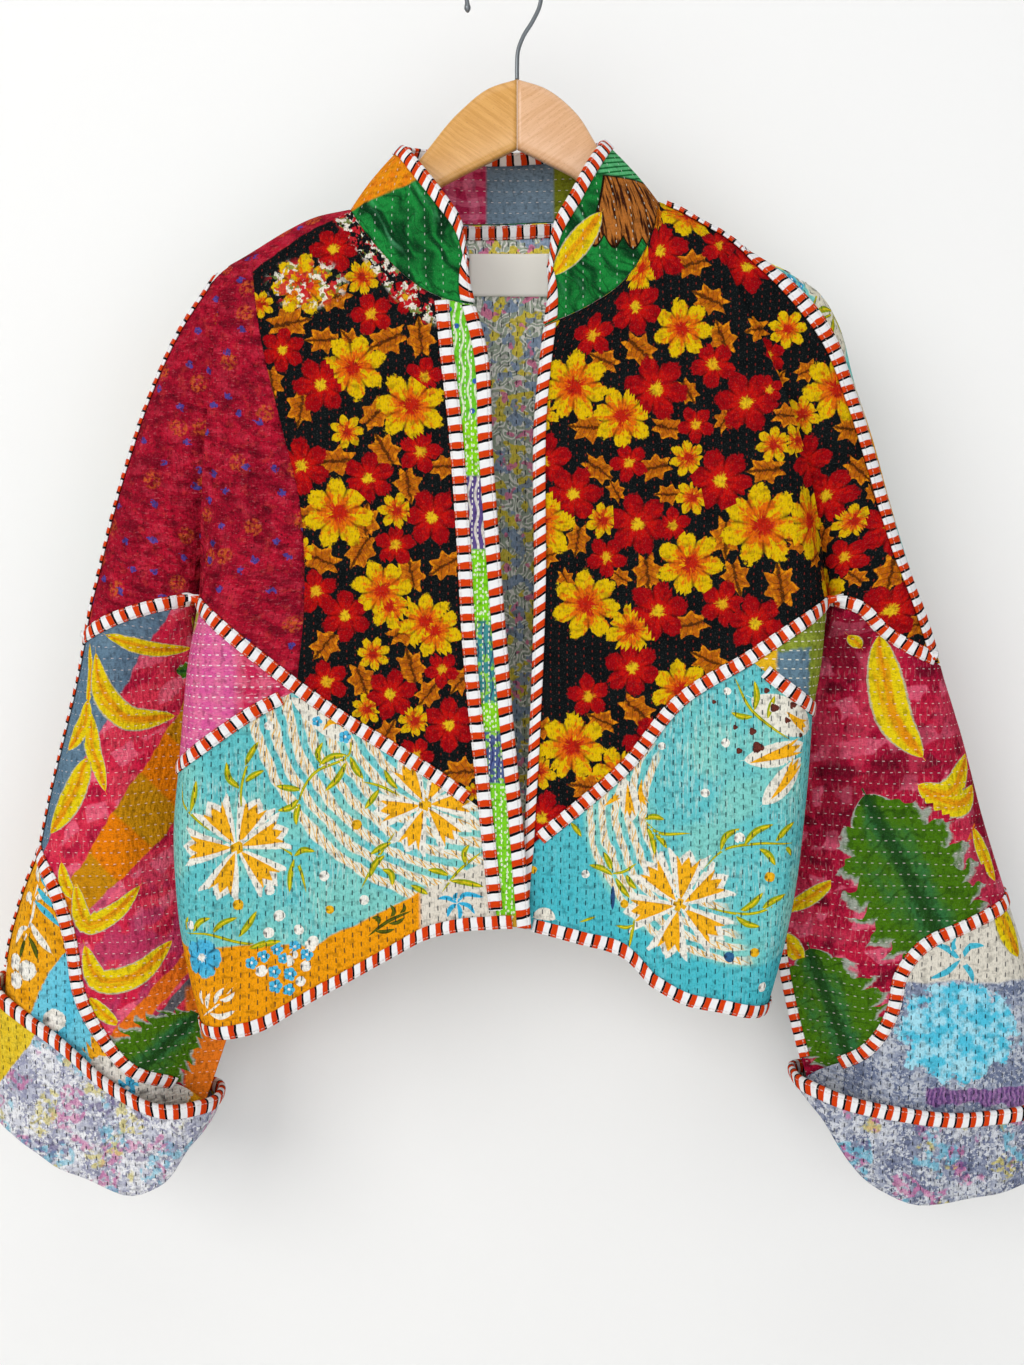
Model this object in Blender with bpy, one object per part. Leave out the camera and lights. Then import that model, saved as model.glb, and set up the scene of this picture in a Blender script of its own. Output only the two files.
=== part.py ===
"""Patchwork kantha jacket hung on a wooden hanger, built from its cut pieces.

The front is the XZ plane seen from -Y, with +Z up and the origin at the inside of the hook's crown.
Every cut piece of cloth is a grid laid between seam lines in the front plane and lifted by one
depth rule, so pieces that share a seam share its points. Tables are in millimetres.
"""

import bpy
import math
import numpy as np
from mathutils.bvhtree import BVHTree

# Main sizes in millimetres
CLOTH = 2.0
SEAM_GAP = 0.3
BINDING_WIDTH = 10.5
BINDING_CLOTH = 1.0
SEAT = 0.35
UNDERARM_LEVEL = -490.0
SHOULDER_LEVEL = -225.0
MIDDLE_Y = 2.0
OUTLINE_ROUND = 32.0
SIDE_ROUND = 34.0
SLEEVE_INNER_ROUND = 70.0
BODY_BACK_ROUND = 110.0
FOLD_SOFTNESS = 26.0
BODY_FORWARD = -14.0
SLEEVE_BACKWARD = 12.0
CUFF_STAND = 7.0
COLLAR_GAP = 0.3
LABEL_WIDTH = 64.0
LABEL_HEIGHT = 33.0
LABEL_CLOTH = 1.0
HANGER_THICKNESS = 12.0
HOOK_WIRE = 3.2
HOOK_RADIUS = 27.0
SHANK_X = 10.0

# Number of grid steps
ROWS_UPPER = 13
ROWS_TRIANGLE = 4
ROWS_LOWER = 8
ROWS_FOREARM = 12
ROWS_SLEEVE_END = 4
COLUMNS_SLEEVE = 7
COLUMNS_SIDE = 5
COLUMNS_SHOULDER = 4
COLUMNS_CHEST = 5
COLUMNS_PLACKET = 2
COLUMNS_NECK = 8
COLUMNS_WRAP = 2
COLUMNS_FRONT_RIGHT = 8
ROWS_COLLAR = 4

# Lines in the front plane, columns x and z, each from its top or outer end
LINES = {
    "outline_left_upper": [(-226, -246), (-251, -283), (-276, -336), (-300, -406), (-320, -480),
                           (-331, -522)],
    "outline_left_forearm": [(-331, -522), (-352, -602), (-364, -648), (-373, -688)],
    "outline_left_end": [(-373, -688), (-391, -735), (-402, -778), (-406, -818)],
    "shoulder_left_outer": [(-226, -246), (-219, -239), (-211, -233)],
    "shoulder_left_middle": [(-211, -233), (-202, -228), (-192, -222)],
    "shoulder_left_inner": [(-192, -222), (-169, -208), (-146, -197), (-119, -191)],
    "fold_left": [(-211, -233), (-216, -291), (-225, -360), (-233, -429), (-240, -490)],
    "sleeve_inner_left": [(-240, -490), (-246, -510), (-248, -540), (-243, -600), (-240, -670),
                          (-233, -749), (-224, -835), (-235, -872), (-246, -903)],
    "side_left_upper": [(-240, -490), (-246, -540), (-250, -580), (-254, -622)],
    "side_left_lower": [(-254, -622), (-259, -672), (-257, -728), (-247, -792), (-238, -826)],
    "raw_seam_left": [(-192, -222), (-181, -301), (-166, -364), (-154, -416), (-151, -491), (-157, -557)],
    "neck_left": [(-119, -191), (-108, -210), (-93, -229), (-78, -245), (-61, -258), (-47, -265)],
    "neck_left_placket": [(-47, -265), (-36, -268), (-23, -270)],
    "chest_left": [(-119, -191), (-116, -300), (-108, -450), (-95, -598)],
    "placket_seam_upper": [(-47, -265), (-42, -313), (-37, -357), (-31, -439), (-26, -529), (-14, -652)],
    "placket_seam_lower": [(-14, -652), (-10, -690), (-5, -740)],
    "front_edge_left_upper": [(-23, -270), (-15, -300), (-10, -379), (-2, -491), (7, -600), (12, -652)],
    "front_edge_left_lower": [(12, -652), (15, -690), (19, -741)],
    "placket_break": [(-14, -652), (12, -652)],
    "diagonal_left_outer": [(-240, -490), (-203, -520), (-157, -557)],
    "diagonal_left_middle": [(-157, -557), (-126, -579), (-95, -598)],
    "diagonal_left_inner": [(-95, -598), (-49, -627), (-14, -652)],
    "second_diagonal_left": [(-254, -622), (-234, -607), (-211, -590), (-188, -575), (-160, -561)],
    "triangle_tip_left": [(-157, -557), (-160, -561)],
    "skirt_left_outer": [(-160, -561), (-156, -680), (-150, -799)],
    "skirt_left_inner": [(-95, -598), (-92, -680), (-88, -765)],
    "hem_left_outer": [(-238, -826), (-214, -824), (-190, -820), (-150, -799)],
    "hem_left_middle": [(-150, -799), (-120, -783), (-88, -765)],
    "hem_left_inner": [(-88, -765), (-60, -750), (-35, -743), (-5, -740)],
    "hem_left_placket": [(-5, -740), (7, -740), (19, -741)],
    "elbow_left": [(-331, -522), (-313, -512), (-295, -504), (-272, -497), (-240, -490)],
    "curve_left": [(-373, -688), (-352, -717), (-341, -757), (-334, -805), (-318, -837), (-295, -865),
                   (-268, -882), (-246, -903)],
    "sleeve_tip_left": [(-246, -903), (-247, -907)],
    "sleeve_end_left": [(-406, -818), (-350, -852), (-312, -888), (-275, -907), (-247, -907)],
    "cuff_top_left": [(-405, -797), (-349, -836), (-310, -872), (-271, -893), (-240, -892)],
    "cuff_fold_left": [(-408, -905), (-380, -924), (-355, -941), (-331, -951), (-300, -965), (-275, -958),
                       (-250, -921)],
    "outline_right_upper": [(189.5, -225.5), (222, -240), (244, -254), (260, -280), (272, -322),
                            (286, -362), (301, -413), (316, -460), (347, -542)],
    "arm_binding_right": [(188, -227), (222, -257), (250, -291), (271, -340), (284, -380), (294, -413),
                          (309, -460), (342, -540)],
    "wrap_top_right": [(189.5, -225.5), (188, -227)],
    "wrap_end_right": [(347, -542), (342, -540)],
    "outline_right_forearm": [(348, -545), (367, -603), (385, -667), (405, -728)],
    "outline_right_end": [(405, -728), (422, -781), (433, -840), (438, -893)],
    "shoulder_right_outer": [(188, -227), (170, -212), (150, -200)],
    "shoulder_right_back": [(189.5, -225.5), (171, -211), (150, -200)],
    "shoulder_right_inner": [(150, -200), (135, -191), (119, -185)],
    "fold_right": [(150, -200), (174, -254), (195, -299), (221, -360), (242, -429), (254, -490)],
    "sleeve_inner_right": [(254, -490), (256, -508), (251, -528), (240, -556), (234, -600), (228, -676),
                           (223, -774), (235, -835), (248, -882)],
    "side_right_upper": [(254, -490), (248, -534), (240, -577)],
    "side_right_lower": [(240, -577), (236, -648), (227, -728), (215, -785), (207, -812)],
    "neck_right": [(119, -185), (113, -210), (103, -234), (88, -254), (65, -270), (31, -286)],
    "chest_right": [(119, -185), (142, -330), (170, -450), (185, -535)],
    "front_edge_right_upper": [(31, -286), (25, -342), (24, -491), (20, -605), (16, -683)],
    "front_edge_right_lower": [(16, -683), (12, -710), (9, -742)],
    "diagonal_right_outer": [(254, -490), (220, -512), (185, -535)],
    "diagonal_right_inner": [(185, -535), (134, -567), (93, -617), (58, -648), (16, -683)],
    "second_diagonal_right": [(240, -577), (212, -557), (189, -539)],
    "triangle_tip_right": [(185, -535), (189, -539)],
    "skirt_right": [(189, -539), (150, -680), (113, -786)],
    "hem_right_outer": [(207, -812), (168, -804), (137, -799), (113, -786)],
    "hem_right_inner": [(113, -786), (90, -763), (59, -754), (9, -742)],
    "elbow_right": [(342, -540), (313, -527), (293, -514), (274, -497), (254, -490)],
    "elbow_right_back": [(347, -542), (313, -524), (293, -512), (274, -497), (254, -490)],
    "curve_right": [(405, -728), (361, -747), (330, -763), (314, -783), (307, -815), (288, -851),
                    (248, -882)],
    "sleeve_tip_right": [(248, -882), (248, -886)],
    "sleeve_end_right": [(438, -893), (400, -903), (359, -908), (312, -905), (272, -897), (248, -886)],
    "cuff_top_right": [(437, -891), (400, -895), (359, -898), (312, -893), (272, -885), (243, -874)],
    "cuff_fold_right": [(430, -955), (400, -964), (366, -969), (330, -973), (283, -948), (265, -923),
                        (250, -893)],
    "neck_back": [(-119, -191), (-80, -193), (0, -194), (80, -189), (119, -185)],
    "back_seam_left_outer": [(-240, -490), (-200, -500), (-155, -508)],
    "back_seam_left_inner": [(-155, -508), (-130, -511), (-100, -513)],
    "back_seam_middle": [(-100, -513), (0, -517), (115, -511)],
    "back_seam_right": [(254, -490), (180, -502), (115, -511)],
    "back_fall_left_outer": [(-192, -222), (-176, -360), (-155, -508)],
    "back_fall_left_inner": [(-119, -191), (-108, -350), (-100, -513)],
    "back_fall_right": [(119, -185), (116, -350), (115, -511)],
    "back_skirt_left_outer": [(-155, -508), (-152, -660), (-150, -802)],
    "back_skirt_left_inner": [(-100, -513), (-96, -660), (-92, -777)],
    "back_skirt_right": [(115, -511), (112, -660), (108, -777)],
    "back_hem_left_outer": [(-238, -826), (-195, -818), (-150, -802)],
    "back_hem_left_inner": [(-150, -802), (-120, -789), (-92, -777)],
    "back_hem_middle": [(-92, -777), (0, -760), (108, -777)],
    "back_hem_right": [(207, -812), (160, -800), (108, -777)],
}

# Top edge of the stand collar, columns x, y and z
COLLAR_TOP_LEFT = [(-27, -40, -238), (-32, -42, -212), (-47, -39, -189), (-62, -29, -168), (-74, -14, -150),
                   (-79, 2, -143)]
COLLAR_TOP_BACK = [(-79, 2, -143), (-73, 20, -139), (-46, 33, -138), (0, 37, -138), (48, 33, -136),
                   (72, 20, -136), (77, 2, -139)]
COLLAR_TOP_RIGHT = [(77, 2, -139), (73, -14, -148), (63, -29, -166), (51, -39, -190), (38, -42, -214),
                    (33, -40, -246)]

# How far the cloth stands from the middle, columns level, body front, body back, sleeve front, sleeve back
FULLNESS = [
    (-180, 22, 28, 22, 24),
    (-230, 30, 32, 25, 26),
    (-300, 38, 35, 28, 28),
    (-400, 42, 36, 30, 30),
    (-490, 43, 36, 32, 32),
    (-620, 45, 38, 34, 32),
    (-740, 47, 40, 34, 32),
    (-830, 48, 40, 34, 32),
    (-980, 48, 40, 30, 30),
]

# Largest soft folds, columns face, from x, from z, to x, to z, half width, rise towards the viewer
FOLDS = [
    ("front", -196, -250, -196, -560, 16, 5.0),
    ("front", -300, -470, -236, -478, 14, -4.0),
    ("front", -345, -560, -262, -530, 15, 4.5),
    ("front", -350, -640, -262, -585, 13, -4.0),
    ("front", -372, -740, -268, -680, 16, 4.0),
    ("front", -268, -560, -262, -840, 15, -4.0),
    ("front", -135, -600, -140, -780, 26, 4.0),
    ("front", -210, -660, -205, -815, 18, -4.5),
    ("front", -75, -330, -60, -640, 20, -3.0),
    ("front", 205, -300, 232, -500, 14, 5.0),
    ("front", 268, -410, 296, -540, 13, -4.0),
    ("front", 275, -540, 300, -800, 16, -4.5),
    ("front", 330, -560, 365, -800, 18, 4.5),
    ("front", 250, -560, 262, -840, 12, 3.5),
    ("front", 150, -600, 128, -790, 20, 4.5),
    ("front", 70, -660, 84, -760, 18, -4.0),
    ("front", 85, -340, 80, -600, 22, -3.0),
    ("back", -180, -270, -170, -800, 24, 5.0),
    ("back", 0, -240, 5, -760, 30, -5.0),
    ("back", 175, -270, 170, -790, 22, 4.5),
    ("back", -320, -520, -290, -840, 16, 4.0),
    ("back", 325, -540, 330, -840, 18, -4.0),
]

# Hanger arm, columns distance out, top, underside, forward bend
HANGER_LEFT = [(0.15, -94, -149, 0.0), (22, -101, -155, 0.0), (45, -119, -167, 0.0),
               (75, -154, -184, 0.0), (105, -185, -210, 0.0), (140, -204.5, -228, 0.5),
               (180, -217, -238, 1.0), (203, -230, -245, 1.5)]
HANGER_RIGHT = [(0.15, -94, -149, 0.0), (22, -101, -155, 0.0), (45, -119, -168, 0.0),
                (62, -144.5, -184, 0.0), (75, -163, -196, 0.0), (105, -194, -220, 0.0),
                (140, -208, -231, 0.5), (180, -231, -252, 1.0), (203, -243, -257, 1.5)]

# Colours as red, green and blue
CRIMSON = (0.42, 0.02, 0.05)
FLORAL = (0.07, 0.03, 0.02)
LIME = (0.32, 0.62, 0.10)
PINK = (0.62, 0.10, 0.22)
TURQUOISE = (0.20, 0.56, 0.58)
OCHRE = (0.72, 0.34, 0.05)
PLAID = (0.50, 0.05, 0.11)
PALE = (0.62, 0.66, 0.60)
LAVENDER = (0.38, 0.40, 0.52)
GREEN = (0.03, 0.20, 0.06)
STRIPE = (0.75, 0.35, 0.28)
CREAM = (0.85, 0.80, 0.68)
BEECH = (0.62, 0.38, 0.16)
PALE_BEECH = (0.68, 0.44, 0.24)
STEEL = (0.55, 0.56, 0.58)


def even(count):
    return np.linspace(0.0, 1.0, count + 1)


def eased_start(count):
    return 1.0 - np.cos(even(count) * math.pi / 2)


def eased_both(count):
    return (1.0 - np.cos(even(count) * math.pi)) / 2


def smooth_step(value):
    value = np.clip(value, 0.0, 1.0)
    return value * value * (3.0 - 2.0 * value)


def dome(value):
    value = np.clip(value, 0.0, 1.0)
    return np.sqrt(1.0 - (1.0 - value) ** 2)


def unit(vectors):
    length = np.linalg.norm(vectors, axis=-1, keepdims=True)
    return vectors / np.maximum(length, 1e-9)


def smooth_line(points, fractions):
    """Points at the given fractions of a smooth curve through the table's points."""
    points = np.array(points, dtype=float)
    steps = np.linalg.norm(np.diff(points, axis=0), axis=1)
    along = np.concatenate([[0.0], np.cumsum(steps)])
    slopes = np.gradient(points, along, axis=0)
    target = np.clip(fractions, 0.0, 1.0) * along[-1]
    row = np.clip(np.searchsorted(along, target, side="right") - 1, 0, len(steps) - 1)
    span = steps[row]
    t = ((target - along[row]) / span)[:, None]
    span = span[:, None]
    start = (1 + 2 * t) * (1 - t) ** 2 * points[row] + t * (1 - t) ** 2 * span * slopes[row]
    end = t * t * (3 - 2 * t) * points[row + 1] + t * t * (t - 1) * span * slopes[row + 1]
    return start + end


def line(name, fractions):
    return smooth_line(LINES[name], fractions)


def joined(names):
    """One dense polyline through several lines that follow each other."""
    parts = [line(name, even(24)) for name in names]
    return np.concatenate(parts)


OUTLINES = {
    "left": np.concatenate([
        joined(["shoulder_left_outer", "shoulder_left_middle", "shoulder_left_inner"])[::-1],
        joined(["outline_left_upper", "outline_left_forearm", "outline_left_end"]),
    ]),
    "right": np.concatenate([
        joined(["shoulder_right_back", "shoulder_right_inner"])[::-1],
        joined(["outline_right_upper", "outline_right_forearm", "outline_right_end"]),
    ]),
}
BODY_SIDES = {
    "left": joined(["fold_left", "side_left_upper", "side_left_lower"]),
    "right": joined(["fold_right", "side_right_upper", "side_right_lower"]),
}
SLEEVE_INNERS = {
    "left": joined(["fold_left", "sleeve_inner_left"]),
    "right": joined(["fold_right", "sleeve_inner_right"]),
}


def distance_to(polyline, x, z):
    """Shortest distance in the front plane from each point to a polyline."""
    points = np.stack([x.ravel(), z.ravel()], axis=1)[:, None, :]
    start = polyline[None, :-1]
    run = polyline[None, 1:] - start
    length = np.maximum((run ** 2).sum(-1), 1e-9)
    t = np.clip(((points - start) * run).sum(-1) / length, 0.0, 1.0)
    gap = points - start - t[..., None] * run
    return np.sqrt((gap ** 2).sum(-1)).min(axis=1).reshape(x.shape)


def across_at(polyline, z):
    """The polyline's x at each level."""
    order = np.argsort(polyline[:, 1])
    return np.interp(z, polyline[order, 1], polyline[order, 0])


def fullness(z, part, face):
    column = {("body", "front"): 1, ("body", "back"): 2, ("sleeve", "front"): 3, ("sleeve", "back"): 4}
    table = np.array(FULLNESS, dtype=float)[::-1]
    return np.interp(z, table[:, 0], table[:, column[(part, face)]])


def soft_folds(x, z, face):
    """Height of the largest folds, each a soft ridge or trough that dies out at its ends."""
    total = np.zeros_like(x)
    for side, x0, z0, x1, z1, width, rise in FOLDS:
        if side != face:
            continue
        run = np.array([x1 - x0, z1 - z0], dtype=float)
        length = np.hypot(run[0], run[1])
        t = ((x - x0) * run[0] + (z - z0) * run[1]) / length ** 2
        off = ((x - x0) * run[1] - (z - z0) * run[0]) / length
        ends = np.sin(np.clip(t, 0.0, 1.0) * math.pi) ** 0.8
        total += rise * ends * np.exp(-(off / width) ** 2)
    return total


def middle_depth(x, z, side, part):
    """The level of Y at which front and back meet along the edges."""
    lower = smooth_step((UNDERARM_LEVEL - z) / 70.0)
    if part == "sleeve":
        return MIDDLE_Y + SLEEVE_BACKWARD * lower
    away = np.abs(x - across_at(BODY_SIDES[side], z))
    return MIDDLE_Y + BODY_FORWARD * lower * (1.0 - smooth_step(away / 120.0))


def depth(x, z, side, part, face):
    """Y of the cloth's outer face at a point of the front plane."""
    sign = -1.0 if face == "front" else 1.0
    edge = BODY_SIDES[side] if part == "body" else SLEEVE_INNERS[side]
    away = np.abs(x - across_at(edge, z))
    drop = smooth_step((SHOULDER_LEVEL - z) / (SHOULDER_LEVEL - UNDERARM_LEVEL))
    lower = smooth_step((UNDERARM_LEVEL - z) / 60.0)
    soft = FOLD_SOFTNESS * (1.0 - drop) + 0.5 * (1.0 - lower)
    steep = dome(np.sqrt(away ** 2 + soft ** 2) / SIDE_ROUND)
    gentle = steep
    if part == "sleeve" and face == "front":
        gentle = smooth_step(away / SLEEVE_INNER_ROUND)
    if part == "body" and face == "back":
        gentle = smooth_step(away / BODY_BACK_ROUND)
    valley = drop * (steep * (1.0 - lower) + gentle * lower) + (1.0 - drop)
    nearest = np.minimum(distance_to(OUTLINES["left"], x, z), distance_to(OUTLINES["right"], x, z))
    rounded = dome(nearest / OUTLINE_ROUND)
    stand = fullness(z, part, face) * valley * rounded
    folds = soft_folds(x, z, face) * rounded * valley
    overlap = 0.0
    if part == "body" and face == "front":
        low = smooth_step((-560.0 - z) / 150.0)
        centre = smooth_step((x + 70.0) / 60.0) if side == "left" else smooth_step((75.0 - x) / 60.0)
        overlap = (-5.0 if side == "left" else 5.0) * low * centre
    return middle_depth(x, z, side, part) + sign * (stand + folds) + overlap


def lift(plan, side, part, face, edges=()):
    """Points and outward normals of a patch of the front plane, with silhouette edges at the middle."""
    x = plan[..., 0]
    z = plan[..., 1]
    y = depth(x, z, side, part, face)
    step = 0.6
    slope_x = (depth(x + step, z, side, part, face) - depth(x - step, z, side, part, face)) / (2 * step)
    slope_z = (depth(x, z + step, side, part, face) - depth(x, z - step, side, part, face)) / (2 * step)
    sign = -1.0 if face == "front" else 1.0
    normals = unit(np.stack([-slope_x, np.ones_like(x), -slope_z], axis=-1) * sign)
    points = np.stack([x, y, z], axis=-1)
    centre = plan.reshape(-1, 2).mean(axis=0)
    picks = {"left": np.s_[:, 0], "right": np.s_[:, -1], "top": np.s_[0, :], "bottom": np.s_[-1, :]}
    for edge in edges:
        pick = picks[edge]
        run = np.gradient(plan[pick], axis=0)
        out = unit(np.stack([run[:, 1], -run[:, 0]], axis=-1))
        if ((plan[pick] - centre) * out).sum() < 0:
            out = -out
        middle = middle_depth(plan[pick][:, 0], plan[pick][:, 1], side, part)
        points[pick + (1,)] = middle + sign * SEAM_GAP
        tilt = np.zeros(len(out))
        if part == "body" and edge == "left":
            tilt = 0.9 * smooth_step((UNDERARM_LEVEL - plan[pick][:, 1]) / 60.0)
        if part == "sleeve" and edge == "right":
            tilt = -0.9 * smooth_step((UNDERARM_LEVEL - plan[pick][:, 1]) / 60.0)
        normals[pick] = unit(np.stack([out[:, 0], tilt, out[:, 1]], axis=-1))
    return points, normals


def patch(left, right, top, bottom, down, across):
    """Plan grid filled between four lines, rows from top to bottom and columns from left to right."""
    a = (line(left, down) if isinstance(left, str) else left)[:, None]
    b = line(right, down)[:, None]
    c = line(top, across)[None]
    d = line(bottom, across)[None]
    s = across[None, :, None]
    t = down[:, None, None]
    corners = (1 - t) * ((1 - s) * c[:, :1] + s * c[:, -1:]) + t * ((1 - s) * d[:, :1] + s * d[:, -1:])
    return (1 - s) * a + s * b + (1 - t) * c + t * d - corners


def beside(*parts):
    """Patches joined side by side, the shared column kept once."""
    points = [parts[0][0]] + [part[0][:, 1:] for part in parts[1:]]
    normals = [parts[0][1]] + [part[1][:, 1:] for part in parts[1:]]
    return np.concatenate(points, axis=1), np.concatenate(normals, axis=1)


def below(*parts):
    """Patches joined one under the other, the shared row kept once."""
    points = [parts[0][0]] + [part[0][1:] for part in parts[1:]]
    normals = [parts[0][1]] + [part[1][1:] for part in parts[1:]]
    return np.concatenate(points, axis=0), np.concatenate(normals, axis=0)


def trimmed(points, gap):
    """The grid with its outermost points drawn in, which leaves the seam gap."""
    points = points.copy()
    full = points.copy()
    points[0] += unit(full[1] - full[0]) * gap
    points[-1] += unit(full[-2] - full[-1]) * gap
    points[:, 0] += unit(full[:, 1] - full[:, 0]) * gap
    points[:, -1] += unit(full[:, -2] - full[:, -1]) * gap
    return points


def material(name, colour, roughness=0.9, metallic=0.0):
    made = bpy.data.materials.new(name)
    made.use_nodes = True
    shader = made.node_tree.nodes["Principled BSDF"]
    shader.inputs["Base Color"].default_value = (*colour, 1.0)
    shader.inputs["Roughness"].default_value = roughness
    shader.inputs["Metallic"].default_value = metallic
    made.diffuse_color = (*colour, 1.0)
    return made


def add_mesh(name, points, faces, surface):
    mesh = bpy.data.meshes.new(name)
    mesh.from_pydata((np.asarray(points) / 1000.0).tolist(), [], faces)
    mesh.update()
    made = bpy.data.objects.new(name, mesh)
    made.data.materials.append(surface)
    COLLECTION.objects.link(made)
    return made


def grid_faces(rows, columns, start=0, flip=False, closed=False):
    faces = []
    wide = columns if closed else columns - 1
    for row in range(rows - 1):
        for column in range(wide):
            beyond = (column + 1) % columns
            face = [start + row * columns + column, start + (row + 1) * columns + column,
                    start + (row + 1) * columns + beyond, start + row * columns + beyond]
            faces.append(face[::-1] if flip else face)
    return faces


def wall(name, points, normals, surface, gap=SEAM_GAP * 0.6, closed=False, thickness=CLOTH):
    """A sheet of even thickness between the outer grid and the same grid moved in along its normals."""
    outer = points if closed else trimmed(points, gap)
    inner = outer - normals * thickness
    rows, columns = outer.shape[:2]
    count = rows * columns
    row, column = rows // 2, columns // 2
    across = outer[row, column] - outer[row, column - 1]
    down = outer[row, column] - outer[row - 1, column]
    flip = float(np.dot(np.cross(down, across), normals[row, column])) < 0
    faces = grid_faces(rows, columns, 0, flip, closed)
    faces += grid_faces(rows, columns, count, not flip, closed)
    edges = []
    for column in range(columns if closed else columns - 1):
        beyond = (column + 1) % columns
        base = (rows - 1) * columns
        edges.append((beyond, column))
        edges.append((base + column, base + beyond))
    if not closed:
        for row in range(rows - 1):
            edges.append((row * columns, (row + 1) * columns))
            edges.append(((row + 1) * columns + columns - 1, row * columns + columns - 1))
    for first, second in edges:
        face = [first, first + count, second + count, second]
        faces.append(face[::-1] if flip else face)
    stacked = np.concatenate([outer.reshape(-1, 3), inner.reshape(-1, 3)])
    return add_mesh(name, stacked, faces, surface)


def walk_in(grid, reach):
    """Points at a given distance in from a grid's first row, measured down its columns."""
    result = np.empty_like(grid[0])
    for column in range(grid.shape[1]):
        path = grid[:, column]
        steps = np.linalg.norm(np.diff(path, axis=0), axis=1)
        along = np.concatenate([[0.0], np.cumsum(steps)])
        result[column] = [np.interp(reach, along, path[:, axis]) for axis in range(3)]
    return result


def cut_ends(rails, centre, start_trim, end_trim):
    """Rails shortened at both ends by a distance measured on the centre rail."""
    steps = np.linalg.norm(np.diff(centre, axis=0), axis=1)
    along = np.concatenate([[0.0], np.cumsum(steps)])
    total = along[-1]
    inside = along[(along > start_trim + 1.0) & (along < total - end_trim - 1.0)]
    targets = np.concatenate([[start_trim], inside, [total - end_trim]])
    cut = []
    for rail in rails:
        cut.append(np.stack([np.interp(targets, along, rail[:, axis]) for axis in range(3)], axis=1))
    return cut


def loft(name, rails, surface, closed=False):
    """A closed bar whose section at each step is the polygon of the rails' points."""
    grid = np.stack(rails, axis=1)
    steps, sides = grid.shape[:2]
    faces = []
    last = steps if closed else steps - 1
    for step in range(last):
        after = (step + 1) % steps
        for side in range(sides):
            beside_it = (side + 1) % sides
            faces.append([step * sides + side, after * sides + side,
                          after * sides + beside_it, step * sides + beside_it])
    if not closed:
        faces.append(list(range(sides)))
        faces.append(list(range((steps - 1) * sides, steps * sides))[::-1])
    points = grid.reshape(-1, 3)
    area = 0.0
    for face in faces:
        corner = points[face[0]]
        for first, second in zip(face[1:], face[2:]):
            area += float(np.dot(corner, np.cross(points[first], points[second])))
    if area < 0:
        faces = [face[::-1] for face in faces]
    return add_mesh(name, points, faces, surface)


def surface_tree(pieces, inward=0.0):
    """A search tree over the given pieces' outer faces, or the same moved in by some depth."""
    points = []
    faces = []
    for grid, normals in pieces:
        for quad in grid_faces(grid.shape[0], grid.shape[1], len(points)):
            first, second, third, fourth = quad
            faces += [(first, second, third), (first, third, fourth)]
            faces += [(first, second, fourth), (second, third, fourth)]
        points += (grid - inward * normals).reshape(-1, 3).tolist()
    return BVHTree.FromPolygons(points, faces)


def rise_over(tree, first, second, normals, sign=1.0):
    """How far a band between two rails must rise along its normals to clear the surface beneath."""
    count = len(first)
    rise = np.zeros(count)
    for step in range(count):
        for part in (0.0, 0.2, 0.4, 0.6, 0.8):
            after = min(step + 1, count - 1)
            direction = normals[step] * (1 - part) + normals[after] * part
            direction = sign * direction / max(np.linalg.norm(direction), 1e-9)
            for share in (0.0, 0.25, 0.5, 0.75, 1.0):
                near = first[step] * (1 - share) + second[step] * share
                beyond = first[after] * (1 - share) + second[after] * share
                point = near * (1 - part) + beyond * part
                start = point + 9.0 * direction
                hit = tree.ray_cast(start.tolist(), (-direction).tolist(), 12.0)
                if hit[0] is None:
                    continue
                height = 9.0 - hit[3]
                rise[step] = max(rise[step], height)
                if part > 0:
                    rise[after] = max(rise[after], height)
    return rise[:, None]


def seam_binding(name, path, normals, pieces, surface, trim=(0.0, 0.0), slack=0.0):
    """A flat bias strip along a seam, each side point laid on the pieces beneath and moved out."""
    tree = surface_tree(pieces)
    run = unit(np.gradient(path, axis=0))
    across = unit(np.cross(normals, run))
    sides = []
    for sign in (-1.0, 1.0):
        aimed = path + sign * BINDING_WIDTH / 2 * across
        found = [tree.find_nearest(point.tolist()) for point in aimed]
        sides.append(np.array([tuple(hit[0]) for hit in found]))
    rise = np.maximum(rise_over(tree, sides[0], path, normals), rise_over(tree, sides[1], path, normals))
    low = (SEAT + slack + rise) * normals
    high = low + BINDING_CLOTH * normals
    crown = low + 1.2 * BINDING_CLOTH * normals
    rails = [sides[0] + low, path + low, sides[1] + low, sides[1] + high, path + crown, sides[0] + high]
    rails = cut_ends(rails, path, trim[0], trim[1])
    return loft(name, rails, surface)


def facing_strip(name, piece, surface, start, stop, width):
    """A flat strip on a piece's inner face just below its first row."""
    grid, normals = part_of(piece, start, stop)
    upper = walk_in(grid, 1.0)
    lower = walk_in(grid, 1.0 + width)
    near = (CLOTH + SEAT) * normals[0]
    far = (CLOTH + SEAT + BINDING_CLOTH) * normals[0]
    return loft(name, [upper - near, lower - near, lower - far, upper - far], surface)


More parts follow.
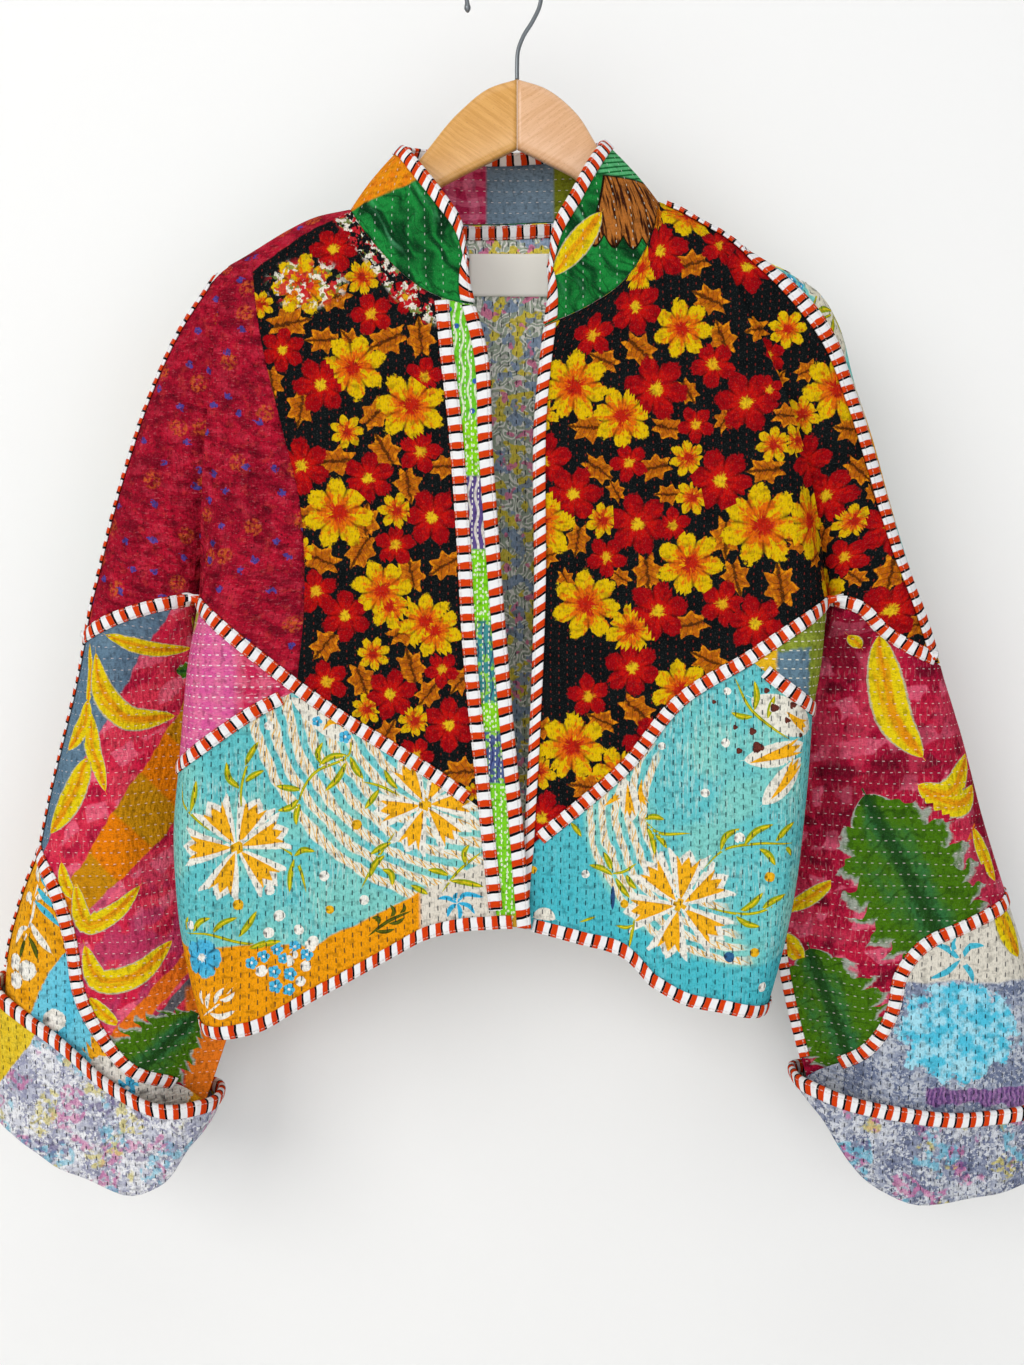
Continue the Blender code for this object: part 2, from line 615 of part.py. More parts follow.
def edge_binding_rails(edge, inner, normals, front_tree, back_tree, slack=0.0):
    """Rails of the folded strip that encloses a free edge, from edge points and points further in."""
    out = unit(edge - inner)
    beyond = edge + SEAT * out
    front = SEAT + slack + rise_over(front_tree, inner, beyond, normals)
    hidden_inner = inner - CLOTH * normals
    hidden_beyond = beyond - CLOTH * normals
    back = CLOTH + SEAT + slack + rise_over(back_tree, hidden_inner, hidden_beyond, normals, -1.0)
    far = SEAT + BINDING_CLOTH
    return [inner + front * normals,
            inner + (front + BINDING_CLOTH) * normals,
            edge + (front + BINDING_CLOTH) * normals,
            edge + far * out - 0.3 * normals,
            edge + far * out - (CLOTH - 0.3) * normals,
            edge - (back + BINDING_CLOTH) * normals,
            inner - (back + BINDING_CLOTH) * normals,
            inner - back * normals,
            beyond - back * normals,
            beyond + front * normals]


def edge_binding(name, parts, surface, trim=(0.0, 0.0), closed=False):
    """A folded strip along the first rows of several grids that follow each other."""
    reach = BINDING_WIDTH - SEAT - BINDING_CLOTH
    inner = [walk_in(grid, reach) for grid, normals in parts]
    centre = np.concatenate([parts[0][0][0]] + [grid[0][1:] for grid, normals in parts[1:]])
    inner = np.concatenate([inner[0]] + [one[1:] for one in inner[1:]])
    facing = np.concatenate([parts[0][1][0]] + [normals[0][1:] for grid, normals in parts[1:]])
    slack = 0.4 if closed else 0.0
    outside = surface_tree(parts)
    inside = surface_tree(parts, CLOTH)
    rails = edge_binding_rails(centre, inner, facing, outside, inside, slack)
    if closed:
        rails = [rail[:-1] for rail in rails]
    else:
        rails = cut_ends(rails, centre, trim[0], trim[1])
    return loft(name, rails, surface, closed)


def turned(piece, edge):
    """A piece's grid and normals with the named edge as the first row, running left to right or down."""
    points, normals = piece
    if edge == "top":
        return points, normals
    if edge == "bottom":
        return points[::-1], normals[::-1]
    if edge == "left":
        return points.transpose(1, 0, 2), normals.transpose(1, 0, 2)
    return points[:, ::-1].transpose(1, 0, 2), normals[:, ::-1].transpose(1, 0, 2)


def part_of(piece, start, stop):
    """Some of the steps along a turned piece's first row."""
    points, normals = piece
    return points[:, start:stop], normals[:, start:stop]


def backwards(piece):
    return piece[0][:, ::-1], piece[1][:, ::-1]


def follow(*pieces):
    """The first rows and their normals of turned pieces that follow each other along one path."""
    points = [pieces[0][0][0]] + [piece[0][0][1:] for piece in pieces[1:]]
    normals = [pieces[0][1][0]] + [piece[1][0][1:] for piece in pieces[1:]]
    return np.concatenate(points), np.concatenate(normals)


def grid_normals(points, centre):
    """Unit normals of a grid that face away from a centre."""
    down = np.gradient(points, axis=0)
    across = np.gradient(points, axis=1)
    normals = unit(np.cross(down, across))
    away = points - np.array(centre)
    if (normals * away).sum() < 0:
        normals = -normals
    return normals


def build_block(outer, inner, top, bottom, rows, columns, side, part, face, edges=()):
    return lift(patch(outer, inner, top, bottom, rows, columns), side, part, face, edges)


for old in list(bpy.data.objects):
    bpy.data.objects.remove(old, do_unlink=True)
COLLECTION = bpy.data.collections.new("kantha_jacket")
bpy.context.scene.collection.children.link(COLLECTION)

crimson = material("crimson_cotton", CRIMSON)
floral = material("black_floral_cotton", FLORAL)
lime = material("lime_patch_cotton", LIME)
pink = material("pink_plaid_cotton", PINK)
turquoise = material("turquoise_flower_cotton", TURQUOISE)
ochre = material("ochre_cotton", OCHRE)
plaid = material("red_plaid_cotton", PLAID)
pale = material("pale_print_cotton", PALE)
lavender = material("lavender_mottled_cotton", LAVENDER)
green = material("green_leaf_cotton", GREEN)
stripe = material("striped_bias_binding", STRIPE)
cream = material("cream_label_cotton", CREAM)
beech = material("golden_beech", BEECH, 0.45)
pale_beech = material("pale_beech", PALE_BEECH, 0.45)
steel = material("steel_wire", STEEL, 0.3, 1.0)

# Grid fractions that pieces on the same seam share
upper_rows = even(ROWS_UPPER) ** 1.5
triangle_rows = even(ROWS_TRIANGLE)
lower_rows = even(ROWS_LOWER)
forearm_rows = even(ROWS_FOREARM)
end_rows = even(ROWS_SLEEVE_END)
sleeve_columns = eased_both(COLUMNS_SLEEVE)
side_columns = eased_start(COLUMNS_SIDE)
shoulder_columns = even(COLUMNS_SHOULDER)
chest_columns = even(COLUMNS_CHEST)
right_columns = even(COLUMNS_FRONT_RIGHT)
neck_columns = even(COLUMNS_NECK)

# Left front, columns from the outer edge towards the centre
red_left = beside(
    build_block("outline_left_upper", "fold_left", "shoulder_left_outer", "elbow_left",
                upper_rows, sleeve_columns, "left", "sleeve", "front", ("left", "top")),
    build_block("fold_left", "raw_seam_left", "shoulder_left_middle", "diagonal_left_outer",
                upper_rows, side_columns, "left", "body", "front", ("top",)))
floral_left = beside(
    build_block("raw_seam_left", "chest_left", "shoulder_left_inner", "diagonal_left_middle",
                upper_rows, shoulder_columns, "left", "body", "front", ("top",)),
    build_block("chest_left", "placket_seam_upper", "neck_left", "diagonal_left_inner",
                upper_rows, chest_columns, "left", "body", "front"))
placket = below(
    build_block("placket_seam_upper", "front_edge_left_upper", "neck_left_placket", "placket_break",
                upper_rows, even(COLUMNS_PLACKET), "left", "body", "front"),
    build_block("placket_seam_lower", "front_edge_left_lower", "placket_break", "hem_left_placket",
                lower_rows, even(COLUMNS_PLACKET), "left", "body", "front"))
triangle_left = build_block("side_left_upper", "triangle_tip_left", "diagonal_left_outer",
                            "second_diagonal_left", triangle_rows, side_columns, "left", "body", "front",
                            ("left",))
skirt_left = beside(
    build_block("side_left_lower", "skirt_left_outer", "second_diagonal_left", "hem_left_outer",
                lower_rows, side_columns, "left", "body", "front", ("left",)),
    build_block("skirt_left_outer", "skirt_left_inner", "diagonal_left_middle", "hem_left_middle",
                lower_rows, shoulder_columns, "left", "body", "front"),
    build_block("skirt_left_inner", "placket_seam_lower", "diagonal_left_inner", "hem_left_inner",
                lower_rows, chest_columns, "left", "body", "front"))

# Right front, columns from the outer edge towards the centre
floral_right = beside(
    build_block("arm_binding_right", "fold_right", "shoulder_right_outer", "elbow_right",
                upper_rows, sleeve_columns, "right", "sleeve", "front", ("top",)),
    build_block("fold_right", "chest_right", "shoulder_right_inner", "diagonal_right_outer",
                upper_rows, side_columns, "right", "body", "front", ("top",)),
    build_block("chest_right", "front_edge_right_upper", "neck_right", "diagonal_right_inner",
                upper_rows, right_columns, "right", "body", "front"))
triangle_right = build_block("side_right_upper", "triangle_tip_right", "diagonal_right_outer",
                             "second_diagonal_right", triangle_rows, side_columns, "right", "body", "front",
                             ("left",))
skirt_right = beside(
    build_block("side_right_lower", "skirt_right", "second_diagonal_right", "hem_right_outer",
                lower_rows, side_columns, "right", "body", "front", ("left",)),
    build_block("skirt_right", "front_edge_right_lower", "diagonal_right_inner", "hem_right_inner",
                lower_rows, right_columns, "right", "body", "front"))

# Sleeves below the elbow binding, front and back
sleeve = {}
for side in ("left", "right"):
    for face in ("front", "back"):
        elbow = "elbow_" + side + ("_back" if side == "right" and face == "back" else "")
        sleeve[side, face, "forearm"] = build_block(
            "outline_" + side + "_forearm", "sleeve_inner_" + side, elbow, "curve_" + side,
            forearm_rows, sleeve_columns, side, "sleeve", face, ("left", "right"))
        sleeve[side, face, "end"] = build_block(
            "outline_" + side + "_end", "sleeve_tip_" + side, "curve_" + side, "sleeve_end_" + side,
            end_rows, sleeve_columns, side, "sleeve", face, ("left", "right"))

# Back, columns from the left sleeve's outer edge across to the right sleeve's
back_left = beside(
    build_block("outline_left_upper", "fold_left", "shoulder_left_outer", "elbow_left",
                upper_rows, sleeve_columns, "left", "sleeve", "back", ("left", "top")),
    build_block("fold_left", "back_fall_left_outer", "shoulder_left_middle", "back_seam_left_outer",
                upper_rows, side_columns, "left", "body", "back", ("top",)),
    build_block("back_fall_left_outer", "back_fall_left_inner", "shoulder_left_inner",
                "back_seam_left_inner", upper_rows, shoulder_columns, "left", "body", "back", ("top",)),
    build_block("back_fall_left_inner", "back_fall_right", "neck_back", "back_seam_middle",
                upper_rows, neck_columns, "left", "body", "back"))
back_right = beside(
    build_block("outline_right_upper", "fold_right", "shoulder_right_back", "elbow_right_back",
                upper_rows, sleeve_columns, "right", "sleeve", "back", ("left", "top")),
    build_block("fold_right", "back_fall_right", "shoulder_right_inner", "back_seam_right",
                upper_rows, side_columns, "right", "body", "back", ("top",)))
back_left[0][:, -1] = back_right[0][:, -1]
back_left[1][:, -1] = back_right[1][:, -1]
wrap_right = lift(patch("outline_right_upper", "arm_binding_right", "wrap_top_right", "wrap_end_right",
                        upper_rows, even(COLUMNS_WRAP)), "right", "sleeve", "front", ("top",))
back_upper = beside(back_left, backwards(back_right), wrap_right)

skirt_rows = even(ROWS_TRIANGLE + ROWS_LOWER)
side_lines = {}
for side in ("left", "right"):
    side_lines[side] = np.concatenate([line("side_" + side + "_upper", triangle_rows),
                                       line("side_" + side + "_lower", lower_rows)[1:]])
back_skirt = beside(
    build_block(side_lines["left"], "back_skirt_left_outer", "back_seam_left_outer", "back_hem_left_outer",
                skirt_rows, side_columns, "left", "body", "back", ("left",)),
    build_block("back_skirt_left_outer", "back_skirt_left_inner", "back_seam_left_inner",
                "back_hem_left_inner", skirt_rows, shoulder_columns, "left", "body", "back"),
    build_block("back_skirt_left_inner", "back_skirt_right", "back_seam_middle", "back_hem_middle",
                skirt_rows, neck_columns, "left", "body", "back"),
    backwards(build_block(side_lines["right"], "back_skirt_right", "back_seam_right", "back_hem_right",
                          skirt_rows, side_columns, "right", "body", "back", ("left",))))

# Stand collar, one grid from the left front round the back to the right front, split at the shoulders
neck_start = COLUMNS_SLEEVE + COLUMNS_SIDE + COLUMNS_SHOULDER
base_left = np.concatenate([floral_left[0][0, COLUMNS_SHOULDER:], placket[0][0, 1:]])[::-1]
base_back = back_upper[0][0, neck_start:neck_start + COLUMNS_NECK + 1]
base_right = floral_right[0][0, COLUMNS_SLEEVE + COLUMNS_SIDE:]
collar_base = np.concatenate([base_left, base_back[1:], base_right[1:]])
collar_top = np.concatenate([smooth_line(COLLAR_TOP_LEFT, even(len(base_left) - 1)),
                             smooth_line(COLLAR_TOP_BACK, even(COLUMNS_NECK))[1:],
                             smooth_line(COLLAR_TOP_RIGHT, even(len(base_right) - 1))[1:]])
collar_t = even(ROWS_COLLAR)[:, None, None]
collar_points = collar_top[None] * (1 - collar_t) + collar_base[None] * collar_t
outward = unit(collar_base * np.array([1.0, 1.0, 0.0]))
collar_points = collar_points + 2.5 * np.sin(collar_t * math.pi) * outward[None]
collar_points[-1] += unit(collar_points[-2] - collar_points[-1]) * COLLAR_GAP
collar_normals = grid_normals(collar_points, (0.0, 0.0, -190.0))
left_end = len(base_left) - 1
right_start = left_end + COLUMNS_NECK


def bowed_ring(name, side, face):
    """Half of one of the cuff's rings, bowed out from the middle."""
    plan = line(name + "_" + side, sleeve_columns)
    bow = (1.0 - np.abs(2 * sleeve_columns - 1) ** 3) ** (1 / 3)
    middle = middle_depth(plan[:, 0], plan[:, 1], side, "sleeve")
    y = middle + (-1.0 if face == "front" else 1.0) * fullness(plan[:, 1], "sleeve", face) * bow
    return np.stack([plan[:, 0], y, plan[:, 1]], axis=1)


def whole_ring(front, back):
    """A closed ring from its two halves, both from the outer to the inner end."""
    ring = np.concatenate([front, back[-2:0:-1]])
    ring[0, 1] = (front[0, 1] + back[0, 1]) / 2
    ring[len(front) - 1, 1] = (front[-1, 1] + back[-1, 1]) / 2
    return ring


def build_cuff(side):
    """Grid of a turned-back cuff's inside face, from the sleeve's end down, round the fold and up."""
    base = whole_ring(sleeve[side, "front", "end"][0][-1], sleeve[side, "back", "end"][0][-1])
    fold = whole_ring(bowed_ring("cuff_fold", side, "front"), bowed_ring("cuff_fold", side, "back"))
    top = whole_ring(bowed_ring("cuff_top", side, "front"), bowed_ring("cuff_top", side, "back"))
    both = fold + top
    run = np.roll(both, -1, axis=0) - np.roll(both, 1, axis=0)
    down = unit(fold - top)
    out = unit(np.cross(run, down))
    if (out * (fold - fold.mean(axis=0))).sum() < 0:
        out = -out
    points = [base + 1.3 * down - CLOTH * out,
              (base + fold) / 2 - CLOTH * out,
              fold - 4 * down - CLOTH * out,
              fold + 1.5 * out,
              fold - 4 * down + CUFF_STAND * out,
              (fold + top) / 2 + (CUFF_STAND + 1.5) * out,
              top + (CUFF_STAND + 1.0) * out]
    normals = [-out, -out, unit(down - 2 * out), down, unit(down + 2 * out), out, out]
    return np.stack(points), np.stack(normals)


cuffs = {side: build_cuff(side) for side in ("left", "right")}

# Cloth walls
wall("front_left_crimson", *red_left, crimson)
wall("front_left_floral", *floral_left, floral)
wall("front_left_placket", *placket, lime)
wall("front_left_pink_triangle", *triangle_left, pink, 0.5)
wall("front_left_skirt", *skirt_left, turquoise)
wall("front_right_floral", *floral_right, floral)
wall("front_right_patch", *triangle_right, ochre, 0.5)
wall("front_right_skirt", *skirt_right, turquoise)
wall("back_upper", *back_upper, ochre)
wall("back_skirt", *back_skirt, pale)
for side in ("left", "right"):
    for face in ("front", "back"):
        wall("sleeve_" + side + "_" + face + "_forearm", *sleeve[side, face, "forearm"], plaid, 0.4)
        wall("sleeve_" + side + "_" + face + "_end", *sleeve[side, face, "end"], pale, 0.45)
    wall("cuff_" + side, *cuffs[side], lavender, closed=True)
wall("collar_left", collar_points[:, :left_end + 1], collar_normals[:, :left_end + 1], green)
wall("collar_back", collar_points[:, left_end:right_start + 1],
     collar_normals[:, left_end:right_start + 1], pink)
wall("collar_right", collar_points[:, right_start:], collar_normals[:, right_start:], green)

# Striped bias bindings over the seams
body_cloth = [red_left, floral_left, placket, triangle_left, skirt_left, floral_right, triangle_right,
              skirt_right]
path, facing = follow(part_of(turned(red_left, "bottom"), COLUMNS_SLEEVE, None),
                      turned(floral_left, "bottom"))
seam_binding("binding_left_diagonal", path, facing, body_cloth, stripe, (1.5, 14.5))
path, facing = follow(turned(triangle_left, "bottom"))
seam_binding("binding_left_second_diagonal", path, facing, body_cloth, stripe, (0.6, 7.4))
path, facing = follow(turned(floral_left, "right"), turned(skirt_left, "right"))
seam_binding("binding_left_placket", path, facing, body_cloth, stripe, (0.6, 11.6))
path, facing = follow(part_of(turned(floral_right, "bottom"), COLUMNS_SLEEVE, None))
seam_binding("binding_right_diagonal", path, facing, body_cloth, stripe, (1.5, 14.0))
path, facing = follow(turned(triangle_right, "bottom"))
seam_binding("binding_right_second_diagonal", path, facing, body_cloth, stripe, (0.6, 7.4))
for side, upper in (("left", red_left), ("right", floral_right)):
    path, facing = follow(part_of(turned(upper, "bottom"), 0, COLUMNS_SLEEVE + 1))
    seam_binding("binding_" + side + "_elbow", path, facing,
                 [upper, sleeve[side, "front", "forearm"]], stripe, (9.5, 2.0))
    lower = sleeve[side, "back", "forearm"]
    path, facing = follow(turned(lower, "top"))
    seam_binding("binding_" + side + "_elbow_back", path, facing, [back_upper, lower], stripe, (9.5, 14.0))
    lower = sleeve[side, "front", "end"]
    path, facing = follow(turned(lower, "top"))
    seam_binding("binding_" + side + "_curve", path, facing,
                 [sleeve[side, "front", "forearm"], lower], stripe, (8.5 if side == "left" else 1.0, 32.0))
arm_pieces = [back_upper, red_left] + [sleeve["left", face, name] for face in ("front", "back")
                                       for name in ("forearm", "end")]
path, facing = follow(turned(red_left, "left"), turned(sleeve["left", "front", "forearm"], "left"),
                      turned(sleeve["left", "front", "end"], "left"))
seam_binding("binding_left_arm", path, facing, arm_pieces, stripe, (0.6, 32.0))
shoulder_top = backwards(turned(floral_right, "top"))
neck_steps = COLUMNS_FRONT_RIGHT
path, facing = follow(part_of(shoulder_top, neck_steps, None), turned(floral_right, "left"))
seam_binding("binding_right_arm", path, facing, [back_upper, floral_right], stripe, (2.0, 0.6), 0.6)
inner_pieces = [sleeve["right", face, "forearm"] for face in ("front", "back")]
path, facing = follow(turned(sleeve["right", "front", "forearm"], "right"))
seam_binding("binding_right_inner_sleeve", path, facing, inner_pieces, stripe, (60.0, 16.0))

# Striped bindings folded over the free edges
edge_binding("binding_left_front_edge", [turned(placket, "right")], stripe, (0.5, 0.0))
edge_binding("binding_right_front_edge", [turned(floral_right, "right"), turned(skirt_right, "right")],
             stripe, (0.5, 0.0))
edge_binding("binding_left_hem", [turned(skirt_left, "bottom"), turned(placket, "bottom")],
             stripe, (1.0, 11.8))
edge_binding("binding_right_hem", [turned(skirt_right, "bottom")], stripe, (1.0, 11.8))
edge_binding("binding_back_hem", [turned(back_skirt, "bottom")], stripe, (1.0, 1.0))
for side in ("left", "right"):
    points, normals = cuffs[side]
    looped = np.concatenate([points, points[:, :1]], axis=1)[:-4:-1]
    facing = np.concatenate([normals, normals[:, :1]], axis=1)[:-4:-1]
    edge_binding("binding_" + side + "_cuff", [(looped, facing)], stripe, closed=True)

# Binding round the collar's two ends and top
reach = BINDING_WIDTH - SEAT - BINDING_CLOTH
turned_grid = collar_points.transpose(1, 0, 2)
end_left = walk_in(turned_grid, reach)[::-1]
end_right = walk_in(turned_grid[::-1], reach)
top_inner = walk_in(collar_points, reach)
edge = np.concatenate([collar_points[::-1, 0], collar_points[0, 1:-1], collar_points[:, -1]])
corner_left = end_left[-1] + top_inner[0] - collar_points[0, 0]
corner_right = end_right[0] + top_inner[-1] - collar_points[0, -1]
inner = np.concatenate([end_left[:-1], [corner_left], top_inner[1:-1], [corner_right], end_right[1:]])
facing = np.concatenate([collar_normals[::-1, 0], collar_normals[0, 1:-1], collar_normals[:, -1]])
collar_sheet = [(collar_points, collar_normals)]
rails = edge_binding_rails(edge, inner, facing, surface_tree(collar_sheet),
                           surface_tree(collar_sheet, CLOTH))
rails = cut_ends(rails, edge, 0.5, 0.5)
loft("binding_collar", rails, stripe)
facing_strip("binding_back_neck", back_upper, stripe, neck_start + 1, neck_start + COLUMNS_NECK, 10.5)

# Blank label on the inside of the back, below the neck binding
label_x = np.linspace(-LABEL_WIDTH / 2, LABEL_WIDTH / 2, 5) + 4.0
label_z = np.linspace(-LABEL_HEIGHT / 2, LABEL_HEIGHT / 2, 3) - 225.0
back_tree = surface_tree([back_upper])
label_points = np.zeros((3, 5, 3))
for row in range(3):
    for column in range(5):
        seat = back_tree.ray_cast((label_x[column], -10.0, label_z[row]), (0.0, 1.0, 0.0))[0]
        label_points[row, column] = (seat[0], seat[1] - CLOTH - SEAT - LABEL_CLOTH - 0.1, seat[2])
label_normals = np.zeros_like(label_points)
label_normals[..., 1] = -1.0
wall("neck_label", label_points, label_normals, cream, 0.0, thickness=LABEL_CLOTH)


def hanger_arm(name, table, direction, surface):
    """Half of the wooden hanger, a loft of rounded sections along the arm."""
    rings = []
    for out, top, underside, bend in table:
        x = SHANK_X + direction * out
        half_height = (top - underside) / 2
        middle = (top + underside) / 2
        angles = np.linspace(0.0, 2 * math.pi, 12, endpoint=False)
        cosine = np.cos(angles)
        sine = np.sin(angles)
        y = np.sign(cosine) * np.abs(cosine) ** 0.55 * HANGER_THICKNESS / 2 + bend
        z = np.sign(sine) * np.abs(sine) ** 0.55 * half_height + middle
        rings.append(np.stack([np.full(12, x), y, z], axis=1))
    grid = np.stack(rings)
    return loft(name, [grid[:, side] for side in range(12)], surface)


hanger_arm("hanger_left", HANGER_LEFT, -1.0, beech)
hanger_arm("hanger_right", HANGER_RIGHT, 1.0, pale_beech)

# Hook: shank out of the crest, a bend and an open loop with a small ball at the tip
loop_radius = HOOK_RADIUS + HOOK_WIRE / 2
hook_path = [(SHANK_X, -93.7), (SHANK_X, -84.0), (10.8, -72.0), (14.5, -62.0), (22.0, -50.0), (27.2, -39.0)]
for step in range(15):
    angle = math.pi * step / 14
    hook_path.append((loop_radius * math.cos(angle), loop_radius * math.sin(angle) - HOOK_RADIUS))
hook_path += [(-28.4, -34.0), (-28.0, -38.0), (-27.9, -40.0), (-27.8, -42.0), (-27.7, -43.6)]
hook_scale = [1.0] * (len(hook_path) - 4) + [1.25, 1.6, 1.35, 0.6]
curve = bpy.data.curves.new("hanger_hook", "CURVE")
curve.dimensions = "3D"
curve.bevel_depth = HOOK_WIRE / 2000.0
curve.bevel_resolution = 2
curve.use_fill_caps = True
spline = curve.splines.new("POLY")
spline.points.add(len(hook_path) - 1)
for point, (x, z), scale in zip(spline.points, hook_path, hook_scale):
    point.co = (x / 1000.0, 0.0, z / 1000.0, 1.0)
    point.radius = scale
hook = bpy.data.objects.new("hanger_hook", curve)
hook.data.materials.append(steel)
COLLECTION.objects.link(hook)
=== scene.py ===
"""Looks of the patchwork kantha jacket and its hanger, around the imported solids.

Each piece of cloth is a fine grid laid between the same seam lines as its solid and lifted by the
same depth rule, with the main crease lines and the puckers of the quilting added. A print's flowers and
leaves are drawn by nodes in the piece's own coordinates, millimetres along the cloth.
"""

import math

import bpy
import numpy as np
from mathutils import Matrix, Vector
from mathutils.bvhtree import BVHTree


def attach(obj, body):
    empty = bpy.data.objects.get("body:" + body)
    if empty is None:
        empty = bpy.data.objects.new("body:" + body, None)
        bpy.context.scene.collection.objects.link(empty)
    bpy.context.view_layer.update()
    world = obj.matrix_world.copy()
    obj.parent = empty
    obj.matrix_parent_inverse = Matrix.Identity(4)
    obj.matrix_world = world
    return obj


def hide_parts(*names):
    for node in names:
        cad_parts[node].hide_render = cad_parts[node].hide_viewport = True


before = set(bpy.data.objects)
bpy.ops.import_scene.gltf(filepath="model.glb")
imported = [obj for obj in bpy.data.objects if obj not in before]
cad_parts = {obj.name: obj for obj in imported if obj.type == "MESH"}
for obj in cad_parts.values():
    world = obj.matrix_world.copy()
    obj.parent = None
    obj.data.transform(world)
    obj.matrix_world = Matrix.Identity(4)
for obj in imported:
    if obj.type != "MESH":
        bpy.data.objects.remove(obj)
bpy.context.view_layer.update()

# Main sizes in millimetres, the same as in the solids
CLOTH = 2.0
BINDING_WIDTH = 10.5
BINDING_CLOTH = 1.0
SEAT = 0.35
UNDERARM_LEVEL = -490.0
SHOULDER_LEVEL = -225.0
MIDDLE_Y = 2.0
OUTLINE_ROUND = 32.0
SIDE_ROUND = 34.0
SLEEVE_INNER_ROUND = 70.0
BODY_BACK_ROUND = 110.0
FOLD_SOFTNESS = 26.0
BODY_FORWARD = -14.0
BODY_FORWARD_REACH = 120.0
SLEEVE_BACKWARD = 12.0
UNDERARM_FADE = 60.0
MIDDLE_FADE = 70.0
CUFF_STAND = 7.0
COLLAR_GAP = 0.3
COLLAR_BOW = 2.5
COLLAR_CENTRE = (0.0, 0.0, -190.0)
LABEL_WIDTH = 64.0
LABEL_HEIGHT = 33.0
LABEL_CLOTH = 1.0
LABEL_CENTRE = (4.0, -233.0)
LABEL_GAP = 0.1
LABEL_SEARCH_Y = -10.0
HANGER_THICKNESS = 12.0
HOOK_WIRE = 3.2
HOOK_RADIUS = 27.0
SHANK_X = 10.0

# The fronts lap below this level: each moves this far in Y, softly from its own x towards the other
LAP_LEVEL = -560.0
LAP_FADE = 150.0
LAP_DEPTH = 5.0
LAP_START_LEFT = -70.0
LAP_START_RIGHT = 75.0
LAP_REACH = 60.0

# Front and back stop this far from their shared level along a silhouette edge
EDGE_GAP = 0.3

# Sideways bow of a crease, as a share of its length
CREASE_BOW = 0.06

# The arm bindings lie round to the front of the sleeves' edges, as they show in the photo
ARM_SHIFT = 8.0
ARM_BINDING_WIDTH = 13.0

# Binding strips: steps along and across, the search for the cloth below, and a folded one's rails
STRIP_STEP = 1.8
STRIP_COLUMNS = 11
SEARCH_START = 12.0
SEARCH_LENGTH = 20.0
FOLD_SLACK = 0.25
RAIL_REACH = BINDING_WIDTH - SEAT - BINDING_CLOTH
RAIL_SHARES = (1.0, 0.9, 0.72, 0.54, 0.36, 0.18, 0.05)
RAIL_PUFFS = (0.0, 0.35, 0.6, 0.65, 0.6, 0.5, 0.3)
RAIL_NORMAL_ROWS = (3, 3, 2, 2, 1, 1, 0)
ROUND_EXTRA = 0.25
INSIDE_PUFF = 0.6
FOLDED_CLOTH = BINDING_CLOTH * 0.9
WALK_ROWS = 12
NECK_STRIP_START = 1.0
NECK_STRIP_CROWN = 0.5

# Grid steps of the visible cloth, about 2.7 mm each
ROWS_UPPER = 110
UPPER_EASE = 1.3
ROWS_TRIANGLE = 40
ROWS_LOWER = 76
ROWS_FOREARM = 100
ROWS_SLEEVE_END = 44
COLUMNS_SLEEVE = 40
COLUMNS_SIDE = 30
COLUMNS_SHOULDER = 26
COLUMNS_CHEST = 32
COLUMNS_PLACKET = 10
COLUMNS_NECK = 60
COLUMNS_WRAP = 8
CUFF_ROWS = 34
COLUMNS_FRONT_RIGHT = 54
ROWS_COLLAR = 24
ROWS_LABEL = 13
COLUMNS_LABEL = 25
STEPS_NECK_STRIP = 8
STEPS_LINE = 24
STEPS_SPINE = 14
STEPS_ARM = 70
STEPS_HOOK = 160
STEPS_HOOK_ARC = 15
TUBE_SIDES = 32

SIDES = ("left", "right")
FACES = ("front", "back")
LAYERS = (("over", ""), ("under", "_under"))

# Prints: repeats in x and z, the vine's strokes on the back, the leaves' width for their length, the
# petals' width and points for a flower's size, how much larger the white ones behind them are, and how
# far round a motif its coordinates are laid and its faces searched
FLORAL_REPEAT = (211.0, 271.0)
BACK_REPEAT = (190.0, 170.0)
VINE_STROKES = 24
LEAF_STRETCH = 0.72
PETAL_WIDTH = 0.25
PETAL_REACHES = (0.12, 0.55, 1.0)
HALO_WIDTH = 1.85
HALO_BACK = 0.1
HALO_AHEAD = 0.17
MOTIF_REACH = 6.0
MOTIF_MARGIN = 10.0
SEED_SHIFT = 37.3

# Room in millimetres; camera in metres, degrees below the horizon and millimetres of lens and sensor
FLOOR_LEVEL = -2100
WALL_Y = 120
ROOM_REACH = 4000
ROOM_TOP = 3000
CAMERA_PLACE = (0.0061, -1.0, -0.4867)
CAMERA_DOWN = 4.0
CAMERA_LENS = 33.39
CAMERA_SENSOR = 36.0
WORLD_COLOUR = (0.93, 0.95, 1.0, 1.0)
WORLD_STRENGTH = 0.27

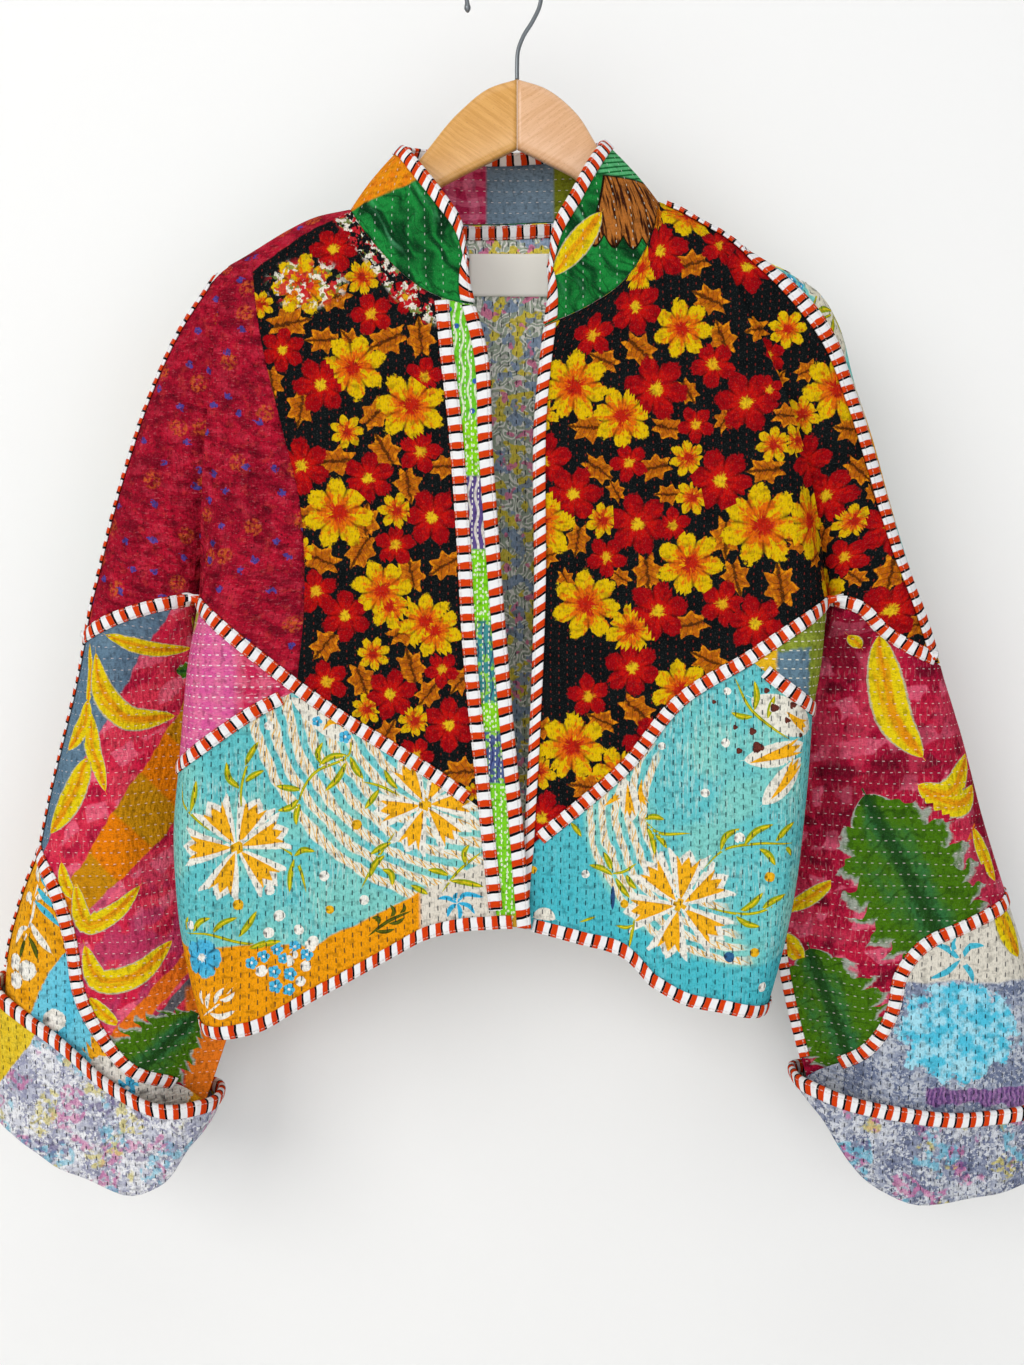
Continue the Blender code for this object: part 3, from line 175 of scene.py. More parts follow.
# Lines in the front plane, x and z of each point in turn, from the line's top or outer end
LINES = {
    "outline_left_upper": [-226, -246, -251, -283, -276, -336, -300, -406, -320, -480, -331, -522],
    "outline_left_forearm": [-331, -522, -352, -602, -364, -648, -373, -688],
    "outline_left_end": [-373, -688, -391, -735, -402, -778, -406, -818],
    "shoulder_left_outer": [-226, -246, -219, -239, -211, -233],
    "shoulder_left_middle": [-211, -233, -202, -228, -192, -222],
    "shoulder_left_inner": [-192, -222, -169, -208, -146, -197, -119, -191],
    "fold_left": [-211, -233, -216, -291, -225, -360, -233, -429, -240, -490],
    "sleeve_inner_left": [-240, -490, -246, -510, -248, -540, -243, -600, -240, -670, -233, -749,
        -224, -835, -235, -872, -246, -903],
    "side_left_upper": [-240, -490, -246, -540, -250, -580, -254, -622],
    "side_left_lower": [-254, -622, -259, -672, -257, -728, -247, -792, -238, -826],
    "raw_seam_left": [-192, -222, -181, -301, -166, -364, -154, -416, -151, -491, -157, -557],
    "neck_left": [-119, -191, -108, -210, -93, -229, -78, -245, -61, -258, -47, -265],
    "neck_left_placket": [-47, -265, -36, -268, -23, -270],
    "chest_left": [-119, -191, -116, -300, -108, -450, -95, -598],
    "placket_seam_upper": [-47, -265, -42, -313, -37, -357, -31, -439, -26, -529, -14, -652],
    "placket_seam_lower": [-14, -652, -10, -690, -5, -740],
    "front_edge_left_upper": [-23, -270, -15, -300, -10, -379, -2, -491, 7, -600, 12, -652],
    "front_edge_left_lower": [12, -652, 15, -690, 19, -741],
    "placket_break": [-14, -652, 12, -652],
    "diagonal_left_outer": [-240, -490, -203, -520, -157, -557],
    "diagonal_left_middle": [-157, -557, -126, -579, -95, -598],
    "diagonal_left_inner": [-95, -598, -49, -627, -14, -652],
    "second_diagonal_left": [-254, -622, -234, -607, -211, -590, -188, -575, -160, -561],
    "triangle_tip_left": [-157, -557, -160, -561],
    "skirt_left_outer": [-160, -561, -156, -680, -150, -799],
    "skirt_left_inner": [-95, -598, -92, -680, -88, -765],
    "hem_left_outer": [-238, -826, -214, -824, -190, -820, -150, -799],
    "hem_left_middle": [-150, -799, -120, -783, -88, -765],
    "hem_left_inner": [-88, -765, -60, -750, -35, -743, -5, -740],
    "hem_left_placket": [-5, -740, 7, -740, 19, -741],
    "elbow_left": [-331, -522, -313, -512, -295, -504, -272, -497, -240, -490],
    "curve_left": [-373, -688, -352, -717, -341, -757, -334, -805, -318, -837, -295, -865, -268, -882,
        -246, -903],
    "sleeve_tip_left": [-246, -903, -247, -907],
    "sleeve_end_left": [-406, -818, -350, -852, -312, -888, -275, -907, -247, -907],
    "cuff_top_left": [-405, -797, -349, -836, -310, -872, -271, -893, -240, -892],
    "cuff_fold_left": [-408, -905, -380, -924, -355, -941, -331, -951, -300, -965, -275, -958, -250, -921],
    "outline_right_upper": [189.5, -225.5, 222, -240, 244, -254, 260, -280, 272, -322, 286, -362,
        301, -413, 316, -460, 347, -542],
    "arm_binding_right": [188, -227, 222, -257, 250, -291, 271, -340, 284, -380, 294, -413, 309, -460,
        342, -540],
    "wrap_top_right": [189.5, -225.5, 188, -227],
    "wrap_end_right": [347, -542, 342, -540],
    "outline_right_forearm": [348, -545, 367, -603, 385, -667, 405, -728],
    "outline_right_end": [405, -728, 422, -781, 433, -840, 438, -893],
    "shoulder_right_outer": [188, -227, 170, -212, 150, -200],
    "shoulder_right_back": [189.5, -225.5, 171, -211, 150, -200],
    "shoulder_right_inner": [150, -200, 135, -191, 119, -185],
    "fold_right": [150, -200, 174, -254, 195, -299, 221, -360, 242, -429, 254, -490],
    "sleeve_inner_right": [254, -490, 256, -508, 251, -528, 240, -556, 234, -600, 228, -676, 223, -774,
        235, -835, 248, -882],
    "side_right_upper": [254, -490, 248, -534, 240, -577],
    "side_right_lower": [240, -577, 236, -648, 227, -728, 215, -785, 207, -812],
    "neck_right": [119, -185, 113, -210, 103, -234, 88, -254, 65, -270, 31, -286],
    "chest_right": [119, -185, 142, -330, 170, -450, 185, -535],
    "front_edge_right_upper": [31, -286, 25, -342, 24, -491, 20, -605, 16, -683],
    "front_edge_right_lower": [16, -683, 12, -710, 9, -742],
    "diagonal_right_outer": [254, -490, 220, -512, 185, -535],
    "diagonal_right_inner": [185, -535, 134, -567, 93, -617, 58, -648, 16, -683],
    "second_diagonal_right": [240, -577, 212, -557, 189, -539],
    "triangle_tip_right": [185, -535, 189, -539],
    "skirt_right": [189, -539, 150, -680, 113, -786],
    "hem_right_outer": [207, -812, 168, -804, 137, -799, 113, -786],
    "hem_right_inner": [113, -786, 90, -763, 59, -754, 9, -742],
    "elbow_right": [342, -540, 313, -527, 293, -514, 274, -497, 254, -490],
    "elbow_right_back": [347, -542, 313, -524, 293, -512, 274, -497, 254, -490],
    "curve_right": [405, -728, 361, -747, 330, -763, 314, -783, 307, -815, 288, -851, 248, -882],
    "sleeve_tip_right": [248, -882, 248, -886],
    "sleeve_end_right": [438, -893, 400, -903, 359, -908, 312, -905, 272, -897, 248, -886],
    "cuff_top_right": [437, -891, 400, -895, 359, -898, 312, -893, 272, -885, 243, -874],
    "cuff_fold_right": [430, -955, 400, -964, 366, -969, 330, -973, 283, -948, 265, -923, 250, -893],
    "neck_back": [-119, -191, -80, -193, 0, -194, 80, -189, 119, -185],
    "back_seam_left_outer": [-240, -490, -200, -500, -155, -508],
    "back_seam_left_inner": [-155, -508, -130, -511, -100, -513],
    "back_seam_middle": [-100, -513, 0, -517, 115, -511],
    "back_seam_right": [254, -490, 180, -502, 115, -511],
    "back_fall_left_outer": [-192, -222, -176, -360, -155, -508],
    "back_fall_left_inner": [-119, -191, -108, -350, -100, -513],
    "back_fall_right": [119, -185, 116, -350, 115, -511],
    "back_skirt_left_outer": [-155, -508, -152, -660, -150, -802],
    "back_skirt_left_inner": [-100, -513, -96, -660, -92, -777],
    "back_skirt_right": [115, -511, 112, -660, 108, -777],
    "back_hem_left_outer": [-238, -826, -195, -818, -150, -802],
    "back_hem_left_inner": [-150, -802, -120, -789, -92, -777],
    "back_hem_middle": [-92, -777, 0, -760, 108, -777],
    "back_hem_right": [207, -812, 160, -800, 108, -777],
}

# Top edge of the stand collar, columns x, y and z
COLLAR_TOP_LEFT = [(-27, -40, -238), (-32, -42, -212), (-47, -39, -189), (-62, -29, -168), (-74, -14, -150),
                   (-79, 2, -143)]
COLLAR_TOP_BACK = [(-79, 2, -143), (-73, 20, -139), (-46, 33, -138), (0, 37, -138), (48, 33, -136),
                   (72, 20, -136), (77, 2, -139)]
COLLAR_TOP_RIGHT = [(77, 2, -139), (73, -14, -148), (63, -29, -166), (51, -39, -190), (38, -42, -214),
                    (33, -40, -246)]

# How far the cloth stands from the middle, columns level, body front, body back, sleeve front, sleeve back
FULLNESS = [
    (-180, 22, 28, 22, 24),
    (-230, 30, 32, 25, 26),
    (-300, 38, 35, 28, 28),
    (-400, 42, 36, 30, 30),
    (-490, 43, 36, 32, 32),
    (-620, 45, 38, 34, 32),
    (-740, 47, 40, 34, 32),
    (-830, 48, 40, 34, 32),
    (-980, 48, 40, 30, 30),
]

# Largest soft folds of each face, columns from x, from z, to x, to z, half width, rise towards the viewer
FOLDS = {
    "front": [
        (-196, -250, -196, -560, 16, 5.0), (-300, -470, -236, -478, 14, -4.0),
        (-345, -560, -262, -530, 15, 4.5), (-350, -640, -262, -585, 13, -4.0),
        (-372, -740, -268, -680, 16, 4.0), (-268, -560, -262, -840, 15, -4.0),
        (-135, -600, -140, -780, 26, 4.0), (-210, -660, -205, -815, 18, -4.5),
        (-75, -330, -60, -640, 20, -3.0), (205, -300, 232, -500, 14, 5.0),
        (268, -410, 296, -540, 13, -4.0), (275, -540, 300, -800, 16, -4.5),
        (330, -560, 365, -800, 18, 4.5), (250, -560, 262, -840, 12, 3.5), (150, -600, 128, -790, 20, 4.5),
        (70, -660, 84, -760, 18, -4.0), (85, -340, 80, -600, 22, -3.0),
    ],
    "back": [
        (-180, -270, -170, -800, 24, 5.0), (0, -240, 5, -760, 30, -5.0), (175, -270, 170, -790, 22, 4.5),
        (-320, -520, -290, -840, 16, 4.0), (325, -540, 330, -840, 18, -4.0),
    ],
}

# Creases of the hanging cloth on each face, with the same columns
CREASES = {
    "front": [
        (-178, -300, -186, -540, 7, 1.6), (-150, -280, -140, -420, 9, -1.2),
        (-90, -300, -84, -520, 10, 1.3), (-60, -420, -40, -640, 8, -1.0), (-262, -330, -300, -470, 7, 1.8),
        (-285, -360, -316, -500, 6, -1.4), (-330, -560, -300, -700, 8, 2.0),
        (-300, -600, -290, -760, 8, -1.8), (-360, -700, -330, -840, 8, 1.8),
        (-275, -700, -262, -860, 7, 1.6), (-230, -640, -222, -800, 9, 1.4),
        (-185, -650, -170, -790, 10, -1.5), (-120, -640, -112, -770, 9, 1.3),
        (-70, -680, -60, -745, 8, -1.0), (60, -330, 52, -600, 10, 1.2), (110, -300, 128, -520, 9, -1.4),
        (150, -330, 185, -520, 8, 1.8), (212, -330, 246, -480, 6, -1.6), (235, -300, 262, -420, 7, 1.6),
        (280, -420, 318, -530, 6, 1.5), (205, -620, 196, -790, 9, 2.0), (165, -620, 160, -780, 8, -1.6),
        (105, -620, 110, -770, 9, 1.4), (50, -690, 52, -750, 8, -1.0), (300, -560, 330, -720, 8, 2.0),
        (262, -600, 268, -800, 7, 1.8), (345, -600, 382, -740, 9, -1.8), (310, -760, 335, -880, 8, 1.8),
        (380, -780, 392, -880, 8, -1.5),
    ],
    "back": [
        (-120, -260, -130, -500, 14, 2.2), (-60, -300, -50, -480, 12, -1.6), (70, -260, 85, -500, 13, 2.0),
        (120, -320, 128, -500, 10, -1.6), (-200, -300, -210, -470, 10, -1.5),
        (-100, -520, -96, -760, 14, 2.2), (-30, -540, -36, -740, 12, 1.6), (60, -540, 66, -750, 13, -2.0),
        (150, -540, 140, -780, 12, 2.0), (-290, -330, -320, -480, 8, 1.8),
        (-320, -560, -330, -820, 9, -1.8), (300, -380, 330, -500, 8, -1.6), (320, -580, 360, -840, 9, 2.0),
    ],
}

# Hanger arm, columns distance out, top, underside, forward bend
HANGER_LEFT = [(0.15, -94, -145.5, 0.0), (22, -101, -156, 0.0), (45, -119, -167, 0.0),
               (75, -154, -184, 0.0), (105, -185, -210, 0.0), (140, -204.5, -228, 0.5),
               (180, -217, -238, 1.0), (203, -230, -245, 1.5)]
HANGER_RIGHT = [(0.15, -94, -145.5, 0.0), (22, -101, -156, 0.0), (45, -119, -168, 0.0),
                (62, -144.5, -184, 0.0), (75, -163, -196, 0.0), (105, -194, -220, 0.0),
                (140, -208, -231, 0.5), (180, -231, -252, 1.0), (203, -243, -257, 1.5)]


def even(count):
    """Fractions from 0 to 1 at even steps."""
    return np.linspace(0.0, 1.0, count + 1)


def eased_start(count):
    """Fractions that are closest together at the start."""
    return 1.0 - np.cos(even(count) * math.pi / 2)


def eased_both(count):
    """Fractions that are closest together at both ends."""
    return (1.0 - np.cos(even(count) * math.pi)) / 2


def smooth_step(value):
    """From 0 at 0 to 1 at 1, level at both ends: three squares less two cubes."""
    value = np.clip(value, 0.0, 1.0)
    return value * value * (3.0 - 2.0 * value)


def dome(value):
    """A quarter circle's height: steep near 0 and level at 1."""
    value = np.clip(value, 0.0, 1.0)
    return np.sqrt(1.0 - (1.0 - value) ** 2)


def unit(vectors):
    """Vectors divided by their lengths."""
    length = np.linalg.norm(vectors, axis=-1, keepdims=True)
    return vectors / np.maximum(length, 1e-9)


def smooth_line(points, fractions):
    """Points at the given fractions of a smooth curve through the table's points."""
    points = np.array(points, dtype=float)
    steps = np.linalg.norm(np.diff(points, axis=0), axis=1)
    along = np.concatenate([[0.0], np.cumsum(steps)])
    slopes = np.gradient(points, along, axis=0)
    target = np.clip(fractions, 0.0, 1.0) * along[-1]
    row = np.clip(np.searchsorted(along, target, side="right") - 1, 0, len(steps) - 1)
    span = steps[row]
    t = ((target - along[row]) / span)[:, None]
    span = span[:, None]
    start = (1 + 2 * t) * (1 - t) ** 2 * points[row] + t * (1 - t) ** 2 * span * slopes[row]
    end = t * t * (3 - 2 * t) * points[row + 1] + t * t * (t - 1) * span * slopes[row + 1]
    return start + end


def line(name, fractions):
    """Points at the given fractions of a named line of the front plane."""
    return smooth_line(np.reshape(LINES[name], (-1, 2)), fractions)


def joined(names):
    """One dense polyline through several lines that follow each other."""
    return np.concatenate([line(name, even(STEPS_LINE)) for name in names])


OUTLINES = {
    "left": np.concatenate([
        joined(["shoulder_left_outer", "shoulder_left_middle", "shoulder_left_inner"])[::-1],
        joined(["outline_left_upper", "outline_left_forearm", "outline_left_end"]),
    ]),
    "right": np.concatenate([
        joined(["shoulder_right_back", "shoulder_right_inner"])[::-1],
        joined(["outline_right_upper", "outline_right_forearm", "outline_right_end"]),
    ]),
}
BODY_SIDES = {side: joined(["fold_" + side, "side_" + side + "_upper", "side_" + side + "_lower"])
              for side in SIDES}
SLEEVE_INNERS = {side: joined(["fold_" + side, "sleeve_inner_" + side]) for side in SIDES}


def distance_to(polyline, x, z):
    """Shortest distance in the front plane from each point to a polyline."""
    points = np.stack([x.ravel(), z.ravel()], axis=1)[:, None, :]
    start = polyline[None, :-1]
    run = polyline[None, 1:] - start
    length = np.maximum((run ** 2).sum(-1), 1e-9)
    t = np.clip(((points - start) * run).sum(-1) / length, 0.0, 1.0)
    gap = points - start - t[..., None] * run
    return np.sqrt((gap ** 2).sum(-1)).min(axis=1).reshape(x.shape)


def across_at(polyline, z):
    """The polyline's x at each level."""
    order = np.argsort(polyline[:, 1])
    return np.interp(z, polyline[order, 1], polyline[order, 0])


def fullness(z, part, face):
    """How far a face stands from the middle at each level."""
    table = np.array(FULLNESS, dtype=float)[::-1]
    column = 1 + 2 * ("body", "sleeve").index(part) + FACES.index(face)
    return np.interp(z, table[:, 0], table[:, column])


def soft_folds(x, z, table, face, bow=0.0):
    """Height of the folds in a table, each a soft ridge or trough that dies out at its ends."""
    total = np.zeros_like(x)
    for x0, z0, x1, z1, width, rise in table[face]:
        run_x, run_z = x1 - x0, z1 - z0
        length = math.hypot(run_x, run_z)
        t = np.clip(((x - x0) * run_x + (z - z0) * run_z) / length ** 2, 0.0, 1.0)
        off = ((x - x0) * run_z - (z - z0) * run_x) / length + bow * length * np.sin(t * math.pi)
        total += rise * np.sin(t * math.pi) ** 0.8 * np.exp(-(off / width) ** 2)
    return total


def middle_depth(x, z, side, part):
    """The level of Y at which front and back meet along the edges."""
    lower = smooth_step((UNDERARM_LEVEL - z) / MIDDLE_FADE)
    if part == "sleeve":
        return MIDDLE_Y + SLEEVE_BACKWARD * lower
    away = np.abs(x - across_at(BODY_SIDES[side], z))
    return MIDDLE_Y + BODY_FORWARD * lower * (1.0 - smooth_step(away / BODY_FORWARD_REACH))


def depth(x, z, side, part, face, nearest):
    """Y of the cloth's outer face at a point of the front plane."""
    sign = -1.0 if face == "front" else 1.0
    edge = BODY_SIDES[side] if part == "body" else SLEEVE_INNERS[side]
    away = np.abs(x - across_at(edge, z))
    drop = smooth_step((SHOULDER_LEVEL - z) / (SHOULDER_LEVEL - UNDERARM_LEVEL))
    lower = smooth_step((UNDERARM_LEVEL - z) / UNDERARM_FADE)
    soft = FOLD_SOFTNESS * (1.0 - drop) + 0.5 * (1.0 - lower)
    steep = dome(np.sqrt(away ** 2 + soft ** 2) / SIDE_ROUND)
    gentle = steep
    if part == "sleeve" and face == "front":
        gentle = smooth_step(away / SLEEVE_INNER_ROUND)
    if part == "body" and face == "back":
        gentle = smooth_step(away / BODY_BACK_ROUND)
    valley = drop * (steep * (1.0 - lower) + gentle * lower) + (1.0 - drop)
    rounded = dome(nearest / OUTLINE_ROUND)
    stand = fullness(z, part, face) * valley * rounded
    folds = soft_folds(x, z, FOLDS, face) * rounded * valley
    lap = 0.0
    if part == "body" and face == "front":
        low = smooth_step((LAP_LEVEL - z) / LAP_FADE)
        inward = x - LAP_START_LEFT if side == "left" else LAP_START_RIGHT - x
        lap = (-LAP_DEPTH if side == "left" else LAP_DEPTH) * low * smooth_step(inward / LAP_REACH)
    return middle_depth(x, z, side, part) + sign * (stand + folds) + lap


def puckers(x, z):
    """The quilt's soft waviness: four crossing waves whose crests wander."""
    first = np.sin(x / 7.9 + 1.9 * np.sin(z / 43.0)) * np.sin(z / 11.0 + 1.4 * np.sin(x / 37.0))
    second = np.sin((x + 0.6 * z) / 13.0 + 1.1 * np.sin(z / 29.0))
    third = np.sin((z - 0.4 * x) / 17.0 + 1.7 * np.sin(x / 51.0))
    return 0.28 * first + 0.3 * second + 0.34 * third


def lift(plan, side, part, face, edges=()):
    """Points of a patch of the front plane, lifted to the cloth's face, with flat silhouette edges."""
    x = plan[..., 0]
    z = plan[..., 1]
    nearest = np.minimum(distance_to(OUTLINES["left"], x, z), distance_to(OUTLINES["right"], x, z))
    fine = (soft_folds(x, z, CREASES, face, CREASE_BOW) + puckers(x, z)) * dome(nearest / OUTLINE_ROUND)
    y = depth(x, z, side, part, face, nearest) + (-fine if face == "front" else fine)
    points = np.stack([x, y, z], axis=-1)
    normals = unit(np.cross(np.gradient(points, axis=0), np.gradient(points, axis=1)))
    facing = -1.0 if face == "front" else 1.0
    normals *= np.sign(normals[..., 1:2].mean() * facing)
    centre = plan.reshape(-1, 2).mean(axis=0)
    picks = {"left": np.s_[:, 0], "right": np.s_[:, -1], "top": np.s_[0, :], "bottom": np.s_[-1, :]}
    for edge in edges:
        pick = picks[edge]
        run = np.gradient(plan[pick], axis=0)
        out = unit(np.stack([run[:, 1], -run[:, 0]], axis=-1))
        if ((plan[pick] - centre) * out).sum() < 0:
            out = -out
        middle = middle_depth(plan[pick][:, 0], plan[pick][:, 1], side, part)
        points[pick + (1,)] = middle + facing * EDGE_GAP
        tilt = np.zeros(len(out))
        lower = 0.9 * smooth_step((UNDERARM_LEVEL - plan[pick][:, 1]) / UNDERARM_FADE)
        if part == "body" and edge == "left":
            tilt = lower
        if part == "sleeve" and edge == "right":
            tilt = -lower
        normals[pick] = unit(np.stack([out[:, 0], tilt, out[:, 1]], axis=-1))
    return points, normals


def patch(left, right, top, bottom, down, across):
    """Plan grid filled between four lines, rows from top to bottom and columns from left to right."""
    a = (line(left, down) if isinstance(left, str) else left)[:, None]
    b = line(right, down)[:, None]
    c = line(top, across)[None]
    d = line(bottom, across)[None]
    s = across[None, :, None]
    t = down[:, None, None]
    corners = (1 - t) * ((1 - s) * c[:, :1] + s * c[:, -1:]) + t * ((1 - s) * d[:, :1] + s * d[:, -1:])
    return (1 - s) * a + s * b + (1 - t) * c + t * d - corners


def beside(*parts):
    """Patches joined side by side, the shared column kept once."""
    return tuple(np.concatenate([first] + [grid[:, 1:] for grid in others], axis=1)
                 for first, *others in zip(*parts))


def below(*parts):
    """Patches joined one under the other, the shared row kept once."""
    return tuple(np.concatenate([first] + [grid[1:] for grid in others]) for first, *others in zip(*parts))


def panel(side, face, rows, *strips):
    """Strips of a front or back filled between seam lines and joined, from the outer edge inwards.

    Each strip names its outer, inner, top and bottom lines, its columns and its silhouette edges.
    """
    made = []
    for outer, inner, top, bottom, columns, *edges in strips:
        part = "sleeve" if columns is sleeve_columns else "body"
        made.append(lift(patch(outer, inner, top, bottom, rows, columns), side, part, face, edges))
    return beside(*made)


def cloth_coordinates(points):
    """Millimetres along the cloth: plan x and z at the grid's middle, surface distance away from it."""
    rows, columns = points.shape[:2]
    step = np.diff(points, axis=1)
    run = np.sign(step[..., 0]) * np.hypot(step[..., 0], step[..., 1])
    u = np.concatenate([np.zeros((rows, 1)), np.cumsum(run, axis=1)], axis=1)
    middle = columns // 2
    u += points[:, middle:middle + 1, 0] - u[:, middle:middle + 1]
    step = np.diff(points, axis=0)
    run = np.sign(step[..., 2]) * np.hypot(step[..., 2], step[..., 1])
    v = np.concatenate([np.zeros((1, columns)), np.cumsum(run, axis=0)], axis=0)
    middle = rows // 2
    v += points[middle:middle + 1, :, 2] - v[middle:middle + 1]
    return np.stack([u, v], axis=-1)


def grid_quads(rows, columns, start=0, flip=False, closed=False):
    """Corner numbers of a grid's faces; a closed grid's last column joins its first."""
    row = np.arange(rows - 1)[:, None]
    column = np.arange(columns if closed else columns - 1)[None]
    beyond = (column + 1) % columns
    corners = [row * columns + column, (row + 1) * columns + column,
               (row + 1) * columns + beyond, row * columns + beyond]
    quads = np.stack([np.broadcast_to(corner, row.shape[:1] + column.shape[1:]) for corner in corners], -1)
    quads = quads.reshape(-1, 4) + start
    return quads[:, ::-1] if flip else quads


def add_mesh(name, points, quads, coordinates, inside_from=None):
    """A smooth-shaded mesh in metres, with its cloth coordinates as its UV map."""
    mesh = bpy.data.meshes.new(name)
    mesh.vertices.add(len(points))
    mesh.vertices.foreach_set("co", (points / 1000.0).astype(np.float32).ravel())
    mesh.loops.add(quads.size)
    mesh.loops.foreach_set("vertex_index", quads.astype(np.int32).ravel())
    mesh.polygons.add(len(quads))
    mesh.polygons.foreach_set("loop_start", np.arange(0, quads.size, 4, dtype=np.int32))
    mesh.update(calc_edges=True)
    mesh.polygons.foreach_set("use_smooth", np.ones(len(quads), dtype=bool))
    layer = mesh.uv_layers.new(name="cloth")
    layer.data.foreach_set("uv", coordinates[quads.ravel()].astype(np.float32).ravel())
    if inside_from is not None:
        slots = np.zeros(len(quads), dtype=np.int32)
        slots[inside_from:] = 1
        mesh.polygons.foreach_set("material_index", slots)
    made = bpy.data.objects.new(name, mesh)
    bpy.context.scene.collection.objects.link(made)
    return made


def wall(name, points, normals, thickness=CLOTH, closed=False, coordinates=None):
    """A closed sheet of even thickness whose outer face is the grid; faces from half on are its inside."""
    if coordinates is None:
        coordinates = cloth_coordinates(points)
    inner = points - normals * thickness
    rows, columns = points.shape[:2]
    count = rows * columns
    row, column = rows // 2, columns // 2
    across = points[row, column] - points[row, column - 1]
    down = points[row, column] - points[row - 1, column]
    flip = float(np.dot(np.cross(down, across), normals[row, column])) < 0
    quads = [grid_quads(rows, columns, 0, flip, closed), grid_quads(rows, columns, count, not flip, closed)]
    first, second = [], []
    ring = np.arange(columns)
    beyond = (ring + 1) % columns
    if not closed:
        ring, beyond = ring[:-1], beyond[:-1]
    base = (rows - 1) * columns
    first += [beyond, base + ring]
    second += [ring, base + beyond]
    if not closed:
        side = np.arange(rows - 1) * columns
        first += [side, side + 2 * columns - 1]
        second += [side + columns, side + columns - 1]
    first, second = np.concatenate(first), np.concatenate(second)
    rim = np.stack([first, first + count, second + count, second], axis=-1)
    quads.append(rim[:, ::-1] if flip else rim)
    stacked = np.concatenate([points.reshape(-1, 3), inner.reshape(-1, 3)])
    flat = coordinates.reshape(-1, 2)
    order = [quads[0], quads[2], quads[1]]
    inside_from = len(quads[0]) + len(quads[2])
    return add_mesh(name, stacked, np.concatenate(order), np.concatenate([flat, flat]), inside_from)


def walk_in(grid, reach):
    """Points at a given distance in from a grid's first row, measured down its columns."""
    result = np.empty_like(grid[0])
    for column in range(grid.shape[1]):
        path = grid[:WALK_ROWS, column]
        along = np.concatenate([[0.0], np.cumsum(np.linalg.norm(np.diff(path, axis=0), axis=1))])
        result[column] = [np.interp(reach, along, path[:, axis]) for axis in range(3)]
    return result


def surface_tree(pieces):
    """A search tree over the given pieces' faces."""
    points = []
    quads = []
    start = 0
    for grid, _ in pieces:
        points.append(grid.reshape(-1, 3))
        quads.append(grid_quads(grid.shape[0], grid.shape[1], start))
        start += grid.shape[0] * grid.shape[1]
    return BVHTree.FromPolygons(np.concatenate(points).tolist(), np.concatenate(quads).tolist())


def resample(path, others):
    """A path and the rows that go with it, at even steps along it."""
    along = np.concatenate([[0.0], np.cumsum(np.linalg.norm(np.diff(path, axis=0), axis=1))])
    target = np.linspace(0.0, along[-1], max(int(along[-1] / STRIP_STEP), 4) + 1)
    rows = [np.stack([np.interp(target, along, one[:, axis]) for axis in range(3)], axis=1)
            for one in [path] + others]
    return target, rows


def blurred(values, reach):
    """Values along a path evened out over a few neighbours."""
    padded = np.concatenate([np.repeat(values[:1], reach, 0), values, np.repeat(values[-1:], reach, 0)])
    return sum(padded[step:step + len(values)] for step in range(2 * reach + 1)) / (2 * reach + 1)


def cut_path(along, rows, trim):
    """The path's rows without a length at each end."""
    keep = (along >= trim[0]) & (along <= along[-1] - trim[1])
    return along[keep], [row[keep] for row in rows]


def seam_binding(name, path, normals, tree, trim=(0.0, 0.0), slack=0.0, width=BINDING_WIDTH):
    """A bias strip laid over a seam, gently crowned, with a small pucker at every stitch."""
    along, (path, normals) = resample(path, [normals])
    along, (path, normals) = cut_path(along, [path, normals], trim)
    normals = unit(blurred(normals, 4))
    path = blurred(path, 1)
    run = unit(np.gradient(path, axis=0))
    across = unit(np.cross(normals, run))
    offsets = np.linspace(-1.0, 1.0, STRIP_COLUMNS)
    height = np.zeros((len(path), len(offsets)))
    for step in range(len(path)):
        for place, offset in enumerate(offsets):
            start = path[step] + offset * width / 2 * across[step] + SEARCH_START * normals[step]
            hit = tree.ray_cast(start.tolist(), (-normals[step]).tolist(), SEARCH_LENGTH)
            height[step, place] = np.nan if hit[0] is None else SEARCH_START - hit[3]
    for step in range(len(path)):
        found = ~np.isnan(height[step])
        if not found.any():
            height[step] = 0.0
        else:
            height[step] = np.interp(offsets, offsets[found], height[step, found])
    raised = height.copy()
    for shift in (-2, -1, 1, 2):
        raised = np.maximum(raised, np.roll(height, shift, axis=0) if len(height) > 4 else height)
    raised = np.maximum(blurred(raised, 2), height)
    wave = 1.0 + 0.22 * np.sin(along / 1.9 + 1.3 * np.sin(along / 17.0))[:, None]
    crown = 0.75 * (1.0 - np.abs(offsets) ** 4)[None] * wave
    seat = SEAT + slack + BINDING_CLOTH
    aimed = path[:, None] + (offsets * width / 2)[None, :, None] * across[:, None]
    points = aimed + (raised + seat + crown)[..., None] * normals[:, None]
    facing = np.repeat(normals[:, None], len(offsets), axis=1)
    coordinates = np.stack(np.broadcast_arrays(along[:, None], offsets[None] * width / 2), axis=-1)
    return wall(name, points, facing, BINDING_CLOTH, coordinates=coordinates)


def edge_binding(name, parts, trim=(0.0, 0.0), closed=False):
    """A folded strip round a free edge: over the face, round the edge and back along the inside."""
    rails = [follow(*parts, reach=RAIL_REACH * share)[0] for share in RAIL_SHARES]
    facing_rails = [follow(*parts, row=row)[1] for row in RAIL_NORMAL_ROWS]
    return folded_binding(name, *follow(*parts), rails, facing_rails, trim, closed)


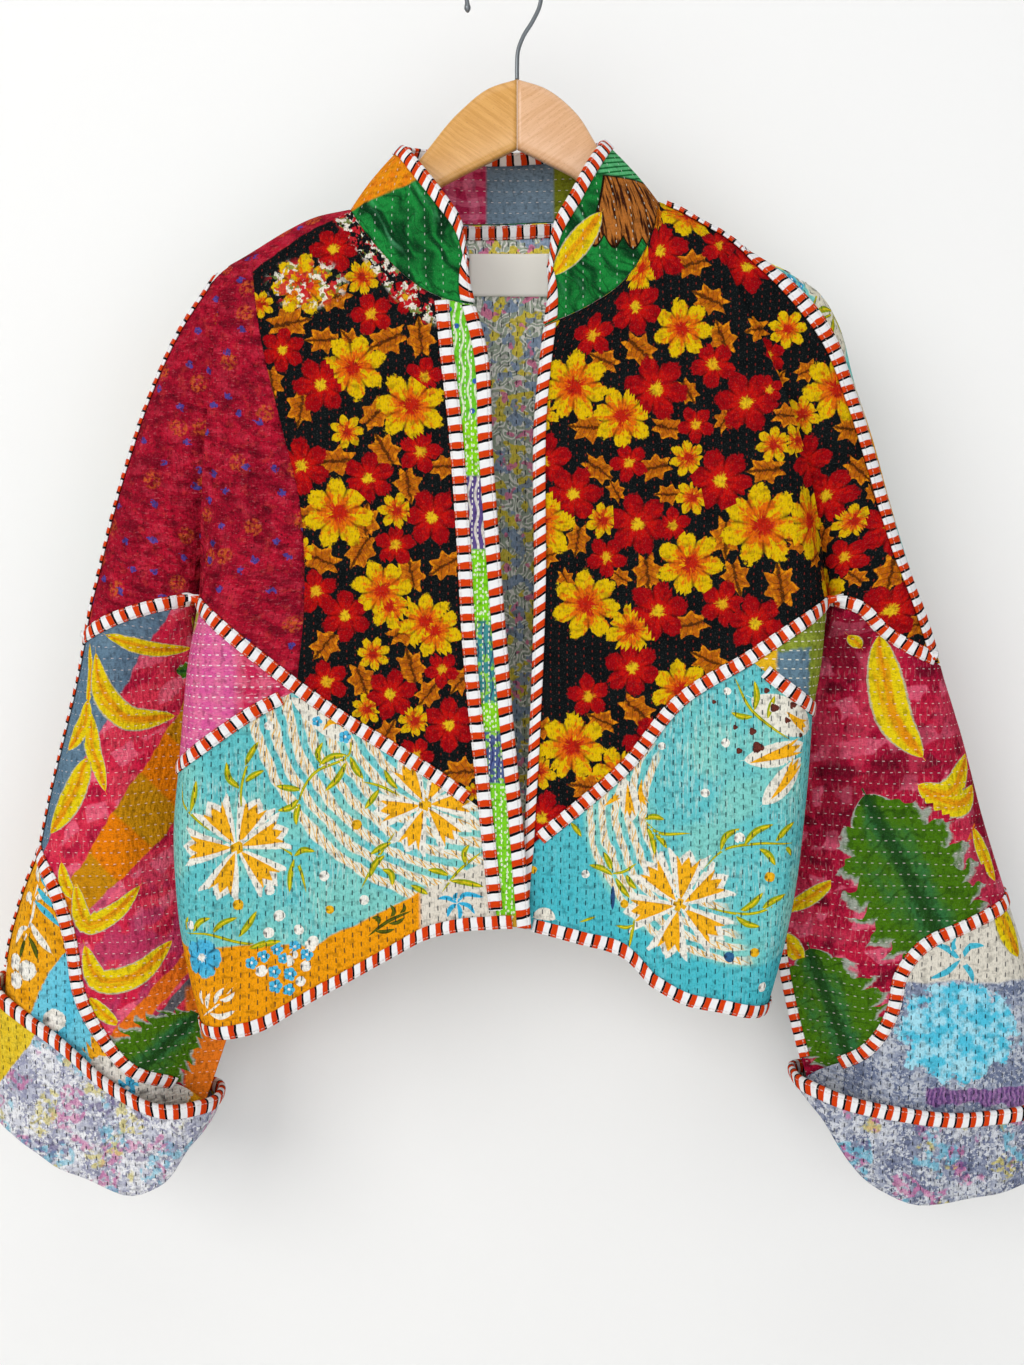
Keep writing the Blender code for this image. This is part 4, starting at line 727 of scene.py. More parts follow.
def folded_binding(name, edge, facing, rails, facing_rails, trim, closed=False):
    """A folded strip from its edge, the rails along the cloth's face and the normals that go with them."""
    along, rows = resample(edge, [facing] + rails + facing_rails)
    along, rows = cut_path(along, rows, trim)
    edge, facing = rows[0], unit(rows[1])
    rails = rows[2:2 + len(rails)]
    facing_rails = [unit(blurred(one, 2)) for one in rows[2 + len(rails):]]
    out = unit(blurred(unit(edge - rails[3]), 3))
    level = SEAT + FOLD_SLACK + BINDING_CLOTH
    wave = (1.0 + 0.25 * np.sin(along / 1.9 + 1.1 * np.sin(along / 19.0)))[:, None]
    grid = []
    for rail, normal, puff in zip(rails, facing_rails, RAIL_PUFFS):
        grid.append(rail + (level + puff * wave) * normal)
    middle = edge - CLOTH / 2 * facing
    radius = CLOTH / 2 + level
    for turn in (70, 40, 0, -40, -70):
        angle = math.radians(turn)
        beyond = (level + ROUND_EXTRA) * math.cos(angle)
        grid.append(middle + radius * math.sin(angle) * facing + beyond * out)
    for rail, normal, puff in zip(rails[::-1], facing_rails[::-1], RAIL_PUFFS[::-1]):
        grid.append(rail - (CLOTH + level + INSIDE_PUFF * puff * wave) * normal)
    grid = np.stack(grid)
    if closed:
        grid = grid[:, :-1]
        along = along[:-1]
    facing = grid_normals(grid, middle[:grid.shape[1]])
    step = np.linalg.norm(np.diff(grid, axis=0), axis=2).mean(axis=1)
    across = np.concatenate([[0.0], np.cumsum(step)]) - step.sum() / 2
    coordinates = np.stack(np.broadcast_arrays(along[None], across[:, None]), axis=-1)
    return wall(name, grid, facing, FOLDED_CLOTH, closed, coordinates)


def grid_normals(points, centre):
    """Unit normals of a grid that face away from a centre, one point or one for each column."""
    normals = unit(np.cross(np.gradient(points, axis=0), np.gradient(points, axis=1)))
    if (normals * (points - np.array(centre))).sum() < 0:
        normals = -normals
    return normals


def turned(piece, edge):
    """A piece's grid and normals with the named edge as the first row, running left to right or down."""
    points, normals = piece
    if edge == "top":
        return points, normals
    if edge == "bottom":
        return points[::-1], normals[::-1]
    if edge == "left":
        return points.transpose(1, 0, 2), normals.transpose(1, 0, 2)
    return points[:, ::-1].transpose(1, 0, 2), normals[:, ::-1].transpose(1, 0, 2)


def part_of(piece, start, stop=None):
    """Some of a piece's columns."""
    return piece[0][:, start:stop], piece[1][:, start:stop]


def backwards(piece):
    """A piece with its columns in the other order."""
    return piece[0][:, ::-1], piece[1][:, ::-1]


def follow(*pieces, reach=0.0, row=0):
    """The path along turned pieces that follow each other, at a reach in from their first rows."""
    starts = [0] + [1] * (len(pieces) - 1)
    points = [(walk_in(grid, reach) if reach else grid[0])[start:]
              for (grid, _), start in zip(pieces, starts)]
    normals = [facing[row][start:] for (_, facing), start in zip(pieces, starts)]
    return np.concatenate(points), np.concatenate(normals)


# Grid fractions that pieces on the same seam share
upper_rows = even(ROWS_UPPER) ** UPPER_EASE
triangle_rows = even(ROWS_TRIANGLE)
lower_rows = even(ROWS_LOWER)
forearm_rows = even(ROWS_FOREARM)
end_rows = even(ROWS_SLEEVE_END)
sleeve_columns = eased_both(COLUMNS_SLEEVE)
side_columns = eased_start(COLUMNS_SIDE)
shoulder_columns = even(COLUMNS_SHOULDER)
chest_columns = even(COLUMNS_CHEST)
right_columns = even(COLUMNS_FRONT_RIGHT)
neck_columns = even(COLUMNS_NECK)
placket_columns = even(COLUMNS_PLACKET)
skirt_rows = even(ROWS_TRIANGLE + ROWS_LOWER)

# Left front, strips from the outer edge towards the centre
red_left = panel(
    "left", "front", upper_rows,
    ("outline_left_upper", "fold_left", "shoulder_left_outer", "elbow_left", sleeve_columns, "left", "top"),
    ("fold_left", "raw_seam_left", "shoulder_left_middle", "diagonal_left_outer", side_columns, "top"))
floral_left = panel(
    "left", "front", upper_rows,
    ("raw_seam_left", "chest_left", "shoulder_left_inner", "diagonal_left_middle", shoulder_columns, "top"),
    ("chest_left", "placket_seam_upper", "neck_left", "diagonal_left_inner", chest_columns))
placket = below(
    panel("left", "front", upper_rows, ("placket_seam_upper", "front_edge_left_upper",
                                        "neck_left_placket", "placket_break", placket_columns)),
    panel("left", "front", lower_rows, ("placket_seam_lower", "front_edge_left_lower",
                                        "placket_break", "hem_left_placket", placket_columns)))
triangle_left = panel(
    "left", "front", triangle_rows,
    ("side_left_upper", "triangle_tip_left", "diagonal_left_outer", "second_diagonal_left", side_columns,
     "left"))
skirt_left = panel(
    "left", "front", lower_rows,
    ("side_left_lower", "skirt_left_outer", "second_diagonal_left", "hem_left_outer", side_columns, "left"),
    ("skirt_left_outer", "skirt_left_inner", "diagonal_left_middle", "hem_left_middle", shoulder_columns),
    ("skirt_left_inner", "placket_seam_lower", "diagonal_left_inner", "hem_left_inner", chest_columns))

# Right front, strips from the outer edge towards the centre
floral_right = panel(
    "right", "front", upper_rows,
    ("arm_binding_right", "fold_right", "shoulder_right_outer", "elbow_right", sleeve_columns, "top"),
    ("fold_right", "chest_right", "shoulder_right_inner", "diagonal_right_outer", side_columns, "top"),
    ("chest_right", "front_edge_right_upper", "neck_right", "diagonal_right_inner", right_columns))
triangle_right = panel(
    "right", "front", triangle_rows,
    ("side_right_upper", "triangle_tip_right", "diagonal_right_outer", "second_diagonal_right",
     side_columns, "left"))
skirt_right = panel(
    "right", "front", lower_rows,
    ("side_right_lower", "skirt_right", "second_diagonal_right", "hem_right_outer", side_columns, "left"),
    ("skirt_right", "front_edge_right_lower", "diagonal_right_inner", "hem_right_inner", right_columns))

# Sleeves below the elbow binding, front and back
sleeve = {}
for side in SIDES:
    for face in FACES:
        elbow = "elbow_" + side + ("_back" if side == "right" and face == "back" else "")
        sleeve[side, face, "forearm"] = panel(
            side, face, forearm_rows,
            ("outline_" + side + "_forearm", "sleeve_inner_" + side, elbow, "curve_" + side,
             sleeve_columns, "left", "right"))
        sleeve[side, face, "end"] = panel(
            side, face, end_rows,
            ("outline_" + side + "_end", "sleeve_tip_" + side, "curve_" + side, "sleeve_end_" + side,
             sleeve_columns, "left", "right"))

# Back, from the left sleeve's outer edge across to the right sleeve's
back_left = panel(
    "left", "back", upper_rows,
    ("outline_left_upper", "fold_left", "shoulder_left_outer", "elbow_left", sleeve_columns, "left", "top"),
    ("fold_left", "back_fall_left_outer", "shoulder_left_middle", "back_seam_left_outer", side_columns,
     "top"),
    ("back_fall_left_outer", "back_fall_left_inner", "shoulder_left_inner", "back_seam_left_inner",
     shoulder_columns, "top"),
    ("back_fall_left_inner", "back_fall_right", "neck_back", "back_seam_middle", neck_columns))
back_right = panel(
    "right", "back", upper_rows,
    ("outline_right_upper", "fold_right", "shoulder_right_back", "elbow_right_back", sleeve_columns,
     "left", "top"),
    ("fold_right", "back_fall_right", "shoulder_right_inner", "back_seam_right", side_columns, "top"))
for left_array, right_array in zip(back_left, back_right):
    left_array[:, -1] = right_array[:, -1]
wrap_right = lift(patch("outline_right_upper", "arm_binding_right", "wrap_top_right", "wrap_end_right",
                        upper_rows, even(COLUMNS_WRAP)), "right", "sleeve", "front", ("top",))
back_upper = beside(back_left, backwards(back_right), wrap_right)
side_lines = {side: np.concatenate([line("side_" + side + "_upper", triangle_rows),
                                    line("side_" + side + "_lower", lower_rows)[1:]]) for side in SIDES}
back_skirt = beside(
    panel("left", "back", skirt_rows,
          (side_lines["left"], "back_skirt_left_outer", "back_seam_left_outer", "back_hem_left_outer",
           side_columns, "left"),
          ("back_skirt_left_outer", "back_skirt_left_inner", "back_seam_left_inner",
           "back_hem_left_inner", shoulder_columns),
          ("back_skirt_left_inner", "back_skirt_right", "back_seam_middle", "back_hem_middle",
           neck_columns)),
    backwards(panel("right", "back", skirt_rows,
                    (side_lines["right"], "back_skirt_right", "back_seam_right", "back_hem_right",
                     side_columns, "left"))))

# Stand collar, one grid from the left front round the back to the right front, split at the shoulders
neck_start = COLUMNS_SLEEVE + COLUMNS_SIDE + COLUMNS_SHOULDER
base_left = np.concatenate([floral_left[0][0, COLUMNS_SHOULDER:], placket[0][0, 1:]])[::-1]
base_back = back_upper[0][0, neck_start:neck_start + COLUMNS_NECK + 1]
base_right = floral_right[0][0, COLUMNS_SLEEVE + COLUMNS_SIDE:]
collar_base = np.concatenate([base_left, base_back[1:], base_right[1:]])
collar_top = np.concatenate([smooth_line(COLLAR_TOP_LEFT, even(len(base_left) - 1)),
                             smooth_line(COLLAR_TOP_BACK, even(COLUMNS_NECK))[1:],
                             smooth_line(COLLAR_TOP_RIGHT, even(len(base_right) - 1))[1:]])
collar_t = even(ROWS_COLLAR)[:, None, None]
collar_points = collar_top[None] * (1 - collar_t) + collar_base[None] * collar_t
outward = unit(collar_base * np.array([1.0, 1.0, 0.0]))
collar_points = collar_points + COLLAR_BOW * np.sin(collar_t * math.pi) * outward[None]
collar_points[-1] += unit(collar_points[-2] - collar_points[-1]) * COLLAR_GAP
collar_normals = grid_normals(collar_points, COLLAR_CENTRE)
left_end = len(base_left) - 1
right_start = left_end + COLUMNS_NECK


def bowed_ring(name, side, face):
    """Half of one of the cuff's rings, bowed out from the middle."""
    plan = line(name + "_" + side, sleeve_columns)
    bow = (1.0 - np.abs(2 * sleeve_columns - 1) ** 3) ** (1 / 3)
    middle = middle_depth(plan[:, 0], plan[:, 1], side, "sleeve")
    y = middle + (-1.0 if face == "front" else 1.0) * fullness(plan[:, 1], "sleeve", face) * bow
    return np.stack([plan[:, 0], y, plan[:, 1]], axis=1)


def whole_ring(front, back):
    """A closed ring from its two halves, both from the outer to the inner end."""
    ring = np.concatenate([front, back[-2:0:-1]])
    ring[0, 1] = (front[0, 1] + back[0, 1]) / 2
    ring[len(front) - 1, 1] = (front[-1, 1] + back[-1, 1]) / 2
    return ring


def build_cuff(side):
    """Grid of a turned-back cuff's inside face, from the sleeve's end down, round the fold and up."""
    base = whole_ring(*[sleeve[side, face, "end"][0][-1] for face in FACES])
    fold, top = [whole_ring(*[bowed_ring(name, side, face) for face in FACES])
                 for name in ("cuff_fold", "cuff_top")]
    both = fold + top
    run = np.roll(both, -1, axis=0) - np.roll(both, 1, axis=0)
    down = unit(fold - top)
    out = unit(np.cross(run, down))
    if (out * (fold - fold.mean(axis=0))).sum() < 0:
        out = -out
    # Rings down the sleeve's inside, round the fold and up the outside
    points = [base + 1.3 * down - CLOTH * out,
              (base + fold) / 2 - CLOTH * out,
              fold - 4 * down - CLOTH * out,
              fold + 1.5 * out,
              fold - 4 * down + CUFF_STAND * out,
              (fold + top) / 2 + (CUFF_STAND + 1.5) * out,
              top + (CUFF_STAND + 1.0) * out]
    normals = [-out, -out, unit(down - 2 * out), down, unit(down + 2 * out), out, out]
    return np.stack(points), np.stack(normals)


def smooth_rings(grid, count):
    """More rings between those of a grid, on smooth curves down its columns."""
    target = np.linspace(0.0, len(grid) - 1.0, count)
    row = np.minimum(target.astype(int), len(grid) - 2)
    t = (target - row)[:, None, None]
    slopes = np.gradient(grid, axis=0)
    start = (1 + 2 * t) * (1 - t) ** 2 * grid[row] + t * (1 - t) ** 2 * slopes[row]
    return start + t * t * (3 - 2 * t) * grid[row + 1] + t * t * (t - 1) * slopes[row + 1]


def cuff_relief(grid, normals):
    """The turned cuff's waviness, along its ring."""
    along = np.cumsum(np.linalg.norm(np.diff(grid[-1], axis=0, append=grid[-1][:1]), axis=1))[None]
    down = np.arange(len(grid))[:, None] * 2.2
    wave = 0.5 * np.sin(along / 5.3 + 1.5 * np.sin(down / 21.0)) + 0.5 * np.sin(along / 11.0 - down / 17.0)
    return grid + (0.45 * wave)[..., None] * normals


def tube(name, centres, ups, sides, radius_up, radius_side, power=1.0):
    """A closed bar of rounded sections; the section's corners sharpen as the power falls below 1."""
    angles = np.linspace(0.0, 2 * math.pi, TUBE_SIDES, endpoint=False)
    cosine, sine = np.cos(angles), np.sin(angles)
    up = (np.sign(sine) * np.abs(sine) ** power)[None, :, None] * ups[:, None] * radius_up[:, None, None]
    side = (np.sign(cosine) * np.abs(cosine) ** power)[None, :, None] * sides[:, None]
    grid = centres[:, None] + up + side * radius_side[:, None, None]
    first = [centres[:1, None] + (grid[:1] - centres[:1, None]) * share for share in (0.0, 0.6, 0.9)]
    last = [centres[-1:, None] + (grid[-1:] - centres[-1:, None]) * share for share in (0.9, 0.6, 0.0)]
    grid = np.concatenate(first + [grid] + last)
    rows, columns = grid.shape[:2]
    quads = grid_quads(rows, columns, 0, False, True)
    points = grid.reshape(-1, 3)
    corner = points[quads]
    volume = np.einsum("ij,ij->i", corner[:, 0], np.cross(corner[:, 1], corner[:, 2])).sum()
    if volume < 0:
        quads = quads[:, ::-1]
    along = np.repeat(np.arange(rows)[:, None] * 1.0, columns, axis=1)
    coordinates = np.stack([along, np.broadcast_to(angles * 10.0, along.shape)], -1).reshape(-1, 2)
    return add_mesh(name, points, quads, coordinates)


def hanger_arm(name, table, direction):
    """A flat wooden arm that leaves the shank to the left or right."""
    out, top, under, bend = smooth_line(table, even(STEPS_ARM)).T
    zero = np.zeros_like(out)
    centres = np.stack([SHANK_X + direction * out, bend, (top + under) / 2], axis=1)
    ups = np.stack([zero, zero, zero + 1.0], axis=1)
    sides = np.stack([zero, zero + 1.0, zero], axis=1)
    return tube(name, centres, ups, sides, (top - under) / 2, zero + HANGER_THICKNESS / 2, 0.5)


def hook_wire(name):
    """The wire from the shank round the hook to its tip; its rows are x, z and share of the thickness."""
    loop_radius = HOOK_RADIUS + HOOK_WIRE / 2
    path = [(SHANK_X, -93.7, 1.0), (SHANK_X, -84.0, 1.0), (10.8, -72.0, 1.0), (14.5, -62.0, 1.0),
            (22.0, -50.0, 1.0), (27.2, -39.0, 1.0)]
    for angle in np.linspace(0.0, math.pi, STEPS_HOOK_ARC):
        path.append((loop_radius * math.cos(angle), loop_radius * math.sin(angle) - HOOK_RADIUS, 1.0))
    path += [(-28.4, -34.0, 1.0), (-28.0, -38.0, 1.25), (-27.9, -40.0, 1.6), (-27.8, -42.0, 1.35),
             (-27.7, -43.6, 0.6)]
    x, z, share = smooth_line(path, even(STEPS_HOOK)).T
    zero = np.zeros_like(x)
    centres = np.stack([x, zero, z], axis=1)
    run = unit(np.gradient(centres, axis=0))
    ups = np.stack([-run[:, 2], zero, run[:, 0]], axis=1)
    sides = np.stack([zero, zero + 1.0, zero], axis=1)
    return tube(name, centres, ups, sides, share * HOOK_WIRE / 2, share * HOOK_WIRE / 2)


# Printed motifs, columns kind, lobes, depth of the notches, heart and outline, then the outer and inner
# colours and the heart's where it has its own. Kind 1 has round lobes, 2 pointed ones, 3 is a blade and
# 4 a petal with a notched tip.
STYLES = {
    "yellow_bloom": (1, 7, 0.36, 0.24, 0, "#d8b206", "#d8660c", "#b4200e"),
    "yellow_small": (1, 7, 0.38, 0.27, 0, "#d4ac08", "#d2600e", "#aa2010"),
    "red_bloom": (1, 6, 0.34, 0.19, 0, "#960710", "#ba120e", "#dcb41a"),
    "red_round": (1, 5, 0.4, 0.23, 0, "#9a0810", "#bc140e", "#d8a41a"),
    "brown_leaf": (2, 7, 0.36, 0, 0, "#e08a10", "#b05c0c", "#140a06"),
    "vine": (3, 0, 0, 0, 0, "#8fa01c", "#e6c61c"),
    "ochre_petal": (4, 0, 0, 0, 0, "#e8a112", "#f2b01c"),
    "white_petal": (3, 0, 0, 0, 0, "#ece6d8", "#f2eee2"),
    "halo_petal": (4, 0, 0, 0, 0, "#e6e2d4", "#ece8dc"),
    "cyan_petal": (3, 0, 0, 0, 0, "#4fb9cf", "#3fb0cc"),
    "blue_petal": (3, 0, 0, 0, 0, "#3fb4d8", "#2f9ccc", "#1f6f9c"),
    "olive_sprig": (3, 0, 0, 0, 0, "#4c5414", "#5c6418"),
    "navy_mark": (3, 0, 0, 0, 0, "#2c4f7c", "#2c4f7c"),
    "gold_petal": (3, 0, 0, 0, 1, "#e2c812", "#dd8a0e", "#c87a10"),
    "orange_petal": (3, 0, 0, 0, 0, "#d8701c", "#c86018"),
    "jagged_leaf": (3, 9, 0.32, 0, 1, "#44700f", "#2f6c3c", "#1a3a0c"),
    "white_band": (3, 0, 0, 0, 0, "#e6e2d4", "#e6e2d4"),
    "cyan_band": (3, 0, 0, 0, 0, "#6cc6dc", "#52bcd8"),
    "white_dot": (1, 1, 0, 0, 0, "#ece8dc", "#f2efe6"),
    "ochre_dot": (1, 1, 0, 0, 0, "#e0a818", "#eeb420"),
    "blue_dot": (1, 5, 0.2, 0.2, 0, "#52b8dc", "#3fa8d4", "#f0ece0"),
    "navy_dot": (1, 1, 0, 0, 0, "#2f5f8c", "#2f5f8c"),
    "brown_dot": (1, 3, 0.25, 0, 0, "#5c2c24", "#6a3228"),
    "cream_dot": (1, 3, 0.1, 0, 0, "#ddd8cc", "#e4e0d6"),
}

# Blades by print and style, columns half width, then x and z of the points along the spine, in
# millimetres of the front plane
BLADES = {
    "skirt_left": [
        ("vine", [(1.1, -199, -654, -199, -633, -193, -611, -188, -599),
         (2.6, -198, -634, -208, -626, -210, -613), (2.4, -197, -629, -189, -623, -182, -620),
         (2.4, -196, -616, -193, -609, -186, -598), (1.2, -220, -667, -238, -652, -246, -645, -248, -629),
         (2.6, -238, -651, -235, -640, -233, -627),
         (1.2, -158, -658, -153, -635, -145, -623, -117, -607, -117, -590),
         (2.6, -154, -635, -163, -634, -173, -632), (2.6, -141, -617, -131, -610, -119, -609),
         (2.6, -120, -614, -126, -626, -136, -636), (2.8, -117, -610, -113, -619, -107, -627),
         (2.2, -139, -616, -142, -608, -138, -599), (2.6, -156, -642, -161, -648, -172, -651),
         (2.4, -155, -645, -158, -654, -158, -662), (1.4, -171, -679, -160, -686, -155, -697, -151, -714),
         (2.4, -160, -686, -153, -681, -144, -682), (2.4, -160, -688, -163, -700, -164, -714),
         (1.2, -246, -745, -228, -744, -204, -752, -170, -754), (2.4, -238, -743, -231, -734, -224, -732),
         (2.4, -223, -744, -216, -737, -204, -733), (2.6, -203, -748, -196, -739, -189, -728),
         (2.2, -228, -746, -225, -754, -217, -760), (2.6, -195, -757, -183, -753, -170, -752),
         (2, -245, -743, -245, -737, -243, -732), (1.4, -109, -711, -96, -687, -83, -668),
         (2.6, -103, -703, -98, -692, -91, -686), (2.6, -93, -697, -87, -699, -85, -709),
         (2.4, -102, -685, -94, -680, -86, -676), (1.2, -47, -714, -34, -697, -16, -682),
         (2.4, -42, -701, -50, -698, -58, -697), (2.4, -41, -705, -29, -706, -15, -709),
         (2.4, -71, -709, -65, -712, -58, -716), (2.2, -29, -693, -30, -683, -26, -677),
         (1.2, -108, -629, -96, -632, -79, -640), (2.4, -95, -635, -100, -642, -106, -650),
         (2.4, -91, -620, -87, -628, -81, -635)]),
        ("ochre_petal", [(4, -138, -590, -131, -583, -121, -583),
         (3.4, -154, -566, -147, -567, -138, -572)]),
        ("olive_sprig", [(1.4, -104, -748, -89, -737, -71, -729), (1.6, -96, -740, -96, -734, -101, -734),
         (1.6, -87, -735, -84, -729, -87, -724), (1.6, -89, -738, -82, -738, -76, -734),
         (1.6, -99, -744, -92, -745, -84, -743), (1.4, -80, -732, -76, -727, -77, -723)]),
        ("blue_petal", [(1.8, -35, -722, -44, -718, -50, -719), (1.8, -35, -722, -31, -716, -15, -717),
         (1.8, -35, -722, -41, -727, -43, -733), (1.8, -35, -722, -33, -729, -34, -735),
         (1.8, -35, -722, -26, -724, -22, -730), (1.6, -35, -722, -37, -717, -35, -714)]),
        ("white_petal", [(0.8, -234, -810, -220, -800, -207, -786),
         (2, -228, -803, -228, -797, -225, -790), (2, -221, -798, -219, -792, -214, -786),
         (2.2, -226, -806, -217, -808, -206, -804), (1.8, -217, -795, -211, -795, -206, -790),
         (1.8, -232, -800, -235, -795, -233, -789)]),
    ],
    "skirt_left_under": [
        ("white_band", [(7, -161, -565, -147, -576, -131, -590, -117, -599)]),
    ],
    "skirt_right": [
        ("vine", [(1.3, 174, -549, 187, -574, 201, -586, 216, -596),
         (2.4, 189, -574, 191, -564, 189, -552), (2.4, 188, -579, 180, -579, 172, -576),
         (2.2, 199, -580, 201, -572, 204, -563), (1.2, 152, -695, 165, -682, 193, -675, 222, -675),
         (2.6, 165, -681, 168, -671, 179, -664), (2.6, 182, -677, 191, -666, 204, -660),
         (2.6, 194, -679, 200, -682, 206, -691), (2.6, 206, -673, 213, -665, 223, -659),
         (2.2, 214, -678, 218, -680, 221, -685), (1.2, 155, -725, 175, -729, 194, -727, 215, -715),
         (2.6, 179, -728, 188, -722, 197, -712), (2.6, 177, -731, 184, -736, 195, -738),
         (2.6, 196, -725, 203, -719, 216, -714), (2.4, 65, -694, 75, -697, 83, -702),
         (1.2, 81, -701, 91, -699, 101, -692), (2.4, 85, -704, 90, -712, 96, -719),
         (2.4, 76, -684, 80, -692, 82, -699), (2.4, 93, -701, 97, -708, 101, -712),
         (1.4, 106, -657, 115, -667, 142, -668), (2.4, 107, -658, 113, -656, 122, -658),
         (2.4, 109, -664, 113, -672, 115, -685), (2.2, 115, -669, 121, -675, 124, -680),
         (1.6, 86, -741, 95, -742, 99, -740), (1.4, 100, -735, 98, -747, 96, -758),
         (1.2, 58, -738, 64, -736, 70, -734), (2.2, 51, -661, 55, -666, 59, -672)]),
        ("ochre_petal", [(4.6, 94, -631, 95, -643, 96, -657), (3.4, 105, -627, 104, -639, 108, -648),
         (3, 76, -648, 83, -643, 88, -639), (6.4, 186, -614, 204, -608, 227, -600),
         (6, 202, -641, 212, -629, 225, -610), (5.4, 213, -575, 223, -583, 233, -587)]),
        ("navy_mark", [(1.8, 83, -710, 83, -719, 83, -729)]),
    ],
    "skirt_right_under": [
        ("white_band", [(9, 182, -612, 204, -608, 229, -599), (8.6, 196, -645, 210, -630, 227, -610),
         (14, 187, -565, 206, -575, 239, -589), (8, 90, -627, 95, -641, 97, -660),
         (5, 22, -735, 30, -732, 39, -736)]),
    ],
    "forearm_left": [
        ("gold_petal", [(7.3, -307, -517, -291, -523, -268, -528, -243, -528),
         (10.4, -317, -532, -313, -562, -296, -582, -257, -584),
         (3.9, -325, -525, -324, -553, -326, -575), (7, -323, -578, -321, -610, -311, -640),
         (8.3, -325, -569, -331, -590, -345, -609), (10.9, -326, -614, -338, -643, -362, -675),
         (8.1, -336, -713, -327, -747, -308, -738, -285, -717),
         (10.4, -330, -763, -319, -792, -293, -788, -262, -764),
         (5.2, -349, -697, -345, -713, -334, -727), (6, -327, -805, -319, -816, -305, -827),
         (2.9, -237, -501, -235, -510, -231, -518)]),
    ],
    "forearm_right": [
        ("gold_petal", [(15.6, 291, -518, 296, -550, 305, -585, 326, -613),
         (11.7, 323, -635, 345, -643, 364, -624, 374, -613),
         (11.7, 323, -636, 347, -649, 365, -649, 379, -638), (6.5, 217, -745, 236, -733, 260, -714),
         (9.1, 212, -763, 224, -772, 234, -785), (7.8, 372, -670, 382, -692, 392, -713),
         (5.7, 268, -514, 273, -520, 278, -527)]),
        ("orange_petal", [(3.6, 352, -692, 366, -681, 375, -667)]),
    ],
    "end_left": [
        ("white_petal", [(1.3, -383, -767, -372, -738, -370, -713, -367, -695),
         (3, -375, -731, -380, -724, -385, -727), (3.2, -372, -727, -361, -720, -353, -709),
         (3, -374, -745, -367, -756, -357, -769), (3, -377, -749, -385, -753, -390, -763),
         (2.6, -370, -713, -376, -704, -374, -695)]),
        ("cyan_petal", [(2.6, -371, -727, -359, -736, -349, -747),
         (2.6, -371, -717, -361, -724, -350, -733), (2.4, -370, -708, -362, -713, -353, -720)]),
        ("olive_sprig", [(2, -376, -756, -371, -763, -368, -774), (2, -379, -758, -382, -767, -384, -774)]),
    ],
    "end_left_under": [
        ("cyan_band", [(26, -332, -760, -345, -811, -354, -854, -318, -873)]),
    ],
    "end_right": [
        ("cyan_petal", [(2.4, 359, -774, 345, -763, 338, -762), (2.4, 359, -774, 368, -762, 378, -763),
         (2.4, 359, -774, 347, -785, 336, -789), (2.4, 359, -774, 368, -785, 370, -792),
         (2, 359, -774, 353, -760, 355, -756)]),
        ("gold_petal", [(11.7, 388, -731, 399, -749, 411, -774)]),
    ],
}

